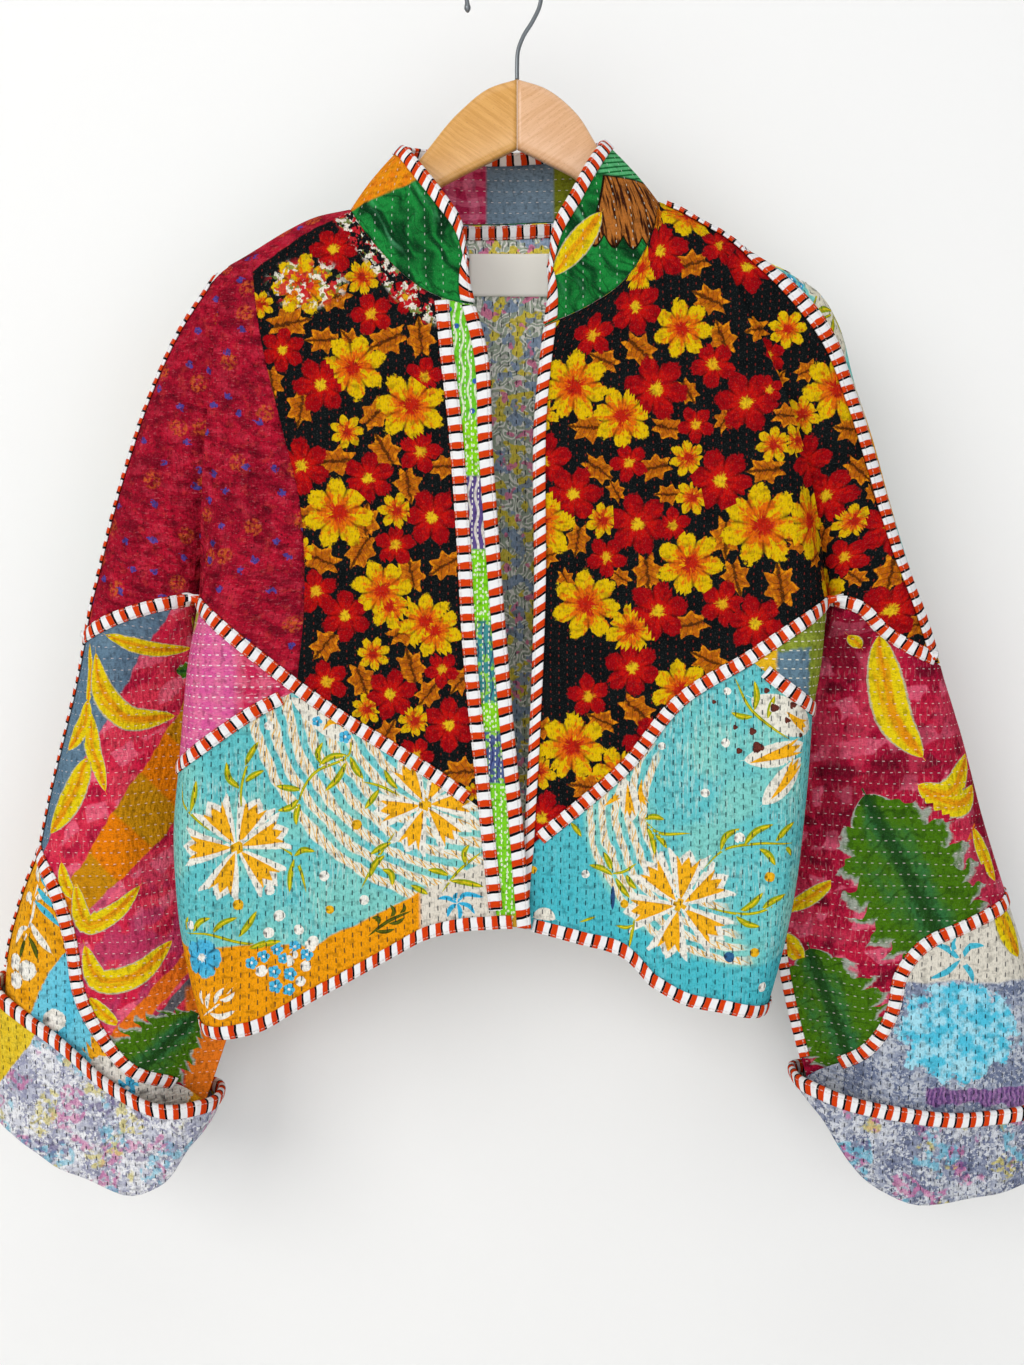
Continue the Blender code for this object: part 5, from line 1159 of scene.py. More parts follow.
# Round motifs by print and style, columns x, z, radius, turn in degrees and stretch across it
ROUNDS = {
    "black_floral": [
        ("yellow_bloom", [(134, -288, 23, 150), (52, -331, 27, 190), (89, -354, 24, 65),
         (194, -435, 32, 250), (140, -464, 26, 305), (62, -495, 27, 95), (237, -433, 29, 55),
         (96, -514, 21, 40), (223, -287, 15, 10)]),
        ("yellow_small", [(74, -431, 14, 255), (138, -385, 14, 350), (142, -414, 14, 185),
         (237, -351, 15, 35), (203, -375, 14, 140), (222, -372, 14, 330)]),
        ("red_bloom", [(97, -272, 22, 340), (114, -333, 25, 230), (182, -343, 24, 175),
         (163, -402, 25, 110), (52, -412, 22, 65), (101, -434, 24, 165), (240, -387, 22, 135),
         (116, -500, 24, 15), (190, -509, 22, 165)]),
        ("red_round", [(64, -293, 17, 170), (157, -315, 18, 120), (210, -307, 14, 105),
         (144, -360, 14, 195), (94, -388, 15, 185), (127, -435, 14, 235), (77, -459, 16, 55),
         (165, -494, 18, 215), (199, -334, 11, 245)]),
    ],
    "black_floral_under": [
        ("brown_leaf", [(101, -304, 17, 320), (74, -312, 14, 155), (164, -295, 16, 110),
         (155, -266, 16, 155), (138, -335, 12, 300), (64, -362, 17, 175), (166, -356, 12, 55),
         (123, -362, 14, 350), (195, -288, 16, 190), (213, -353, 14, 0), (197, -394, 16, 185),
         (113, -392, 15, 195), (71, -393, 15, 325), (84, -409, 10, 120), (55, -446, 14, 260),
         (167, -444, 17, 270), (124, -412, 12, 180), (108, -471, 17, 275), (175, -474, 16, 285),
         (209, -481, 19, 100), (88, -474, 10, 145), (141, -510, 16, 195), (223, -449, 12, 165),
         (242, -459, 12, 25), (216, -326, 12, 50), (240, -318, 12, 25), (46, -476, 10, 295)]),
    ],
    "floral_left": [
        ("yellow_bloom", [(-113, -317, 25, 175), (-70, -346, 27, 330), (-151, -255, 24, 340),
         (-125, -426, 27, 300), (-92, -484, 24, 215), (-59, -508, 22, 90), (-86, -496, 18, 125),
         (-52, -515, 21, 40)]),
        ("yellow_small", [(-118, -365, 13, 260), (-106, -249, 14, 125), (-81, -424, 14, 280),
         (-183, -270, 11, 175), (-153, -454, 10, 115), (-99, -532, 13, 225), (-68, -583, 13, 275),
         (-104, -574, 12, 205), (-23, -637, 7, 355)]),
        ("red_bloom", [(-137, -330, 22, 125), (-166, -304, 17, 205), (-128, -228, 19, 60),
         (-152, -391, 22, 35), (-102, -400, 20, 145), (-54, -429, 22, 175), (-120, -503, 20, 150),
         (-86, -563, 20, 75), (-42, -586, 21, 210)]),
        ("red_round", [(-99, -277, 17, 110), (-73, -264, 13, 185), (-63, -380, 17, 290),
         (-82, -450, 16, 15), (-142, -485, 17, 25), (-59, -324, 15, 225), (-47, -544, 14, 50),
         (-134, -553, 17, 180), (-67, -609, 14, 205)]),
    ],
    "floral_left_under": [
        ("brown_leaf", [(-162, -284, 18, 10), (-128, -264, 16, 205), (-135, -297, 15, 180),
         (-87, -297, 18, 205), (-62, -295, 17, 95), (-152, -346, 17, 260), (-96, -352, 16, 45),
         (-126, -387, 17, 185), (-89, -380, 17, 120), (-72, -405, 16, 280), (-147, -429, 16, 185),
         (-104, -433, 16, 85), (-138, -461, 17, 160), (-108, -454, 17, 240), (-70, -472, 16, 100),
         (-44, -465, 16, 210), (-44, -391, 14, 5), (-135, -525, 16, 230), (-75, -515, 16, 25),
         (-108, -552, 16, 290), (-70, -543, 17, 105), (-57, -562, 14, 230), (-32, -552, 14, 230),
         (-32, -622, 17, 185), (-89, -593, 14, 60), (-174, -328, 14, 280), (-114, -299, 14, 130)]),
    ],
    "forearm_left": [
        ("jagged_leaf", [(-280, -858, 50, 40, 0.8), (-241, -548, 12, 0, 0.8)]),
    ],
    "forearm_right": [
        ("jagged_leaf", [(322, -717, 82, -62, 0.72), (259, -825, 56, -70, 0.95)]),
    ],
    "skirt_left": [
        ("white_dot", [(-186, -774, 4.8), (-165, -767, 4.4), (-152, -771, 4.2), (-146, -752, 4.6),
         (-156, -783, 4), (-172, -732, 4.4), (-157, -743, 4), (-180, -745, 4.4), (-107, -720, 3.8),
         (-137, -701, 4), (-179, -712, 4), (-149, -756, 5), (-240, -738, 3.6), (-178, -586, 3.6),
         (-161, -762, 3.4)]),
        ("ochre_dot", [(-203, -723, 4.2), (-133, -727, 3.4), (-112, -662, 4)]),
        ("blue_dot", [(-164, -777, 5.4), (-175, -786, 5.4), (-165, -789, 4.8), (-151, -762, 5.2),
         (-193, -768, 5), (-176, -775, 5.2), (-184, -763, 5), (-174, -758, 5), (-160, -756, 5),
         (-169, -765, 4.4), (-231, -763, 16), (-142, -583, 4), (-121, -595, 5), (-160, -554, 3)]),
    ],
    "skirt_right": [
        ("white_dot", [(120, -602, 3), (168, -599, 3.4), (153, -637, 3.4), (62, -701, 3.2),
         (179, -671, 4.2), (199, -786, 4), (169, -560, 3)]),
        ("ochre_dot", [(92, -724, 3.2), (202, -700, 4), (191, -758, 3.6), (22, -698, 3)]),
        ("navy_dot", [(172, -762, 4)]),
        ("brown_dot", [(192, -602, 4.6), (178, -605, 2.6), (188, -590, 3), (204, -572, 3.4),
         (214, -581, 2.8), (159, -568, 1.8), (198, -559, 2.4), (218, -570, 3), (175, -587, 2),
         (226, -593, 2.2)]),
    ],
    "end_left": [
        ("white_dot", [(-389, -778, 7), (-377, -783, 8), (-388, -792, 7), (-356, -823, 9)]),
        ("blue_dot", [(-300, -879, 10)]),
        ("cream_dot", [(-316, -867, 16), (-276, -885, 16)]),
    ],
    "end_left_under": [
        ("cream_dot", [(-290, -887, 46, 0, 0.7)]),
    ],
}


for groups in ROUNDS.values():
    for style, rows in groups:
        if style == "brown_leaf":
            rows[:] = [row + (LEAF_STRETCH,) for row in rows]


def linear(code):
    """A linear colour from an sRGB hex code."""
    parts = [int(code[step:step + 2], 16) / 255.0 for step in (1, 3, 5)]
    return [part / 12.92 if part <= 0.04045 else ((part + 0.055) / 1.055) ** 2.4 for part in parts] + [1.0]


class Value:
    """A number or colour worked out by a material's nodes, with the usual arithmetic."""

    def __init__(self, tree, socket):
        self.tree = tree
        self.socket = socket

    def __add__(self, other):
        return calc("ADD", self, other)

    def __sub__(self, other):
        return calc("SUBTRACT", self, other)

    def __rsub__(self, other):
        return calc("SUBTRACT", other, self)

    def __mul__(self, other):
        return calc("MULTIPLY", self, other)

    def __truediv__(self, other):
        return calc("DIVIDE", self, other)


def add(tree, kind, inputs=None, **settings):
    """A new node with its settings; inputs by name or place are values, sockets or plain numbers."""
    made = tree.nodes.new(kind)
    for key, value in settings.items():
        setattr(made, key, value)
    for place, value in (inputs or {}).items():
        value = value.socket if isinstance(value, Value) else value
        if isinstance(value, bpy.types.NodeSocket):
            tree.links.new(value, made.inputs[place])
        else:
            made.inputs[place].default_value = value
    return made


def calc(operation, *values):
    """What an arithmetic node makes of its inputs: at least one value, and plain numbers."""
    tree = next(value.tree for value in values if isinstance(value, Value))
    return Value(tree, add(tree, "ShaderNodeMath", dict(enumerate(values)), operation=operation).outputs[0])


def most(first, second):
    """The larger of two values."""
    return calc("MAXIMUM", first, second)


def size_of(value):
    """A value without its sign."""
    return calc("ABSOLUTE", value)


def fraction(value):
    """What a value has beyond the whole number below it."""
    return calc("FRACT", value)


def rise(value, low, high):
    """From 0 at low to 1 at high, softly; the other way round where low is the larger."""
    inputs = {"Value": value, "From Min": min(low, high), "From Max": max(low, high)}
    ends = (0.0, 1.0) if low < high else (1.0, 0.0)
    inputs.update({"To Min": ends[0], "To Max": ends[1]})
    made = add(value.tree, "ShaderNodeMapRange", inputs, interpolation_type="SMOOTHSTEP")
    return Value(value.tree, made.outputs[0])


def between(value, low, high, soft):
    """1 between two levels and 0 beyond them, with soft edges."""
    return rise(value, low - soft, low + soft) * rise(value, high + soft, high - soft)


def mix(share, first, second):
    """The first colour with a share of the second over it."""
    first = linear(first) if isinstance(first, str) else first
    second = linear(second) if isinstance(second, str) else second
    made = add(share.tree, "ShaderNodeMix", {0: share, 6: first, 7: second}, data_type="RGBA")
    return Value(share.tree, made.outputs[2])


def spot_vector(u, v, scale, seed):
    """Texture coordinates in blots, shifted to another part of the pattern for each seed."""
    offset = SEED_SHIFT * seed
    return add(u.tree, "ShaderNodeCombineXYZ", {0: u / scale + offset, 1: v / scale - offset}).outputs[0]


def noise(u, v, scale, seed=0, detail=2.0, rough=0.5):
    """Soft noise from 0 to 1 whose blots are about as wide as the scale, in millimetres."""
    inputs = {"Vector": spot_vector(u, v, scale, seed), "Scale": 1.0, "Detail": detail, "Roughness": rough}
    return Value(u.tree, add(u.tree, "ShaderNodeTexNoise", inputs, noise_dimensions="2D").outputs[0])


def spots(u, v, cell, radius, seed=0):
    """Round spots of a radius in millimetres, one in each cell of a loose grid."""
    inputs = {"Vector": spot_vector(u, v, cell, seed), "Scale": 1.0, "Randomness": 0.8}
    made = add(u.tree, "ShaderNodeTexVoronoi", inputs, voronoi_dimensions="2D")
    share = radius / cell
    return rise(Value(u.tree, made.outputs["Distance"]), share * 1.15, share * 0.85)


def stitches(u, v, spacing, length, gap, width):
    """Rows of running stitches along v: a mask of the threads and the distance across each row."""
    bent = u + (noise(v * 0.0, v, 70.0, 3) - 0.5) * 4.0
    row = calc("FLOOR", bent / spacing)
    across = (fraction(bent / spacing) - 0.5) * spacing
    shift = fraction(calc("SINE", row * 12.9898) * 43758.5)
    along = fraction(v / (length + gap) + shift) * (length + gap)
    thread = rise(size_of(across), width * 0.75, width * 0.4) * between(along, 0.0, length, 0.25)
    return thread, across


def split(tree, vector):
    """A vector's three parts as values."""
    made = add(tree, "ShaderNodeSeparateXYZ", {0: vector})
    return [Value(tree, made.outputs[axis]) for axis in range(3)]


def motifs(u, v, ground, layer):
    """Flowers, leaves and blades over a ground; each face knows its motif's own coordinates and colours."""
    tree = u.tree
    place, form, *dyes = [add(tree, "ShaderNodeAttribute", attribute_name=layer + "_" + name)
                          for name in ("place", "form", "outer", "inner", "core")]
    p, q, kind = split(tree, place.outputs["Vector"])
    count, deep, heart = split(tree, form.outputs["Vector"])
    outer, inner, core = [Value(tree, dye.outputs["Color"]) for dye in dyes]
    pointed = rise(kind, 1.4, 1.6)
    blade = rise(kind, 2.4, 2.6)
    notched = rise(kind, 3.4, 3.6)
    far = calc("SQRT", p * p + q * q)
    swing = calc("ARCTAN2", q, p) * count * 0.5
    wave = size_of(calc("COSINE", swing))
    notch = size_of(calc("SINE", swing))
    wobble = (noise(u, v, 4.4, 5, 4.0, 0.65) - 0.5) * (1.0 - blade * 0.6)
    edge = 1.0 - deep * ((1.0 - pointed) * (1.0 - wave) + pointed * notch)
    taper = calc("POWER", most(1.0 - p * p, 0.002), 0.7) * (1.0 - notched)
    taper = taper + calc("POWER", most(p * 0.5 + 0.5, 0.002), 0.8) * notched
    tooth = fraction(p * count * 0.5 - size_of(q) * 1.3 + (noise(u, v, 16.0, 6, 1.0) - 0.5) * 1.3)
    taper = taper * (1.0 - deep * tooth * blade)
    side = size_of(q) / taper
    tip = (p + (1.0 - size_of(calc("MINIMUM", side, 1.0) * 2.0 - 1.0)) * 0.42) * notched
    reach = (far / edge) * (1.0 - blade) + most(side, tip) * blade + wobble * 0.42
    shape = rise(reach, 1.02, 0.95) * rise(kind, 0.4, 0.6)
    round_lobes = (1.0 - pointed) * (1.0 - blade)
    ring = far / (0.66 - deep * 0.66 * (1.0 - notch)) * round_lobes + reach * (1.0 - round_lobes)
    mottle = noise(p * (1.0 - blade * 0.6), q, 0.34, 9, 4.0, 0.6) - 0.5
    streaks = noise(p / (far + 0.04), q / (far + 0.04), 0.2, 9, 3.0) - 0.5
    centre = ring + mottle * (2.2 - blade) + streaks * round_lobes * 2.4 + blade * (1.0 - notched) * 0.66
    colour = mix(rise(centre, 1.25, 0.6), outer, inner)
    colour = mix(between(ring + wobble * 0.5, 0.96, 1.1, 0.06) * round_lobes * 0.8, colour, outer)
    colour = mix(rise(wave, 0.4, 0.0) * round_lobes * rise(far, 0.2, 0.6) * 0.7, colour, "#1c0806")
    saw = most(rise(deep, 0.05, 0.1) * blade, pointed * (1.0 - blade))
    vein = rise(size_of(q + wobble * pointed * 0.5), 0.15, 0.04) + \
        rise(size_of(tooth - 0.5), 0.12, 0.03) * rise(size_of(q), 0.8, 0.3) * 0.6
    colour = mix(calc("MINIMUM", vein, 1.0) * saw * 0.8, colour, core)
    near_heart = far / most(heart, 0.01) + wobble + streaks * 1.6 + mottle * 1.2
    colour = mix(rise(near_heart, 1.25, 0.75) * (1.0 - blade), colour, core)
    outline = Value(tree, dyes[0].outputs["Alpha"]) * rise(reach, 0.84, 0.93)
    colour = mix(outline * 0.8, colour, "#a9aaa4")
    return mix(shape, ground, colour)


def new_surface(name, roughness, metallic=0.0):
    """A new material with its node tree and its shader."""
    made = bpy.data.materials.new(name)
    made.use_nodes = True
    shader = made.node_tree.nodes["Principled BSDF"]
    shader.inputs["Roughness"].default_value = roughness
    shader.inputs["Metallic"].default_value = metallic
    return made, made.node_tree, shader


def plain(name, code, roughness=0.9, metallic=0.0):
    """A surface of one colour."""
    made, tree, shader = new_surface(name, roughness, metallic)
    shader.inputs["Base Color"].default_value = linear(code)
    return made


def wood(name, pale, dark, slope):
    """Lacquered beech: streaks along the arm, short flecks and a thin coat of varnish."""
    made, tree, shader = new_surface(name, 0.34)
    x, _, z = split(tree, add(tree, "ShaderNodeTexCoord").outputs["Object"])
    along = (x + z * slope) * 1000.0
    across = (z - x * slope) * 1000.0
    streaks = noise(along * 0.06, across + noise(along, across, 70.0, 2) * 6.0, 2.6, 3, 3.0, 0.6)
    colour = mix(rise(streaks, 0.3, 0.7), pale, dark)
    flecks = rise(noise(along * 0.25, across, 0.8, 5, 1.0), 0.66, 0.74)
    colour = mix(flecks * 0.35, colour, "#a8682c")
    tree.links.new(colour.socket, shader.inputs["Base Color"])
    shader.inputs["Coat Weight"].default_value = 0.5
    shader.inputs["Coat Roughness"].default_value = 0.18
    bump = add(tree, "ShaderNodeBump", {"Height": streaks, "Distance": 0.0001, "Strength": 0.5})
    tree.links.new(bump.outputs[0], shader.inputs["Normal"])
    return made


def finish_cloth(tree, shader, colour, relief):
    """Links a cloth's colour and its relief in millimetres."""
    tree.links.new(colour.socket, shader.inputs["Base Color"])
    shader.inputs["Specular IOR Level"].default_value = 0.02
    bump = add(tree, "ShaderNodeBump", {"Height": relief, "Distance": 0.001, "Strength": 1.0})
    tree.links.new(bump.outputs[0], shader.inputs["Normal"])


def kantha(name, print_colour, thread, spacing, length, gap, ripple, cross=False, strength=0.85,
           width=0.75, rib=0.22, pucker=1.0):
    """Quilted cotton: a printed ground, running stitches in rows, the puckers they pull up and painted shade
    in the puckers' valleys.
    """
    made, tree, shader = new_surface(name + "_kantha_cotton", 0.92)
    u, v, _ = split(tree, add(tree, "ShaderNodeUVMap", uv_map="cloth").outputs[0])
    colour = print_colour(u, v)
    first, second = (v, u) if cross else (u, v)
    threads, across = stitches(first, second, spacing, length, gap, width)
    lines = noise(first, second * 0.35, 1.2, 2, 2.0, 0.6)
    colour = mix(rise(lines, 0.45, 0.75) * 0.3, colour, "#0b0a0d")
    colour = mix(rise(noise(u, v, 1.0, 3, 1.0), 0.6, 0.8) * 0.03, colour, "#ffffff")
    wrinkle = noise(first, second, 5.2 * pucker, 6, 2.0)
    pulled = noise(first * 0.4, second, 3.4 * pucker, 8, 2.0)
    # Painted shade: the colour darkens towards near black in the valleys of the puckers' relief
    painted_crease_shade = rise(wrinkle + pulled, 0.98, 0.66) * 0.34
    colour = mix(painted_crease_shade, colour, "#05060a")
    colour = mix(threads * strength, colour, thread)
    puff = (1.0 - calc("POWER", size_of(across) * (2.0 / spacing), 2.0)) * rib
    relief = puff + (wrinkle + pulled) * (2.2 * ripple * pucker) - threads * 0.25
    finish_cloth(tree, shader, colour, relief)
    return made


def banded(value, rows, soft=1.0):
    """Colours that follow each other down the cloth, each from its level."""
    colour = mix(rise(value, rows[1][0] + soft, rows[1][0] - soft), rows[0][1], rows[1][1])
    for level, code in rows[2:]:
        colour = mix(rise(value, level + soft, level - soft), colour, code)
    return colour


def right_of(u, v, x0, z0, x1, z1):
    """1 on the right of the line from one point to another, as one walks along it, and 0 on its left."""
    length = math.hypot(x1 - x0, z1 - z0)
    away = (u - x0) * ((z1 - z0) / length) - (v - z0) * ((x1 - x0) / length)
    return rise(away + (noise(u, v, 18.0, 13) - 0.5) * 6.0, -0.8, 0.8)


def layered(u, v, ground):
    """Both layers of a piece's motifs over a ground."""
    return motifs(u, v, motifs(u, v, ground, "under"), "over")


def floral_print(u, v):
    """The big floral: a soft black ground under its flowers and leaves."""
    return layered(u, v, mix(noise(u, v, 14, 1), "#080c0d", "#141a1b"))


def crimson_print(u, v):
    """Mottled crimson: painted shade in dark red in the troughs of a slanting ripple pattern and painted
    highlight in pale red on its crests, blurred orange spots and small blue ones.
    """
    colour = mix(rise(noise(u, v, 30, 1, 3.0, 0.6), 0.35, 0.65), "#960e27", "#b0142e")
    # Painted shade in dark red in the troughs and painted highlight in pale red on the crests of a slanting
    # ripple pattern
    painted_ripple_light = noise(u * 0.5, v + u * 0.35, 8.5, 14, 2.0, 0.5)
    colour = mix(rise(painted_ripple_light, 0.47, 0.36) * 0.5, colour, "#5c0a1c")
    colour = mix(rise(painted_ripple_light, 0.53, 0.66) * 0.3, colour, "#d2384e")
    colour = mix(rise(noise(u, v, 9.0, 2, 2.0, 0.6), 0.56, 0.72) * 0.35, colour, "#c23a34")
    colour = mix(spots(u, v, 38, 6.5, 4) * rise(noise(u, v, 3.0, 7), 0.4, 0.6) * 0.8, colour, "#c85a24")
    ragged = (noise(u, v, 3.2, 19, 2.0) - 0.5) * 9.0
    colour = mix(spots(u + ragged, v - ragged * 0.6, 26, 2.6, 9) * 0.85, colour, "#34459a")
    colour = mix(rise(noise(u, v, 2.4, 11, 1.0), 0.74, 0.8) * 0.8, colour, "#1a0f16")
    return mix(rise(noise(u * 0.35, v, 1.6, 12), 0.62, 0.75) * 0.25, colour, "#e07a80")


def floral_left_print(u, v):
    """The black floral, with the crimson lapping over it at the shoulder."""
    colour = floral_print(u, v)
    away_u, away_v = (u + 148.0) / 30.0, (v + 254.0) / 19.0
    shoulder = rise(away_u * away_u + away_v * away_v, 1.3, 0.5)
    collar_side = between((u + 106.0) * 0.786 + (v + 216.0) * 0.618, -11.0, 12.0, 2.0) * rise(v, -288, -280)
    torn = most(shoulder, collar_side) * rise(noise(u, v, 8.0, 31, 3.0, 0.6), 0.48, 0.53)
    shreds = mix(rise(noise(u, v, 5.0, 35, 2.0), 0.52, 0.56), "#e9e2d4", "#7c8a44")
    shreds = mix(rise(noise(u, v, 9.0, 33, 2.0), 0.5, 0.54), shreds, "#c4242e")
    colour = mix(torn * 0.92, colour, shreds)
    return mix(right_of(u, v, -140, -205, -195, -247), colour, crimson_print(u, v))


def lime_print(u, v):
    """The placket: lime, violet and teal lengths, each with its own waves, dots or blots."""
    wave = calc("SINE", u * 1.15 + calc("SINE", v * 0.24) * 1.4)
    dots = spots(u, v, 5.0, 1.0, 3)
    colour = banded(v, [(0, "#6fc82e"), (-356, "#86d21c"), (-398, "#5c4a86"), (-453, "#7ccf1e"),
                        (-507, "#3f8a8c"), (-569, "#84d020"), (-591, "#4f5f90"), (-630, "#7acc26"),
                        (-731, "#c89a2c")])
    upper = rise(v, -357, -355)
    middle = between(v, -453, -398, 0.8)
    teal = between(v, -630, -507, 0.8) * (1.0 - between(v, -591, -569, 0.8))
    colour = mix(rise(wave, 0.45, 0.8) * upper * 0.85, colour, "#e6ecd0")
    colour = mix(spots(u, v, 19, 2.0, 5) * upper, colour, "#3c62b4")
    colour = mix(rise(wave, 0.1, 0.7) * middle * 0.9, colour, "#d8d2c8")
    colour = mix(rise(noise(u, v, 7, 2), 0.52, 0.58) * teal * 0.9, colour, "#8ecc3c")
    colour = mix(rise(wave, 0.75, 0.95) * teal * 0.8, colour, "#2f2a66")
    plain_lime = 1.0 - calc("MINIMUM", upper + middle + teal, 1.0)
    return mix(dots * plain_lime * 0.8, colour, "#f0f4dc")


def plaid_checks(u, v, size, seed):
    """Loose checks from 0 to 1, wavier than a woven plaid."""
    bent_u = u + (noise(u, v, 30, seed) - 0.5) * 14.0
    bent_v = v + (noise(u, v, 26, seed + 1) - 0.5) * 12.0
    over = between(fraction(bent_u / size), 0.12, 0.55, 0.05)
    down = between(fraction(bent_v / (size * 0.8)), 0.15, 0.6, 0.05)
    return over * 0.5 + down * 0.5


def pink_print(u, v):
    """Faded pink with loose checks and slubs, and green at its upper corner."""
    colour = mix(rise(u, -196, -206), "#c82a54", "#d65896")
    colour = mix(plaid_checks(u, v, 17, 3) * 0.5, colour, "#e8809c")
    colour = mix(rise(noise(u * 0.4, v, 2.0, 5), 0.58, 0.72) * 0.35, colour, "#f4c0cc")
    edge = rise(u - v * 0.35, -66, -72) * rise(v, -520, -508)
    return mix(edge * 0.9, colour, "#a8b42c")


def slate_print(u, v):
    """Olive with slate blue low down, and yellow at its inner end."""
    colour = mix(rise(noise(u, v, 9, 2), 0.45, 0.6), "#7d8c2a", "#93a03a")
    wander = (noise(u, v, 9, 4) - 0.5) * 7.0
    low = rise(v + wander - (u - 208.0) * 0.1, -528, -531) * rise(u + wander, 233, 230)
    colour = mix(low, colour, mix(noise(u, v, 5, 6), "#4f6c80", "#6f8c9c"))
    return mix(rise(u + wander, 206, 203), colour, "#e0b020")


def net_bands(u, v, x, z, first, last, period):
    """Cream rings with an ochre zigzag net, about a centre, and where they lie."""
    away_u, away_v = u - x, v - z
    far = calc("SQRT", away_u * away_u + away_v * away_v)
    far = far + (noise(u, v, 24, 4) - 0.5) * 7.0
    turn = calc("ARCTAN2", away_v, away_u)
    within = between(far, first, last, 1.5)
    ring = between(fraction(far / period), 0.06, 0.62, 0.05)
    zigzag = size_of(fraction(turn * (far / 9.0)) - 0.5) * 2.0
    level = fraction(far / period) * 2.0
    threads = rise(size_of(level - 0.2 - zigzag * 0.9), 0.2, 0.1)
    return ring * within, threads * within * ring


def turquoise_ground(u, v):
    """Turquoise in two soft tones, worn paler in streaks along the cloth."""
    colour = mix(rise(noise(u, v, 60, 1), 0.4, 0.6), "#60bfc4", "#7ccac2")
    colour = mix(rise(noise(u, v, 6, 2, 3.0, 0.6), 0.5, 0.75) * 0.35, colour, "#9adbd6")
    worn = rise(noise(u, v * 0.12, 1.6, 14, 2.0), 0.5, 0.7) * rise(noise(u, v, 45, 15), 0.35, 0.6)
    return mix(worn * 0.5, colour, "#cfe2d8")


def turquoise_print(u, v):
    """The skirts: cream rings with an ochre net, and an orange and cream strip low on the left."""
    colour = turquoise_ground(u, v)
    left = rise(u, 12, 6)
    rings, threads = net_bands(u, v, -12, -545, 96, 187, 12.6)
    more, finer = net_bands(u, v, 179, -651, 70, 116, 10.0)
    low_left = rise(u + v * 0.45, -150, -166)
    away_u, away_v = u - 179.0, v + 651.0
    deep = rise(away_u * away_u + away_v * away_v, 13500, 14500) * (1.0 - left)
    colour = mix(deep * 0.8, colour, "#3fb6c6")
    rings = rings * left + more * (1.0 - left) * low_left
    threads = threads * left + finer * (1.0 - left) * low_left
    colour = mix(rings * 0.92, colour, "#ebe6d6")
    colour = mix(threads * 0.9, colour, "#e3a827")
    level = v + 755.0 - most(u + 147.0, 0.0) * 0.49
    strip = rise(level + (noise(u, v, 20, 6) - 0.5) * 5.0, 1.0, -1.0) * left
    colour = mix(strip, colour, mix(rise(u, -66, -62), "#ec9a0e", "#dbd4c6"))
    return layered(u, v, colour)


def back_print(u, v):
    """The back: wide blots of cream, turquoise and ochre, and one ring of the net."""
    wide = noise(u, v, 90, 6, 1.0)
    colour = mix(rise(wide, 0.47, 0.5), "#dcd6c2", "#7ccac4")
    colour = mix(rise(noise(u, v, 110, 8, 1.0), 0.56, 0.59), colour, "#e2a022")
    rings, threads = net_bands(u, v, 40, -420, 150, 230, 10.5)
    colour = mix(rings * 0.8, colour, "#e8e2cc")
    colour = mix(threads * 0.9, colour, "#e0b02c")
    return layered(u, v, colour)


def red_blocks(u, v, ground, light, dark, slope):
    """Wavy slanting bands of lighter and darker blocks, with pale worn threads."""
    colour = mix(rise(noise(u, v, 34, 2, 3.0, 0.6), 0.35, 0.65), ground[0], ground[1])
    slant = v - u * slope + (noise(u, v, 40, 3) - 0.5) * 18.0
    rows = between(fraction(slant / 34.0), 0.1, 0.52, 0.03)
    blocks = rise(noise(u, v * 0.7, 21, 5, 1.0), 0.47, 0.52)
    colour = mix(rows * blocks * 0.85, colour, light)
    low = between(fraction(slant / 34.0 + 0.4), 0.1, 0.35, 0.04) * rise(noise(u, v, 25, 8, 1.0), 0.5, 0.55)
    colour = mix(low * 0.8, colour, dark)
    colour = mix(rise(noise(u, v, 4.0, 15, 3.0, 0.7), 0.5, 0.68) * 0.3, colour, dark)
    return mix(rise(noise(u * 1.2, v * 0.22, 2.0, 7), 0.58, 0.76) * 0.22, colour, "#f6c0c0")


def left_forearm_print(u, v):
    """Rose blocks, slate on the outside, and slanting orange and grey bands."""
    colour = red_blocks(u, v, ("#cc1f42", "#dc3a52"), "#ea6680", "#a81438", 0.5)
    colour = mix(rise(v, -690, -740) * rise(noise(u, v, 30, 17), 0.45, 0.55) * 0.6, colour, "#a83c68")
    band = right_of(u, v, -340, -708, -248, -572) * right_of(u, v, -243, -659, -326, -733)
    block = rise(calc("SINE", (u + v) * 0.062), -0.15, 0.15)
    colour = mix(band, colour, mix(block, "#c4860e", "#e37c08"))
    slate = right_of(u, v, -262, -498, -361, -674)
    colour = mix(slate, colour, mix(noise(u, v, 12, 3), "#4f6c84", "#6f8a9c"))
    low = right_of(u, v, -299, -821, -235, -757) * right_of(u, v, -230, -772, -299, -840)
    colour = mix(low, colour, "#e0701a")
    edge = right_of(u, v, -299, -846, -228, -775) * right_of(u, v, -226, -786, -299, -857)
    colour = mix(edge, colour, "#5f6068")
    colour = mix(rise(u, -254, -250) * rise(v, -800, -806), colour, "#df741c")
    return layered(u, v, colour)


def right_forearm_print(u, v):
    """Crimson blocks, darker in blots towards the elbow and worn paler in places."""
    colour = red_blocks(u, v, ("#a01034", "#bc1c3c"), "#dc5c78", "#640820", 0.22)
    dark = rise(noise(u, v, 52, 21, 2.0), 0.5, 0.6) * rise(v, -740, -700)
    colour = mix(dark * 0.55, colour, "#6c0a20")
    worn = rise(noise(u, v * 0.5, 40, 24, 2.0), 0.54, 0.6)
    colour = mix(worn * 0.45, colour, "#d4405c")
    return layered(u, v, colour)


def left_end_print(u, v):
    """Ochre in two soft tones under its motifs."""
    colour = mix(rise(noise(u, v, 12, 2), 0.4, 0.6), "#e39a10", "#eda81e")
    return layered(u, v, colour)


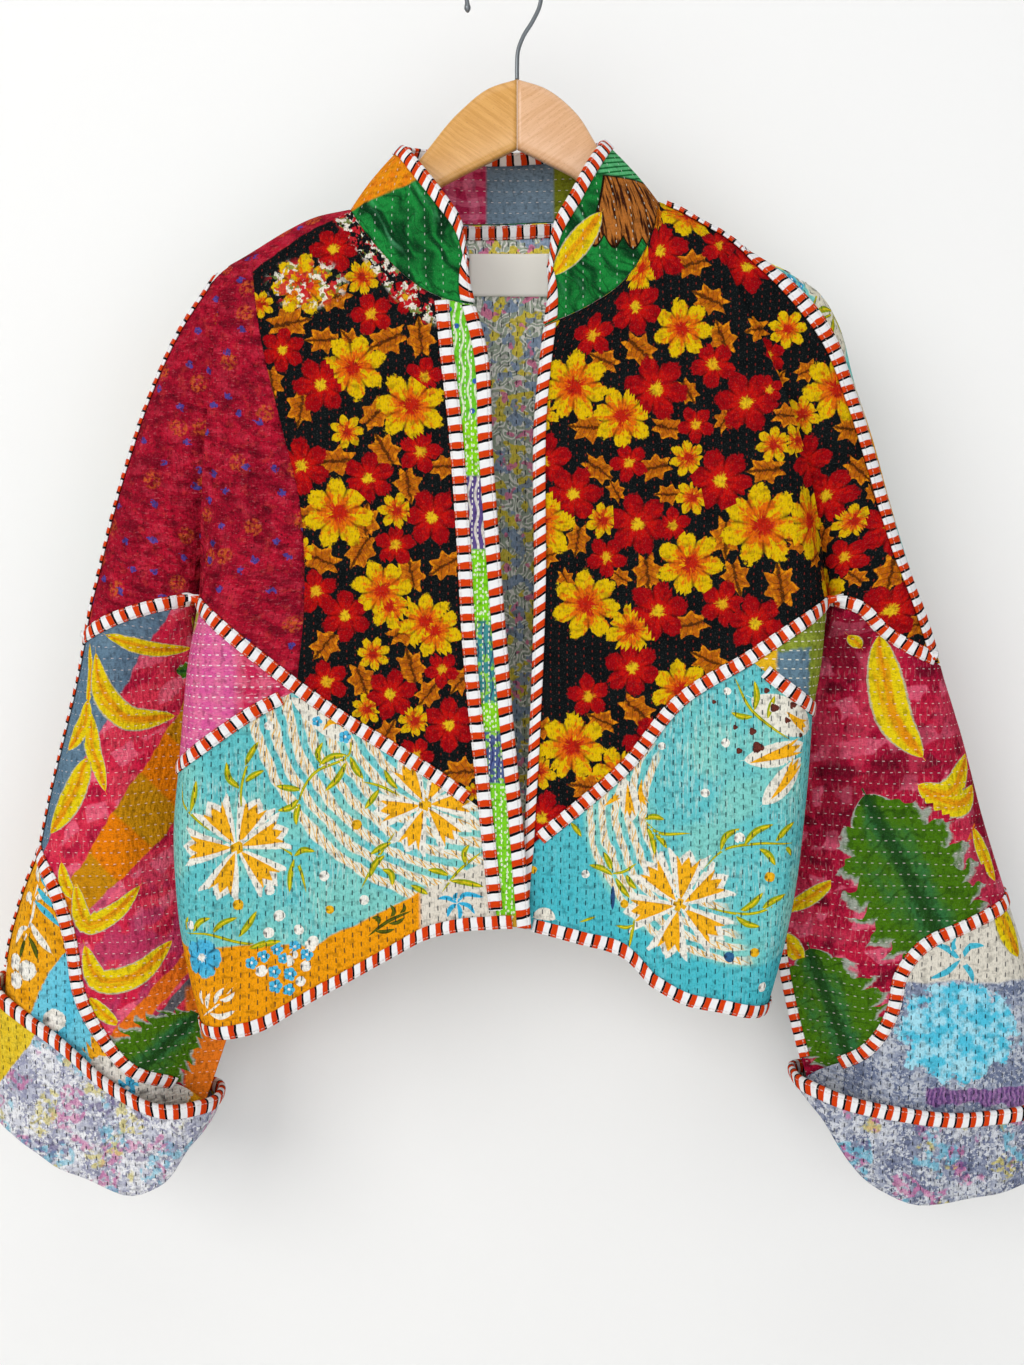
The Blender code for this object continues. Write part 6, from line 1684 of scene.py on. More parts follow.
def mottled(u, v, first, second, third):
    """Speckled blots, as on the reused sari of the cuffs."""
    grain = noise(u, v, 3.4, 3, 4.0, 0.7)
    wide = noise(u, v * 0.7, 22.0, 16, 3.0, 0.6) - 0.5
    colour = mix(rise(grain + wide * 0.7, 0.42, 0.56), first, second)
    return mix(rise(noise(u, v, 9, 6, 3.0, 0.6), 0.5, 0.58) * 0.7, colour, third)


def right_end_print(u, v):
    """Grey speckles, a cream top, a ragged cyan pool and a strip of violet stripes."""
    grey = mottled(u, v, "#68738f", "#bfc4ce", "#8791a8")
    line = v + (noise(u, v, 26, 9) - 0.5) * 8.0
    colour = mix(rise(line, -793, -790), grey, "#dcd6c8")
    away_u, away_v = (u - 360.0) / 47.0, (v + 833.0) / 40.0
    blot = away_u * away_u + away_v * away_v + (noise(u, v, 16, 5, 4.0, 0.65) - 0.5) * 1.9
    pool = mix(rise(noise(u, v, 13, 8, 4.0, 0.65), 0.4, 0.62), "#4fbfdc", "#a4dcec")
    colour = mix(rise(blot, 1.05, 0.85) * rise(line, -788, -794), colour, pool)
    rough_u = u + (noise(u, v, 7, 12) - 0.5) * 6.0
    stripes = rise(calc("SINE", rough_u * 1.6), -0.1, 0.3)
    strip = between(v + (noise(u, v, 14, 3) - 0.5) * 10.0, -893, -878, 1.0) * rise(u, 334, 337)
    colour = mix(strip * 0.85, colour, mix(stripes, "#5c3070", "#94609c"))
    return layered(u, v, colour)


def cuff_print(side):
    """Lavender and white blots with loose pink, cyan and yellow flowers."""
    def colours(u, v):
        """The print of this side's cuff."""
        if side == "left":
            colour = mottled(u, v, "#9a9cb4", "#ececef", "#c2c4d2")
        else:
            colour = mottled(u, v, "#6c7490", "#d2d5dc", "#8f97ae")
        for seed, cell, low, code in ((2, 6.0, 0.58, "#d0609c"), (5, 7.0, 0.58, "#6cc4dc"),
                                      (8, 6.0, 0.6, "#dccc4c"), (12, 5.0, 0.62, "#54407c")):
            region = rise(noise(u, v, 30, seed, 1.0), low, low + 0.05)
            colour = mix(region * rise(noise(u, v, cell, seed + 20, 3.0), 0.45, 0.55) * 0.6, colour, code)
        if side == "left":
            corner = right_of(u, v, -376, -816, -412, -858)
            colour = mix(corner, colour, mix(noise(u, v, 6, 9), "#dcb414", "#ecd040"))
        return colour
    return colours


def green_print(u, v):
    """Slanting brush strokes in deep green, with dark lines and pale streaks."""
    bent = u * 0.8 + v * 0.5 + (noise(u, v, 30, 3, 1.0) - 0.5) * 24.0
    stroke = noise(bent, (v - u * 0.4) * 0.25, 12.0, 5, 2.0, 0.5)
    colour = mix(rise(stroke, 0.36, 0.6), "#0a3c1c", "#1c8238")
    lines = rise(size_of(noise(bent, v * 0.3, 17.0, 11, 1.0) - 0.5), 0.02, 0.0)
    colour = mix(lines * 0.6, colour, "#06220f")
    return mix(rise(noise(bent, v * 0.2, 12.0, 8, 2.0), 0.58, 0.8) * 0.5, colour, "#5cbc80")


def collar_left_print(u, v):
    """The collar's green, with orange along its top."""
    colour = green_print(u, v)
    top = rise(v + (noise(u, v, 12, 2) - 0.5) * 5.0 - u * 0.33, -157, -154)
    return mix(top, colour, mix(noise(u, v, 6, 4), "#e8a010", "#e06a14"))


def collar_right_print(u, v):
    """The collar's green with a dark-edged brown feather and a striped green wing above it."""
    colour = green_print(u, v)
    feather = noise(u + v * 0.16, v * 0.12, 2.6, 6, 2.0)
    brown = mix(rise(feather, 0.38, 0.56), "#3a1a0c", "#b06a2c")
    edge = v + size_of(calc("SINE", u * 0.21)) * rise(v, -195, -212) * 9.0 - 4.0
    colour = mix(between(edge, -224, -176, 0.6) * rise(u - v * 0.3, 129, 130), colour, "#1c0c04")
    colour = mix(between(edge, -222, -178, 0.6) * rise(u - v * 0.3, 131, 132), colour, brown)
    wing = mix(rise(calc("SINE", v * 1.6 - u * 0.4), 0.2, 0.6), "#5cb878", "#1a6a34")
    colour = mix(rise(edge, -178, -174) * rise(u, 70, 76), colour, wing)
    return layered(u, v, colour)


def sage_print(u, v):
    """The pale reused cotton that shows inside: worn rings, sage and yellow blots."""
    rings = rise(calc("SINE", noise(u, v, 15, 3, 1.0) * 46.0), 0.0, 0.6)
    colour = mix(rings, "#b4c2ae", "#fbfbf4")
    colour = mix(rise(noise(u, v, 16, 6, 2.0), 0.54, 0.57) * 0.9, colour, "#f4de3c")
    colour = mix(rise(noise(u, v, 13, 9, 2.0), 0.58, 0.61) * 0.85, colour, "#8fa8cc")
    return mix(rise(noise(u, v, 12, 12, 2.0), 0.64, 0.67) * 0.9, colour, "#f48ab4")


def pale_print(u, v):
    """A pale cotton between cream and sage, under its motifs."""
    colour = mix(rise(noise(u, v, 10, 2, 3.0), 0.4, 0.6), "#d2cdb8", "#b9c2b2")
    return layered(u, v, colour)


def collar_inside_print(u, v):
    """Pink checks, then slate, then olive, from left to right."""
    colour = mix(plaid_checks(u, v, 16, 4), "#b82a54", "#dc7090")
    colour = mix(rise(u, -16, -13), colour, mix(noise(u, v, 5, 3, 3.0), "#5c7488", "#7f94a4"))
    return mix(rise(u, 38, 41), colour, mix(noise(u, v, 8, 3), "#5c6414", "#8a9428"))


def striped(name, period, slant):
    """Bias binding striped across: a white, a red and a thin black block in each repeat, topstitched."""
    made, tree, shader = new_surface(name, 0.85)
    along, across, _ = split(tree, add(tree, "ShaderNodeUVMap", uv_map="cloth").outputs[0])
    bent = along + across * slant + (noise(along, across, 9.0, 1, 1.0) - 0.5) * 1.6
    place = fraction(bent / period)
    rough = (noise(along, across, 1.1, 2, 1.0) - 0.5) * 0.03
    red = between(place + rough, 0.44, 0.84, 0.02)
    black = rise(place + rough, 0.825, 0.845) * rise(place, 1.0, 0.98)
    colour = mix(red, mix(noise(along, across, 5.0, 4), "#efeeee", "#e2e2e4"),
                 mix(noise(along, across, 3.0, 5, 3.0), "#c23410", "#d8430f"))
    colour = mix(black, colour, "#0b0e13")
    seam_at = size_of(size_of(across) - 4.1)
    thread = rise(seam_at, 0.5, 0.25) * between(fraction(along / 3.2), 0.1, 0.75, 0.06)
    colour = mix(thread * 0.5, colour, "#d8c8c0")
    groove = rise(seam_at, 1.1, 0.0)
    weave = noise(along, across, 0.7, 6, 1.0) * 0.12 + noise(along, across * 0.4, 2.3, 7, 1.0) * 0.5
    finish_cloth(tree, shader, colour, weave - groove * 0.35 - thread * 0.1)
    return made


FLORAL_ROWS = ("#a03024", 6.4, 1.8, 3.8, 0.5, False, 0.45)
PLAID_ROWS = ("#f4e4e0", 9.0, 2.0, 4.0, 0.7, True, 0.5, 0.6)
LEAF_ROWS = ("#dfe8dc", 13.0, 1.8, 4.2, 0.45, False, 0.6, 0.5)
crimson = kantha("crimson", crimson_print, "#6c0e20", 5.5, 2.4, 2.6, 1.5, False, 0.5, pucker=1.8)
floral = kantha("black_floral", floral_print, *FLORAL_ROWS)
floral_left_cloth = kantha("left_black_floral", floral_left_print, *FLORAL_ROWS)
lime = kantha("lime_patch", lime_print, "#f2f2e6", 4.4, 2.2, 2.0, 0.5)
pink = kantha("pink_plaid", pink_print, "#f4e8e8", 8.0, 2.6, 3.6, 0.5, True)
turquoise = kantha("turquoise_flower", turquoise_print, "#16242e", 6.6, 3.8, 4.4, 0.55)
olive = kantha("slate_olive", slate_print, "#e8e4d4", 7.0, 2.6, 3.2, 0.5, True)
ochre = kantha("ochre_flower", back_print, "#16242e", 6.6, 3.8, 4.4, 0.55)
pale = kantha("pale_print", pale_print, "#20242c", 6.6, 3.8, 4.4, 0.55)
lining = kantha("sage_print", sage_print, "#2a2e36", 6.6, 3.6, 4.2, 0.5)
plaid = {
    "left": kantha("left_red_plaid", left_forearm_print, *PLAID_ROWS),
    "right": kantha("right_red_plaid", right_forearm_print, *PLAID_ROWS),
}
end_print = {
    "left": kantha("ochre_sprig", left_end_print, "#1c2230", 7.0, 3.2, 4.0, 0.55),
    "right": kantha("cream_blot", right_end_print, "#1c2230", 7.4, 3.6, 4.6, 0.6),
}
mottle = {side: kantha(side + "_lavender_blot", cuff_print(side), "#1a1c26", 7.6, 3.2, 5.0, 0.9, rib=0.7)
          for side in SIDES}
green = {
    "collar_left": kantha("left_green_leaf", collar_left_print, *LEAF_ROWS),
    "collar_back": kantha("ochre_neck", green_print, *LEAF_ROWS),
    "collar_right": kantha("right_green_leaf", collar_right_print, *LEAF_ROWS),
}
collar_inside = kantha("pink_slate", collar_inside_print, "#f0e8e4", 9.0, 2.0, 4.0, 0.4, True, 0.6, 0.55)
stripe = striped("striped_bias_binding", 11.0, 0.0)
wide_stripe = striped("wide_striped_bias_binding", 12.9, 0.0)
slanted_stripe = striped("slanted_striped_bias_binding", 12.9, 0.3)
cream = plain("cream_label_cotton", "#fffdf4")
beech = wood("golden_beech", "#dda557", "#cc9240", -0.7)
pale_beech = wood("pale_beech", "#e2b286", "#d6a272", 0.7)
steel = plain("steel_wire", "#7c8184", 0.35, 1.0)


# Flat sizes of the cut pieces, columns width and length in millimetres and area in square centimetres
CUT_PIECES = {
    "back_skirt": (513, 336, 1477), "back_upper": (678, 358, 1978), "collar_back": (245, 60, 133),
    "collar_left": (96, 127, 76), "collar_right": (88, 147, 85), "cuff_left": (410, 170, 658),
    "cuff_right": (430, 130, 538), "front_left_crimson": (180, 335, 424),
    "front_left_floral": (178, 461, 521), "front_left_pink_triangle": (97, 132, 93),
    "front_left_placket": (66, 476, 132), "front_left_skirt": (254, 265, 519),
    "front_right_floral": (326, 498, 922), "front_right_patch": (69, 87, 51),
    "front_right_skirt": (231, 273, 467), "neck_label": (65, 34, None),
    "sleeve_left_back_end": (160, 220, 136), "sleeve_left_back_forearm": (150, 414, 498),
    "sleeve_left_front_end": (160, 220, 140), "sleeve_left_front_forearm": (150, 414, 479),
    "sleeve_right_back_end": (190, 180, 243), "sleeve_right_back_forearm": (183, 392, 520),
    "sleeve_right_front_end": (190, 180, 248), "sleeve_right_front_forearm": (183, 392, 500),
}

# Bindings' whole strips, their lengths in millimetres under their cut width in metres
CUT_STRIPS = {
    0.0245: {
        "back_hem": 486, "collar": 467, "left_cuff": 452, "left_front_edge": 473, "left_hem": 283,
        "right_cuff": 500, "right_front_edge": 394, "right_hem": 229,
    },
    0.0112: {
        "back_neck": 236, "left_curve": 264, "left_diagonal": 314, "left_elbow": 136,
        "left_elbow_back": 110, "left_placket": 486, "left_second_diagonal": 135, "right_curve": 242,
        "right_diagonal": 343, "right_elbow": 125, "right_elbow_back": 123, "right_inner_sleeve": 484,
        "right_second_diagonal": 84,
    },
    0.013: {
        "left_arm": 611, "right_arm": 479,
    },
}
CUTS = {name: (wide / 1000, long / 1000, area and area / 10000)
        for name, (wide, long, area) in CUT_PIECES.items()}
for wide, lengths in CUT_STRIPS.items():
    for name, long in lengths.items():
        CUTS["binding_" + name] = (wide, long / 1000, None)

PIECES = {}


def dress(name, made, outside, inside=None):
    """Gives a piece its materials and lets it stand for the solid of the same name."""
    made.data.materials.append(outside)
    if inside is not None:
        made.data.materials.append(inside)
    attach(made, "root")
    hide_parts(name)
    PIECES[name] = made


def cloth(name, piece, outside, inside=lining, closed=False):
    """A piece of quilted cloth: a wall on its grid, printed outside and lined inside."""
    dress(name, wall("cloth_" + name, *piece, closed=closed), outside, inside)


def seam(name, route, tree, trim=(0.0, 0.0), slack=0.0, surface=stripe, width=BINDING_WIDTH):
    """A striped strip along a route over a seam, trimmed at its ends."""
    made = seam_binding("cloth_binding_" + name, *route, tree, trim, slack, width)
    dress("binding_" + name, made, surface)


def edge(name, parts, trim=(0.0, 0.0), closed=False, surface=stripe):
    """A striped strip folded over the free edge of pieces that follow each other."""
    dress("binding_" + name, edge_binding("cloth_binding_" + name, parts, trim, closed), surface)


# Cloth walls
for name, piece, outside in (
        ("front_left_crimson", red_left, crimson), ("front_left_floral", floral_left, floral_left_cloth),
        ("front_left_placket", placket, lime), ("front_left_pink_triangle", triangle_left, pink),
        ("front_left_skirt", skirt_left, turquoise), ("front_right_floral", floral_right, floral),
        ("front_right_patch", triangle_right, olive), ("front_right_skirt", skirt_right, turquoise),
        ("back_upper", back_upper, ochre), ("back_skirt", back_skirt, pale)):
    cloth(name, piece, outside)
cuffs = {}
for side in SIDES:
    for face in FACES:
        stem = "sleeve_" + side + "_" + face
        cloth(stem + "_forearm", sleeve[side, face, "forearm"], plaid[side])
        cloth(stem + "_end", sleeve[side, face, "end"], end_print[side])
    points, normals = [smooth_rings(grid, CUFF_ROWS) for grid in build_cuff(side)]
    normals = unit(normals)
    cuffs[side] = (cuff_relief(points, normals), normals)
    cloth("cuff_" + side, cuffs[side], mottle[side], closed=True)
for name, start, stop in (("collar_left", 0, left_end + 1), ("collar_back", left_end, right_start + 1),
                          ("collar_right", right_start, None)):
    cloth(name, part_of((collar_points, collar_normals), start, stop), green[name], collar_inside)

# Striped bias bindings over the seams
body_tree = surface_tree([red_left, floral_left, placket, triangle_left, skirt_left, floral_right,
                          triangle_right, skirt_right])
seam("left_diagonal", follow(part_of(turned(red_left, "bottom"), COLUMNS_SLEEVE),
                             turned(floral_left, "bottom")), body_tree, (1.5, 14.5))
seam("left_second_diagonal", follow(turned(triangle_left, "bottom")), body_tree, (0.6, 7.4))
seam("left_placket", follow(turned(floral_left, "right"), turned(skirt_left, "right")), body_tree,
     (0.6, 11.6), surface=wide_stripe)
seam("right_diagonal", follow(part_of(turned(floral_right, "bottom"), COLUMNS_SLEEVE)), body_tree,
     (1.5, 14.0))
seam("right_second_diagonal", follow(turned(triangle_right, "bottom")), body_tree, (0.6, 7.4))
for side, upper in (("left", red_left), ("right", floral_right)):
    forearm, forearm_back, end = [sleeve[side, face, part] for face, part in
                                  (("front", "forearm"), ("back", "forearm"), ("front", "end"))]
    seam(side + "_elbow", follow(part_of(turned(upper, "bottom"), 0, COLUMNS_SLEEVE + 1)),
         surface_tree([upper, forearm]), (9.5, 2.0))
    seam(side + "_elbow_back", follow(forearm_back), surface_tree([back_upper, forearm_back]), (9.5, 14.0))
    seam(side + "_curve", follow(end), surface_tree([forearm, end]), (8.5 if side == "left" else 1.0, 32.0))
arm_tree = surface_tree([back_upper, red_left] +
                        [sleeve["left", face, part] for face in FACES for part in ("forearm", "end")])
seam("left_arm", follow(*[turned(piece, "left") for piece in (red_left, sleeve["left", "front", "forearm"],
                                                              sleeve["left", "front", "end"])],
                        reach=ARM_SHIFT, row=2), arm_tree, (0.6, 32.0), 0.3, width=ARM_BINDING_WIDTH)
shoulder_top = part_of(backwards(floral_right), COLUMNS_FRONT_RIGHT)
seam("right_arm", follow(shoulder_top, turned(floral_right, "left"), reach=ARM_SHIFT, row=2),
     surface_tree([back_upper, floral_right]), (2.0, 0.6), 0.6, width=ARM_BINDING_WIDTH)
seam("right_inner_sleeve", follow(turned(sleeve["right", "front", "forearm"], "right")),
     surface_tree([sleeve["right", face, "forearm"] for face in FACES]), (60.0, 16.0))

# Striped bindings folded over the free edges
edge("left_front_edge", [turned(placket, "right")], (0.5, 0.0), surface=slanted_stripe)
edge("right_front_edge", [turned(floral_right, "right"), turned(skirt_right, "right")], (0.5, 0.0),
     surface=wide_stripe)
edge("left_hem", [turned(skirt_left, "bottom"), turned(placket, "bottom")], (1.0, 11.8))
edge("right_hem", [turned(skirt_right, "bottom")], (1.0, 11.8))
edge("back_hem", [turned(back_skirt, "bottom")], (1.0, 1.0))
for side in SIDES:
    looped = [np.concatenate([grid, grid[:, :1]], axis=1)[::-1] for grid in cuffs[side]]
    edge(side + "_cuff", [looped], closed=True)

# Binding round the collar's two ends and top, its rails walked in from the edge
turned_grid = collar_points.transpose(1, 0, 2)
rim, rim_facing = [np.concatenate([grid[::-1, 0], grid[0, 1:-1], grid[:, -1]])
                   for grid in (collar_points, collar_normals)]
rails = []
for share in RAIL_SHARES:
    end_left = walk_in(turned_grid, RAIL_REACH * share)[::-1]
    end_right = walk_in(turned_grid[::-1], RAIL_REACH * share)
    top_inner = walk_in(collar_points, RAIL_REACH * share)
    corner_left = end_left[-1] + top_inner[0] - collar_points[0, 0]
    corner_right = end_right[0] + top_inner[-1] - collar_points[0, -1]
    rails.append(np.concatenate([end_left[:-1], [corner_left], top_inner[1:-1], [corner_right],
                                 end_right[1:]]))
dress("binding_collar", folded_binding("cloth_binding_collar", rim, rim_facing, rails,
                                       [rim_facing] * len(rails), (0.5, 0.5)), stripe)

# Strip over the back neck seam, inside
grid, normals = part_of(back_upper, neck_start + 1, neck_start + COLUMNS_NECK)
strip_shares = even(STEPS_NECK_STRIP)
strip = np.stack([walk_in(grid, NECK_STRIP_START + share * BINDING_WIDTH) for share in strip_shares])
strip_normals = -np.repeat(normals[:1], len(strip), axis=0)
crown = NECK_STRIP_CROWN * (1.0 - (2.0 * strip_shares - 1.0) ** 4)
strip = strip + (CLOTH + SEAT + BINDING_CLOTH + crown)[:, None, None] * strip_normals
along = np.concatenate([[0.0], np.cumsum(np.linalg.norm(np.diff(strip[0], axis=0), axis=1))])
across = (strip_shares[:, None] - 0.5) * BINDING_WIDTH
coordinates = np.stack(np.broadcast_arrays(along[None], across), axis=-1)
dress("binding_back_neck", wall("cloth_binding_back_neck", strip, strip_normals, BINDING_CLOTH,
                                coordinates=coordinates), stripe)

# Blank label on the inside of the back, below the neck binding
label_x = np.linspace(-LABEL_WIDTH / 2, LABEL_WIDTH / 2, COLUMNS_LABEL) + LABEL_CENTRE[0]
label_z = np.linspace(LABEL_HEIGHT / 2, -LABEL_HEIGHT / 2, ROWS_LABEL) + LABEL_CENTRE[1]
back_tree = surface_tree([back_upper])
label = np.zeros((ROWS_LABEL, COLUMNS_LABEL, 3))
for row, z in enumerate(label_z):
    for column, x in enumerate(label_x):
        seat = back_tree.ray_cast((x, LABEL_SEARCH_Y, z), (0.0, 1.0, 0.0))[0]
        label[row, column] = (seat[0], seat[1] - CLOTH - SEAT - LABEL_CLOTH - LABEL_GAP, seat[2])
label[..., 1] = np.minimum(label[..., 1], blurred(label[..., 1], 2))
facing = np.zeros_like(label)
facing[..., 1] = -1.0
dress("neck_label", wall("cloth_neck_label", label, facing, LABEL_CLOTH), cream, cream)

# Hanger
dress("hanger_left", hanger_arm("wood_hanger_left", HANGER_LEFT, -1.0), beech)
dress("hanger_right", hanger_arm("wood_hanger_right", HANGER_RIGHT, 1.0), pale_beech)
dress("hanger_hook", hook_wire("wire_hanger_hook"), steel)
for name, made in PIECES.items():
    name in CUTS


def star(x, z, size, turns):
    """Rows of a flower of notched petals that point at the given turns, in degrees."""
    rows = []
    for turn in turns:
        cosine, sine = math.cos(math.radians(turn)), math.sin(math.radians(turn))
        row = [PETAL_WIDTH * size]
        for share in PETAL_REACHES:
            row += [x + share * size * cosine, z + share * size * sine]
        rows.append(tuple(row))
    return [("ochre_petal", rows)]


def halo(groups):
    """Wider white petals behind those of a star."""
    wide = []
    for half, *points in [row for _, rows in groups for row in rows]:
        first, middle, last = np.reshape(points, (3, 2))
        reach = last - first
        wide.append((half * HALO_WIDTH, *(first - HALO_BACK * reach), *middle, *(last + HALO_AHEAD * reach)))
    return [("halo_petal", wide)]


def in_round(row, points, anchor, repeat):
    """A round motif's own coordinates at points, and how far the anchors lie outside it."""
    x, z, radius, turn, stretch = row + (0, 1.0)[len(row) - 3:]
    copy = 0.0 if repeat is None else np.round((anchor - (x, z)) / repeat) * repeat
    cosine, sine = math.cos(math.radians(turn)), math.sin(math.radians(turn))
    found = []
    for place in (points, anchor):
        away = place - copy - (x, z)
        forward = (away[..., 0] * cosine + away[..., 1] * sine) / radius
        sideways = (away[..., 1] * cosine - away[..., 0] * sine) / (radius * stretch)
        found.append(np.stack([forward, sideways], -1))
    own, middle = found
    return own, (np.hypot(middle[..., 0], middle[..., 1]) - 1.0) * radius


def in_blade(row, points, anchor, repeat):
    """A blade's own coordinates at points, from -1 to 1 along its bent spine and across it."""
    half, spine = row[0], np.reshape(row[1:], (-1, 2))
    if repeat is not None:
        centre = np.mean(spine, axis=0)
        copy = np.round((anchor - centre) / repeat) * repeat
        points = points - copy
        anchor = anchor - copy
    spine = smooth_line(spine, even(STEPS_SPINE))
    steps = np.linalg.norm(np.diff(spine, axis=0), axis=1)
    along = np.concatenate([[0.0], np.cumsum(steps)])
    own = np.zeros(points.shape)
    best = np.full(points.shape[:-1], np.inf)
    for step in range(len(steps)):
        run = (spine[step + 1] - spine[step]) / steps[step]
        away = points - spine[step]
        forward = away @ run
        low = -np.inf if step == 0 else 0.0
        high = np.inf if step == len(steps) - 1 else steps[step]
        held = np.clip(forward, low, high)
        gap = np.hypot(*np.moveaxis(away - held[..., None] * run, -1, 0))
        side = np.sign(away[..., 1] * run[0] - away[..., 0] * run[1])
        closer = gap < best
        best = np.where(closer, gap, best)
        p = (along[step] + held) / along[-1] * 2.0 - 1.0
        own[closer] = np.stack([p, side * gap / half], axis=-1)[closer]
    reach = np.abs(own[..., 0]).mean(axis=1)
    beyond = np.maximum(reach - 1.0, 0.0) * along[-1] / 2
    return own, best.mean(axis=1) - half * np.sqrt(np.maximum(1.05 - reach ** 2, 0.0)) + beyond


def place_motifs(name, layer, rounds, blades, repeat=None):
    """Gives each face of a piece the motif that it lies deepest in, as attributes at its corners."""
    mesh = PIECES[name].data
    count = len(mesh.polygons)
    flat = np.zeros(count * 8, dtype=np.float32)
    mesh.uv_layers["cloth"].data.foreach_get("uv", flat)
    corners = flat.reshape(count, 4, 2).astype(float)
    middle = corners.mean(axis=1, keepdims=True)
    best = np.full(count, MOTIF_REACH)
    place = np.zeros((count, 4, 3))
    form = np.zeros((count, 4, 3))
    tints = np.zeros((3, count, 4, 4))
    shapes = [(in_blade, style, row, np.reshape(row[1:], (-1, 2)), row[0])
              for style, rows in blades for row in rows]
    shapes += [(in_round, style, row, [row[:2]], row[2]) for style, rows in rounds for row in rows]
    for place_in, style, row, span, reach in shapes:
        near = np.arange(count)
        if repeat is None:
            low = np.min(span, axis=0) - reach - MOTIF_MARGIN
            high = np.max(span, axis=0) + reach + MOTIF_MARGIN
            near = np.flatnonzero(((middle[:, 0] > low) & (middle[:, 0] < high)).all(axis=1))
        if not len(near):
            continue
        own, gap = place_in(row, corners[near], middle[near], repeat)
        gap = gap.reshape(len(near), -1).mean(axis=1)
        chosen = gap < best[near]
        faces = near[chosen]
        best[faces] = gap[chosen]
        kind, lobes, notch, heart, outline, outer, inner, *own_core = STYLES[style]
        core = own_core[0] if own_core else inner
        place[faces, :, :2] = own[chosen]
        place[faces, :, 2] = kind
        form[faces] = (lobes, notch, heart)
        for tint, code, alpha in zip(tints, (outer, inner, core), (outline, 1.0, 1.0)):
            tint[faces] = linear(code)[:3] + [alpha]
    for suffix, values, kind in (("place", place, "FLOAT_VECTOR"), ("form", form, "FLOAT_VECTOR"),
                                 ("outer", tints[0], "FLOAT_COLOR"), ("inner", tints[1], "FLOAT_COLOR"),
                                 ("core", tints[2], "FLOAT_COLOR")):
        made = mesh.attributes.new(layer + "_" + suffix, kind, "CORNER")
        key = "color" if kind == "FLOAT_COLOR" else "vector"
        made.data.foreach_set(key, values.astype(np.float32).ravel())


for layer, suffix in LAYERS:
    place_motifs("front_right_floral", layer, ROUNDS["black_floral" + suffix], [], FLORAL_REPEAT)
    place_motifs("front_left_floral", layer, ROUNDS["floral_left" + suffix], [])
place_motifs("collar_right", "over", [], [("gold_petal", [(9.5, 36, -250, 53, -229, 73, -203)])])
stars = {
    "left": star(-203, -679, 37, (120, 65, 20, -45, -112, 178)) +
            star(-60, -647, 35, (120, 60, 5, -50, -112, 188)),
    "right": star(134, -723, 38, (80, 32, -38, -103, 190, 130)),
}
hearts = [("ochre_dot", [(-203, -679, 5.5), (-60, -647, 5.5), (134, -723, 5.5)])]
for side in SIDES:
    print_name = "skirt_" + side
    place_motifs("front_" + side + "_skirt", "over", ROUNDS[print_name] + hearts,
                 BLADES[print_name] + stars[side])
    place_motifs("front_" + side + "_skirt", "under", [], BLADES[print_name + "_under"] + halo(stars[side]))
vine = [("vine", BLADES["skirt_left"][0][1][:VINE_STROKES])]
for name in ("back_upper", "back_skirt"):
    place_motifs(name, "over", ROUNDS["skirt_left"], vine + stars["left"][:1], BACK_REPEAT)
    place_motifs(name, "under", [], halo(stars["left"][:1]), BACK_REPEAT)
for side in SIDES:
    for face in FACES:
        for part in ("forearm", "end"):
            for layer, suffix in LAYERS:
                key = part + "_" + side + suffix
                place_motifs("sleeve_" + side + "_" + face + "_" + part, layer,
                             ROUNDS.get(key, []), BLADES.get(key, []))


# Room, light and camera
def plane(name, corners, surface):
    """A flat part of the room."""
    points = np.array(corners, dtype=float)
    made = add_mesh(name, points, np.array([[0, 1, 2, 3]]), points[:, :2])
    made.data.materials.append(surface)


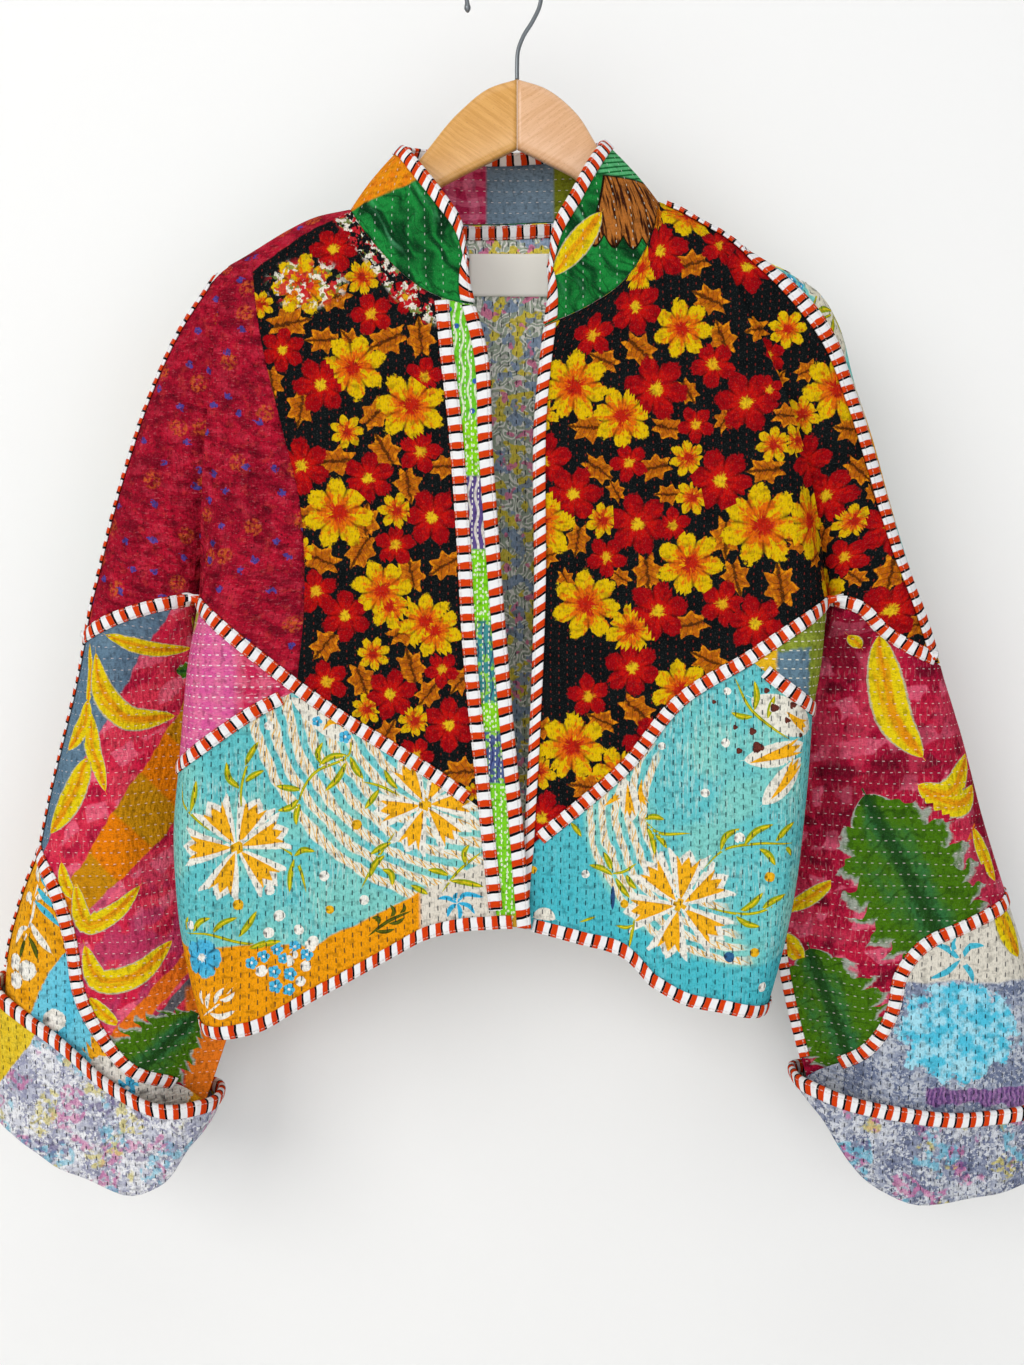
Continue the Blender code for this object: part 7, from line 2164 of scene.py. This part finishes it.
wall_paint = plain("white_wall_paint", "#f3f3f2", 0.8)
floor_paint = plain("pale_floor", "#e6e4e0", 0.8)
plane("backdrop", [(-ROOM_REACH, WALL_Y, FLOOR_LEVEL), (ROOM_REACH, WALL_Y, FLOOR_LEVEL),
                   (ROOM_REACH, WALL_Y, ROOM_TOP), (-ROOM_REACH, WALL_Y, ROOM_TOP)], wall_paint)
plane("floor", [(-ROOM_REACH, -ROOM_REACH, FLOOR_LEVEL), (ROOM_REACH, -ROOM_REACH, FLOOR_LEVEL),
                (ROOM_REACH, WALL_Y, FLOOR_LEVEL), (-ROOM_REACH, WALL_Y, FLOOR_LEVEL)], floor_paint)


def area_light(name, place, aim, size, power, tint):
    """A soft rectangular light turned towards its aim."""
    lamp = bpy.data.lights.new(name, "AREA")
    lamp.shape = "RECTANGLE"
    lamp.size, lamp.size_y = size
    lamp.energy = power
    lamp.color = tint
    made = bpy.data.objects.new(name, lamp)
    made.location = place
    direction = Vector(aim) - Vector(place)
    made.rotation_euler = direction.to_track_quat("-Z", "Y").to_euler()
    bpy.context.scene.collection.objects.link(made)


# Columns name, place, aim, size, power and tint
for row in (
        ("window_light", (-2.2, -3.0, 0.6), (0.0, 0.0, -0.5), (2.6, 2.6), 74.0, (1.0, 0.99, 0.97)),
        ("fill_light", (2.4, -2.8, -0.3), (0.0, 0.0, -0.5), (2.6, 2.6), 19.5, (0.96, 0.98, 1.0)),
        ("front_light", (0.1, -2.4, 0.1), (0.0, 0.0, -0.3), (1.0, 1.0), 8.5, (1.0, 1.0, 1.0)),
        ("low_light", (0.0, -2.6, -1.6), (0.0, 0.0, -0.8), (3.0, 1.0), 11.0, (1.0, 1.0, 1.0)),
        ("top_light", (0.2, -1.4, 1.9), (0.0, 0.0, -0.4), (2.4, 1.2), 12.5, (1.0, 1.0, 1.0))):
    area_light(*row)

scene = bpy.context.scene
world = bpy.data.worlds.new("studio")
world.use_nodes = True
background = world.node_tree.nodes["Background"]
background.inputs["Color"].default_value = WORLD_COLOUR
background.inputs["Strength"].default_value = WORLD_STRENGTH
scene.world = world
scene.view_settings.view_transform = "Standard"

camera = bpy.data.cameras.new("camera")
camera.lens = CAMERA_LENS
camera.sensor_width = CAMERA_SENSOR
camera.dof.use_dof = False
viewer = bpy.data.objects.new("camera", camera)
viewer.location = CAMERA_PLACE
viewer.rotation_euler = (math.radians(90.0 - CAMERA_DOWN), 0.0, 0.0)
scene.collection.objects.link(viewer)
scene.camera = viewer
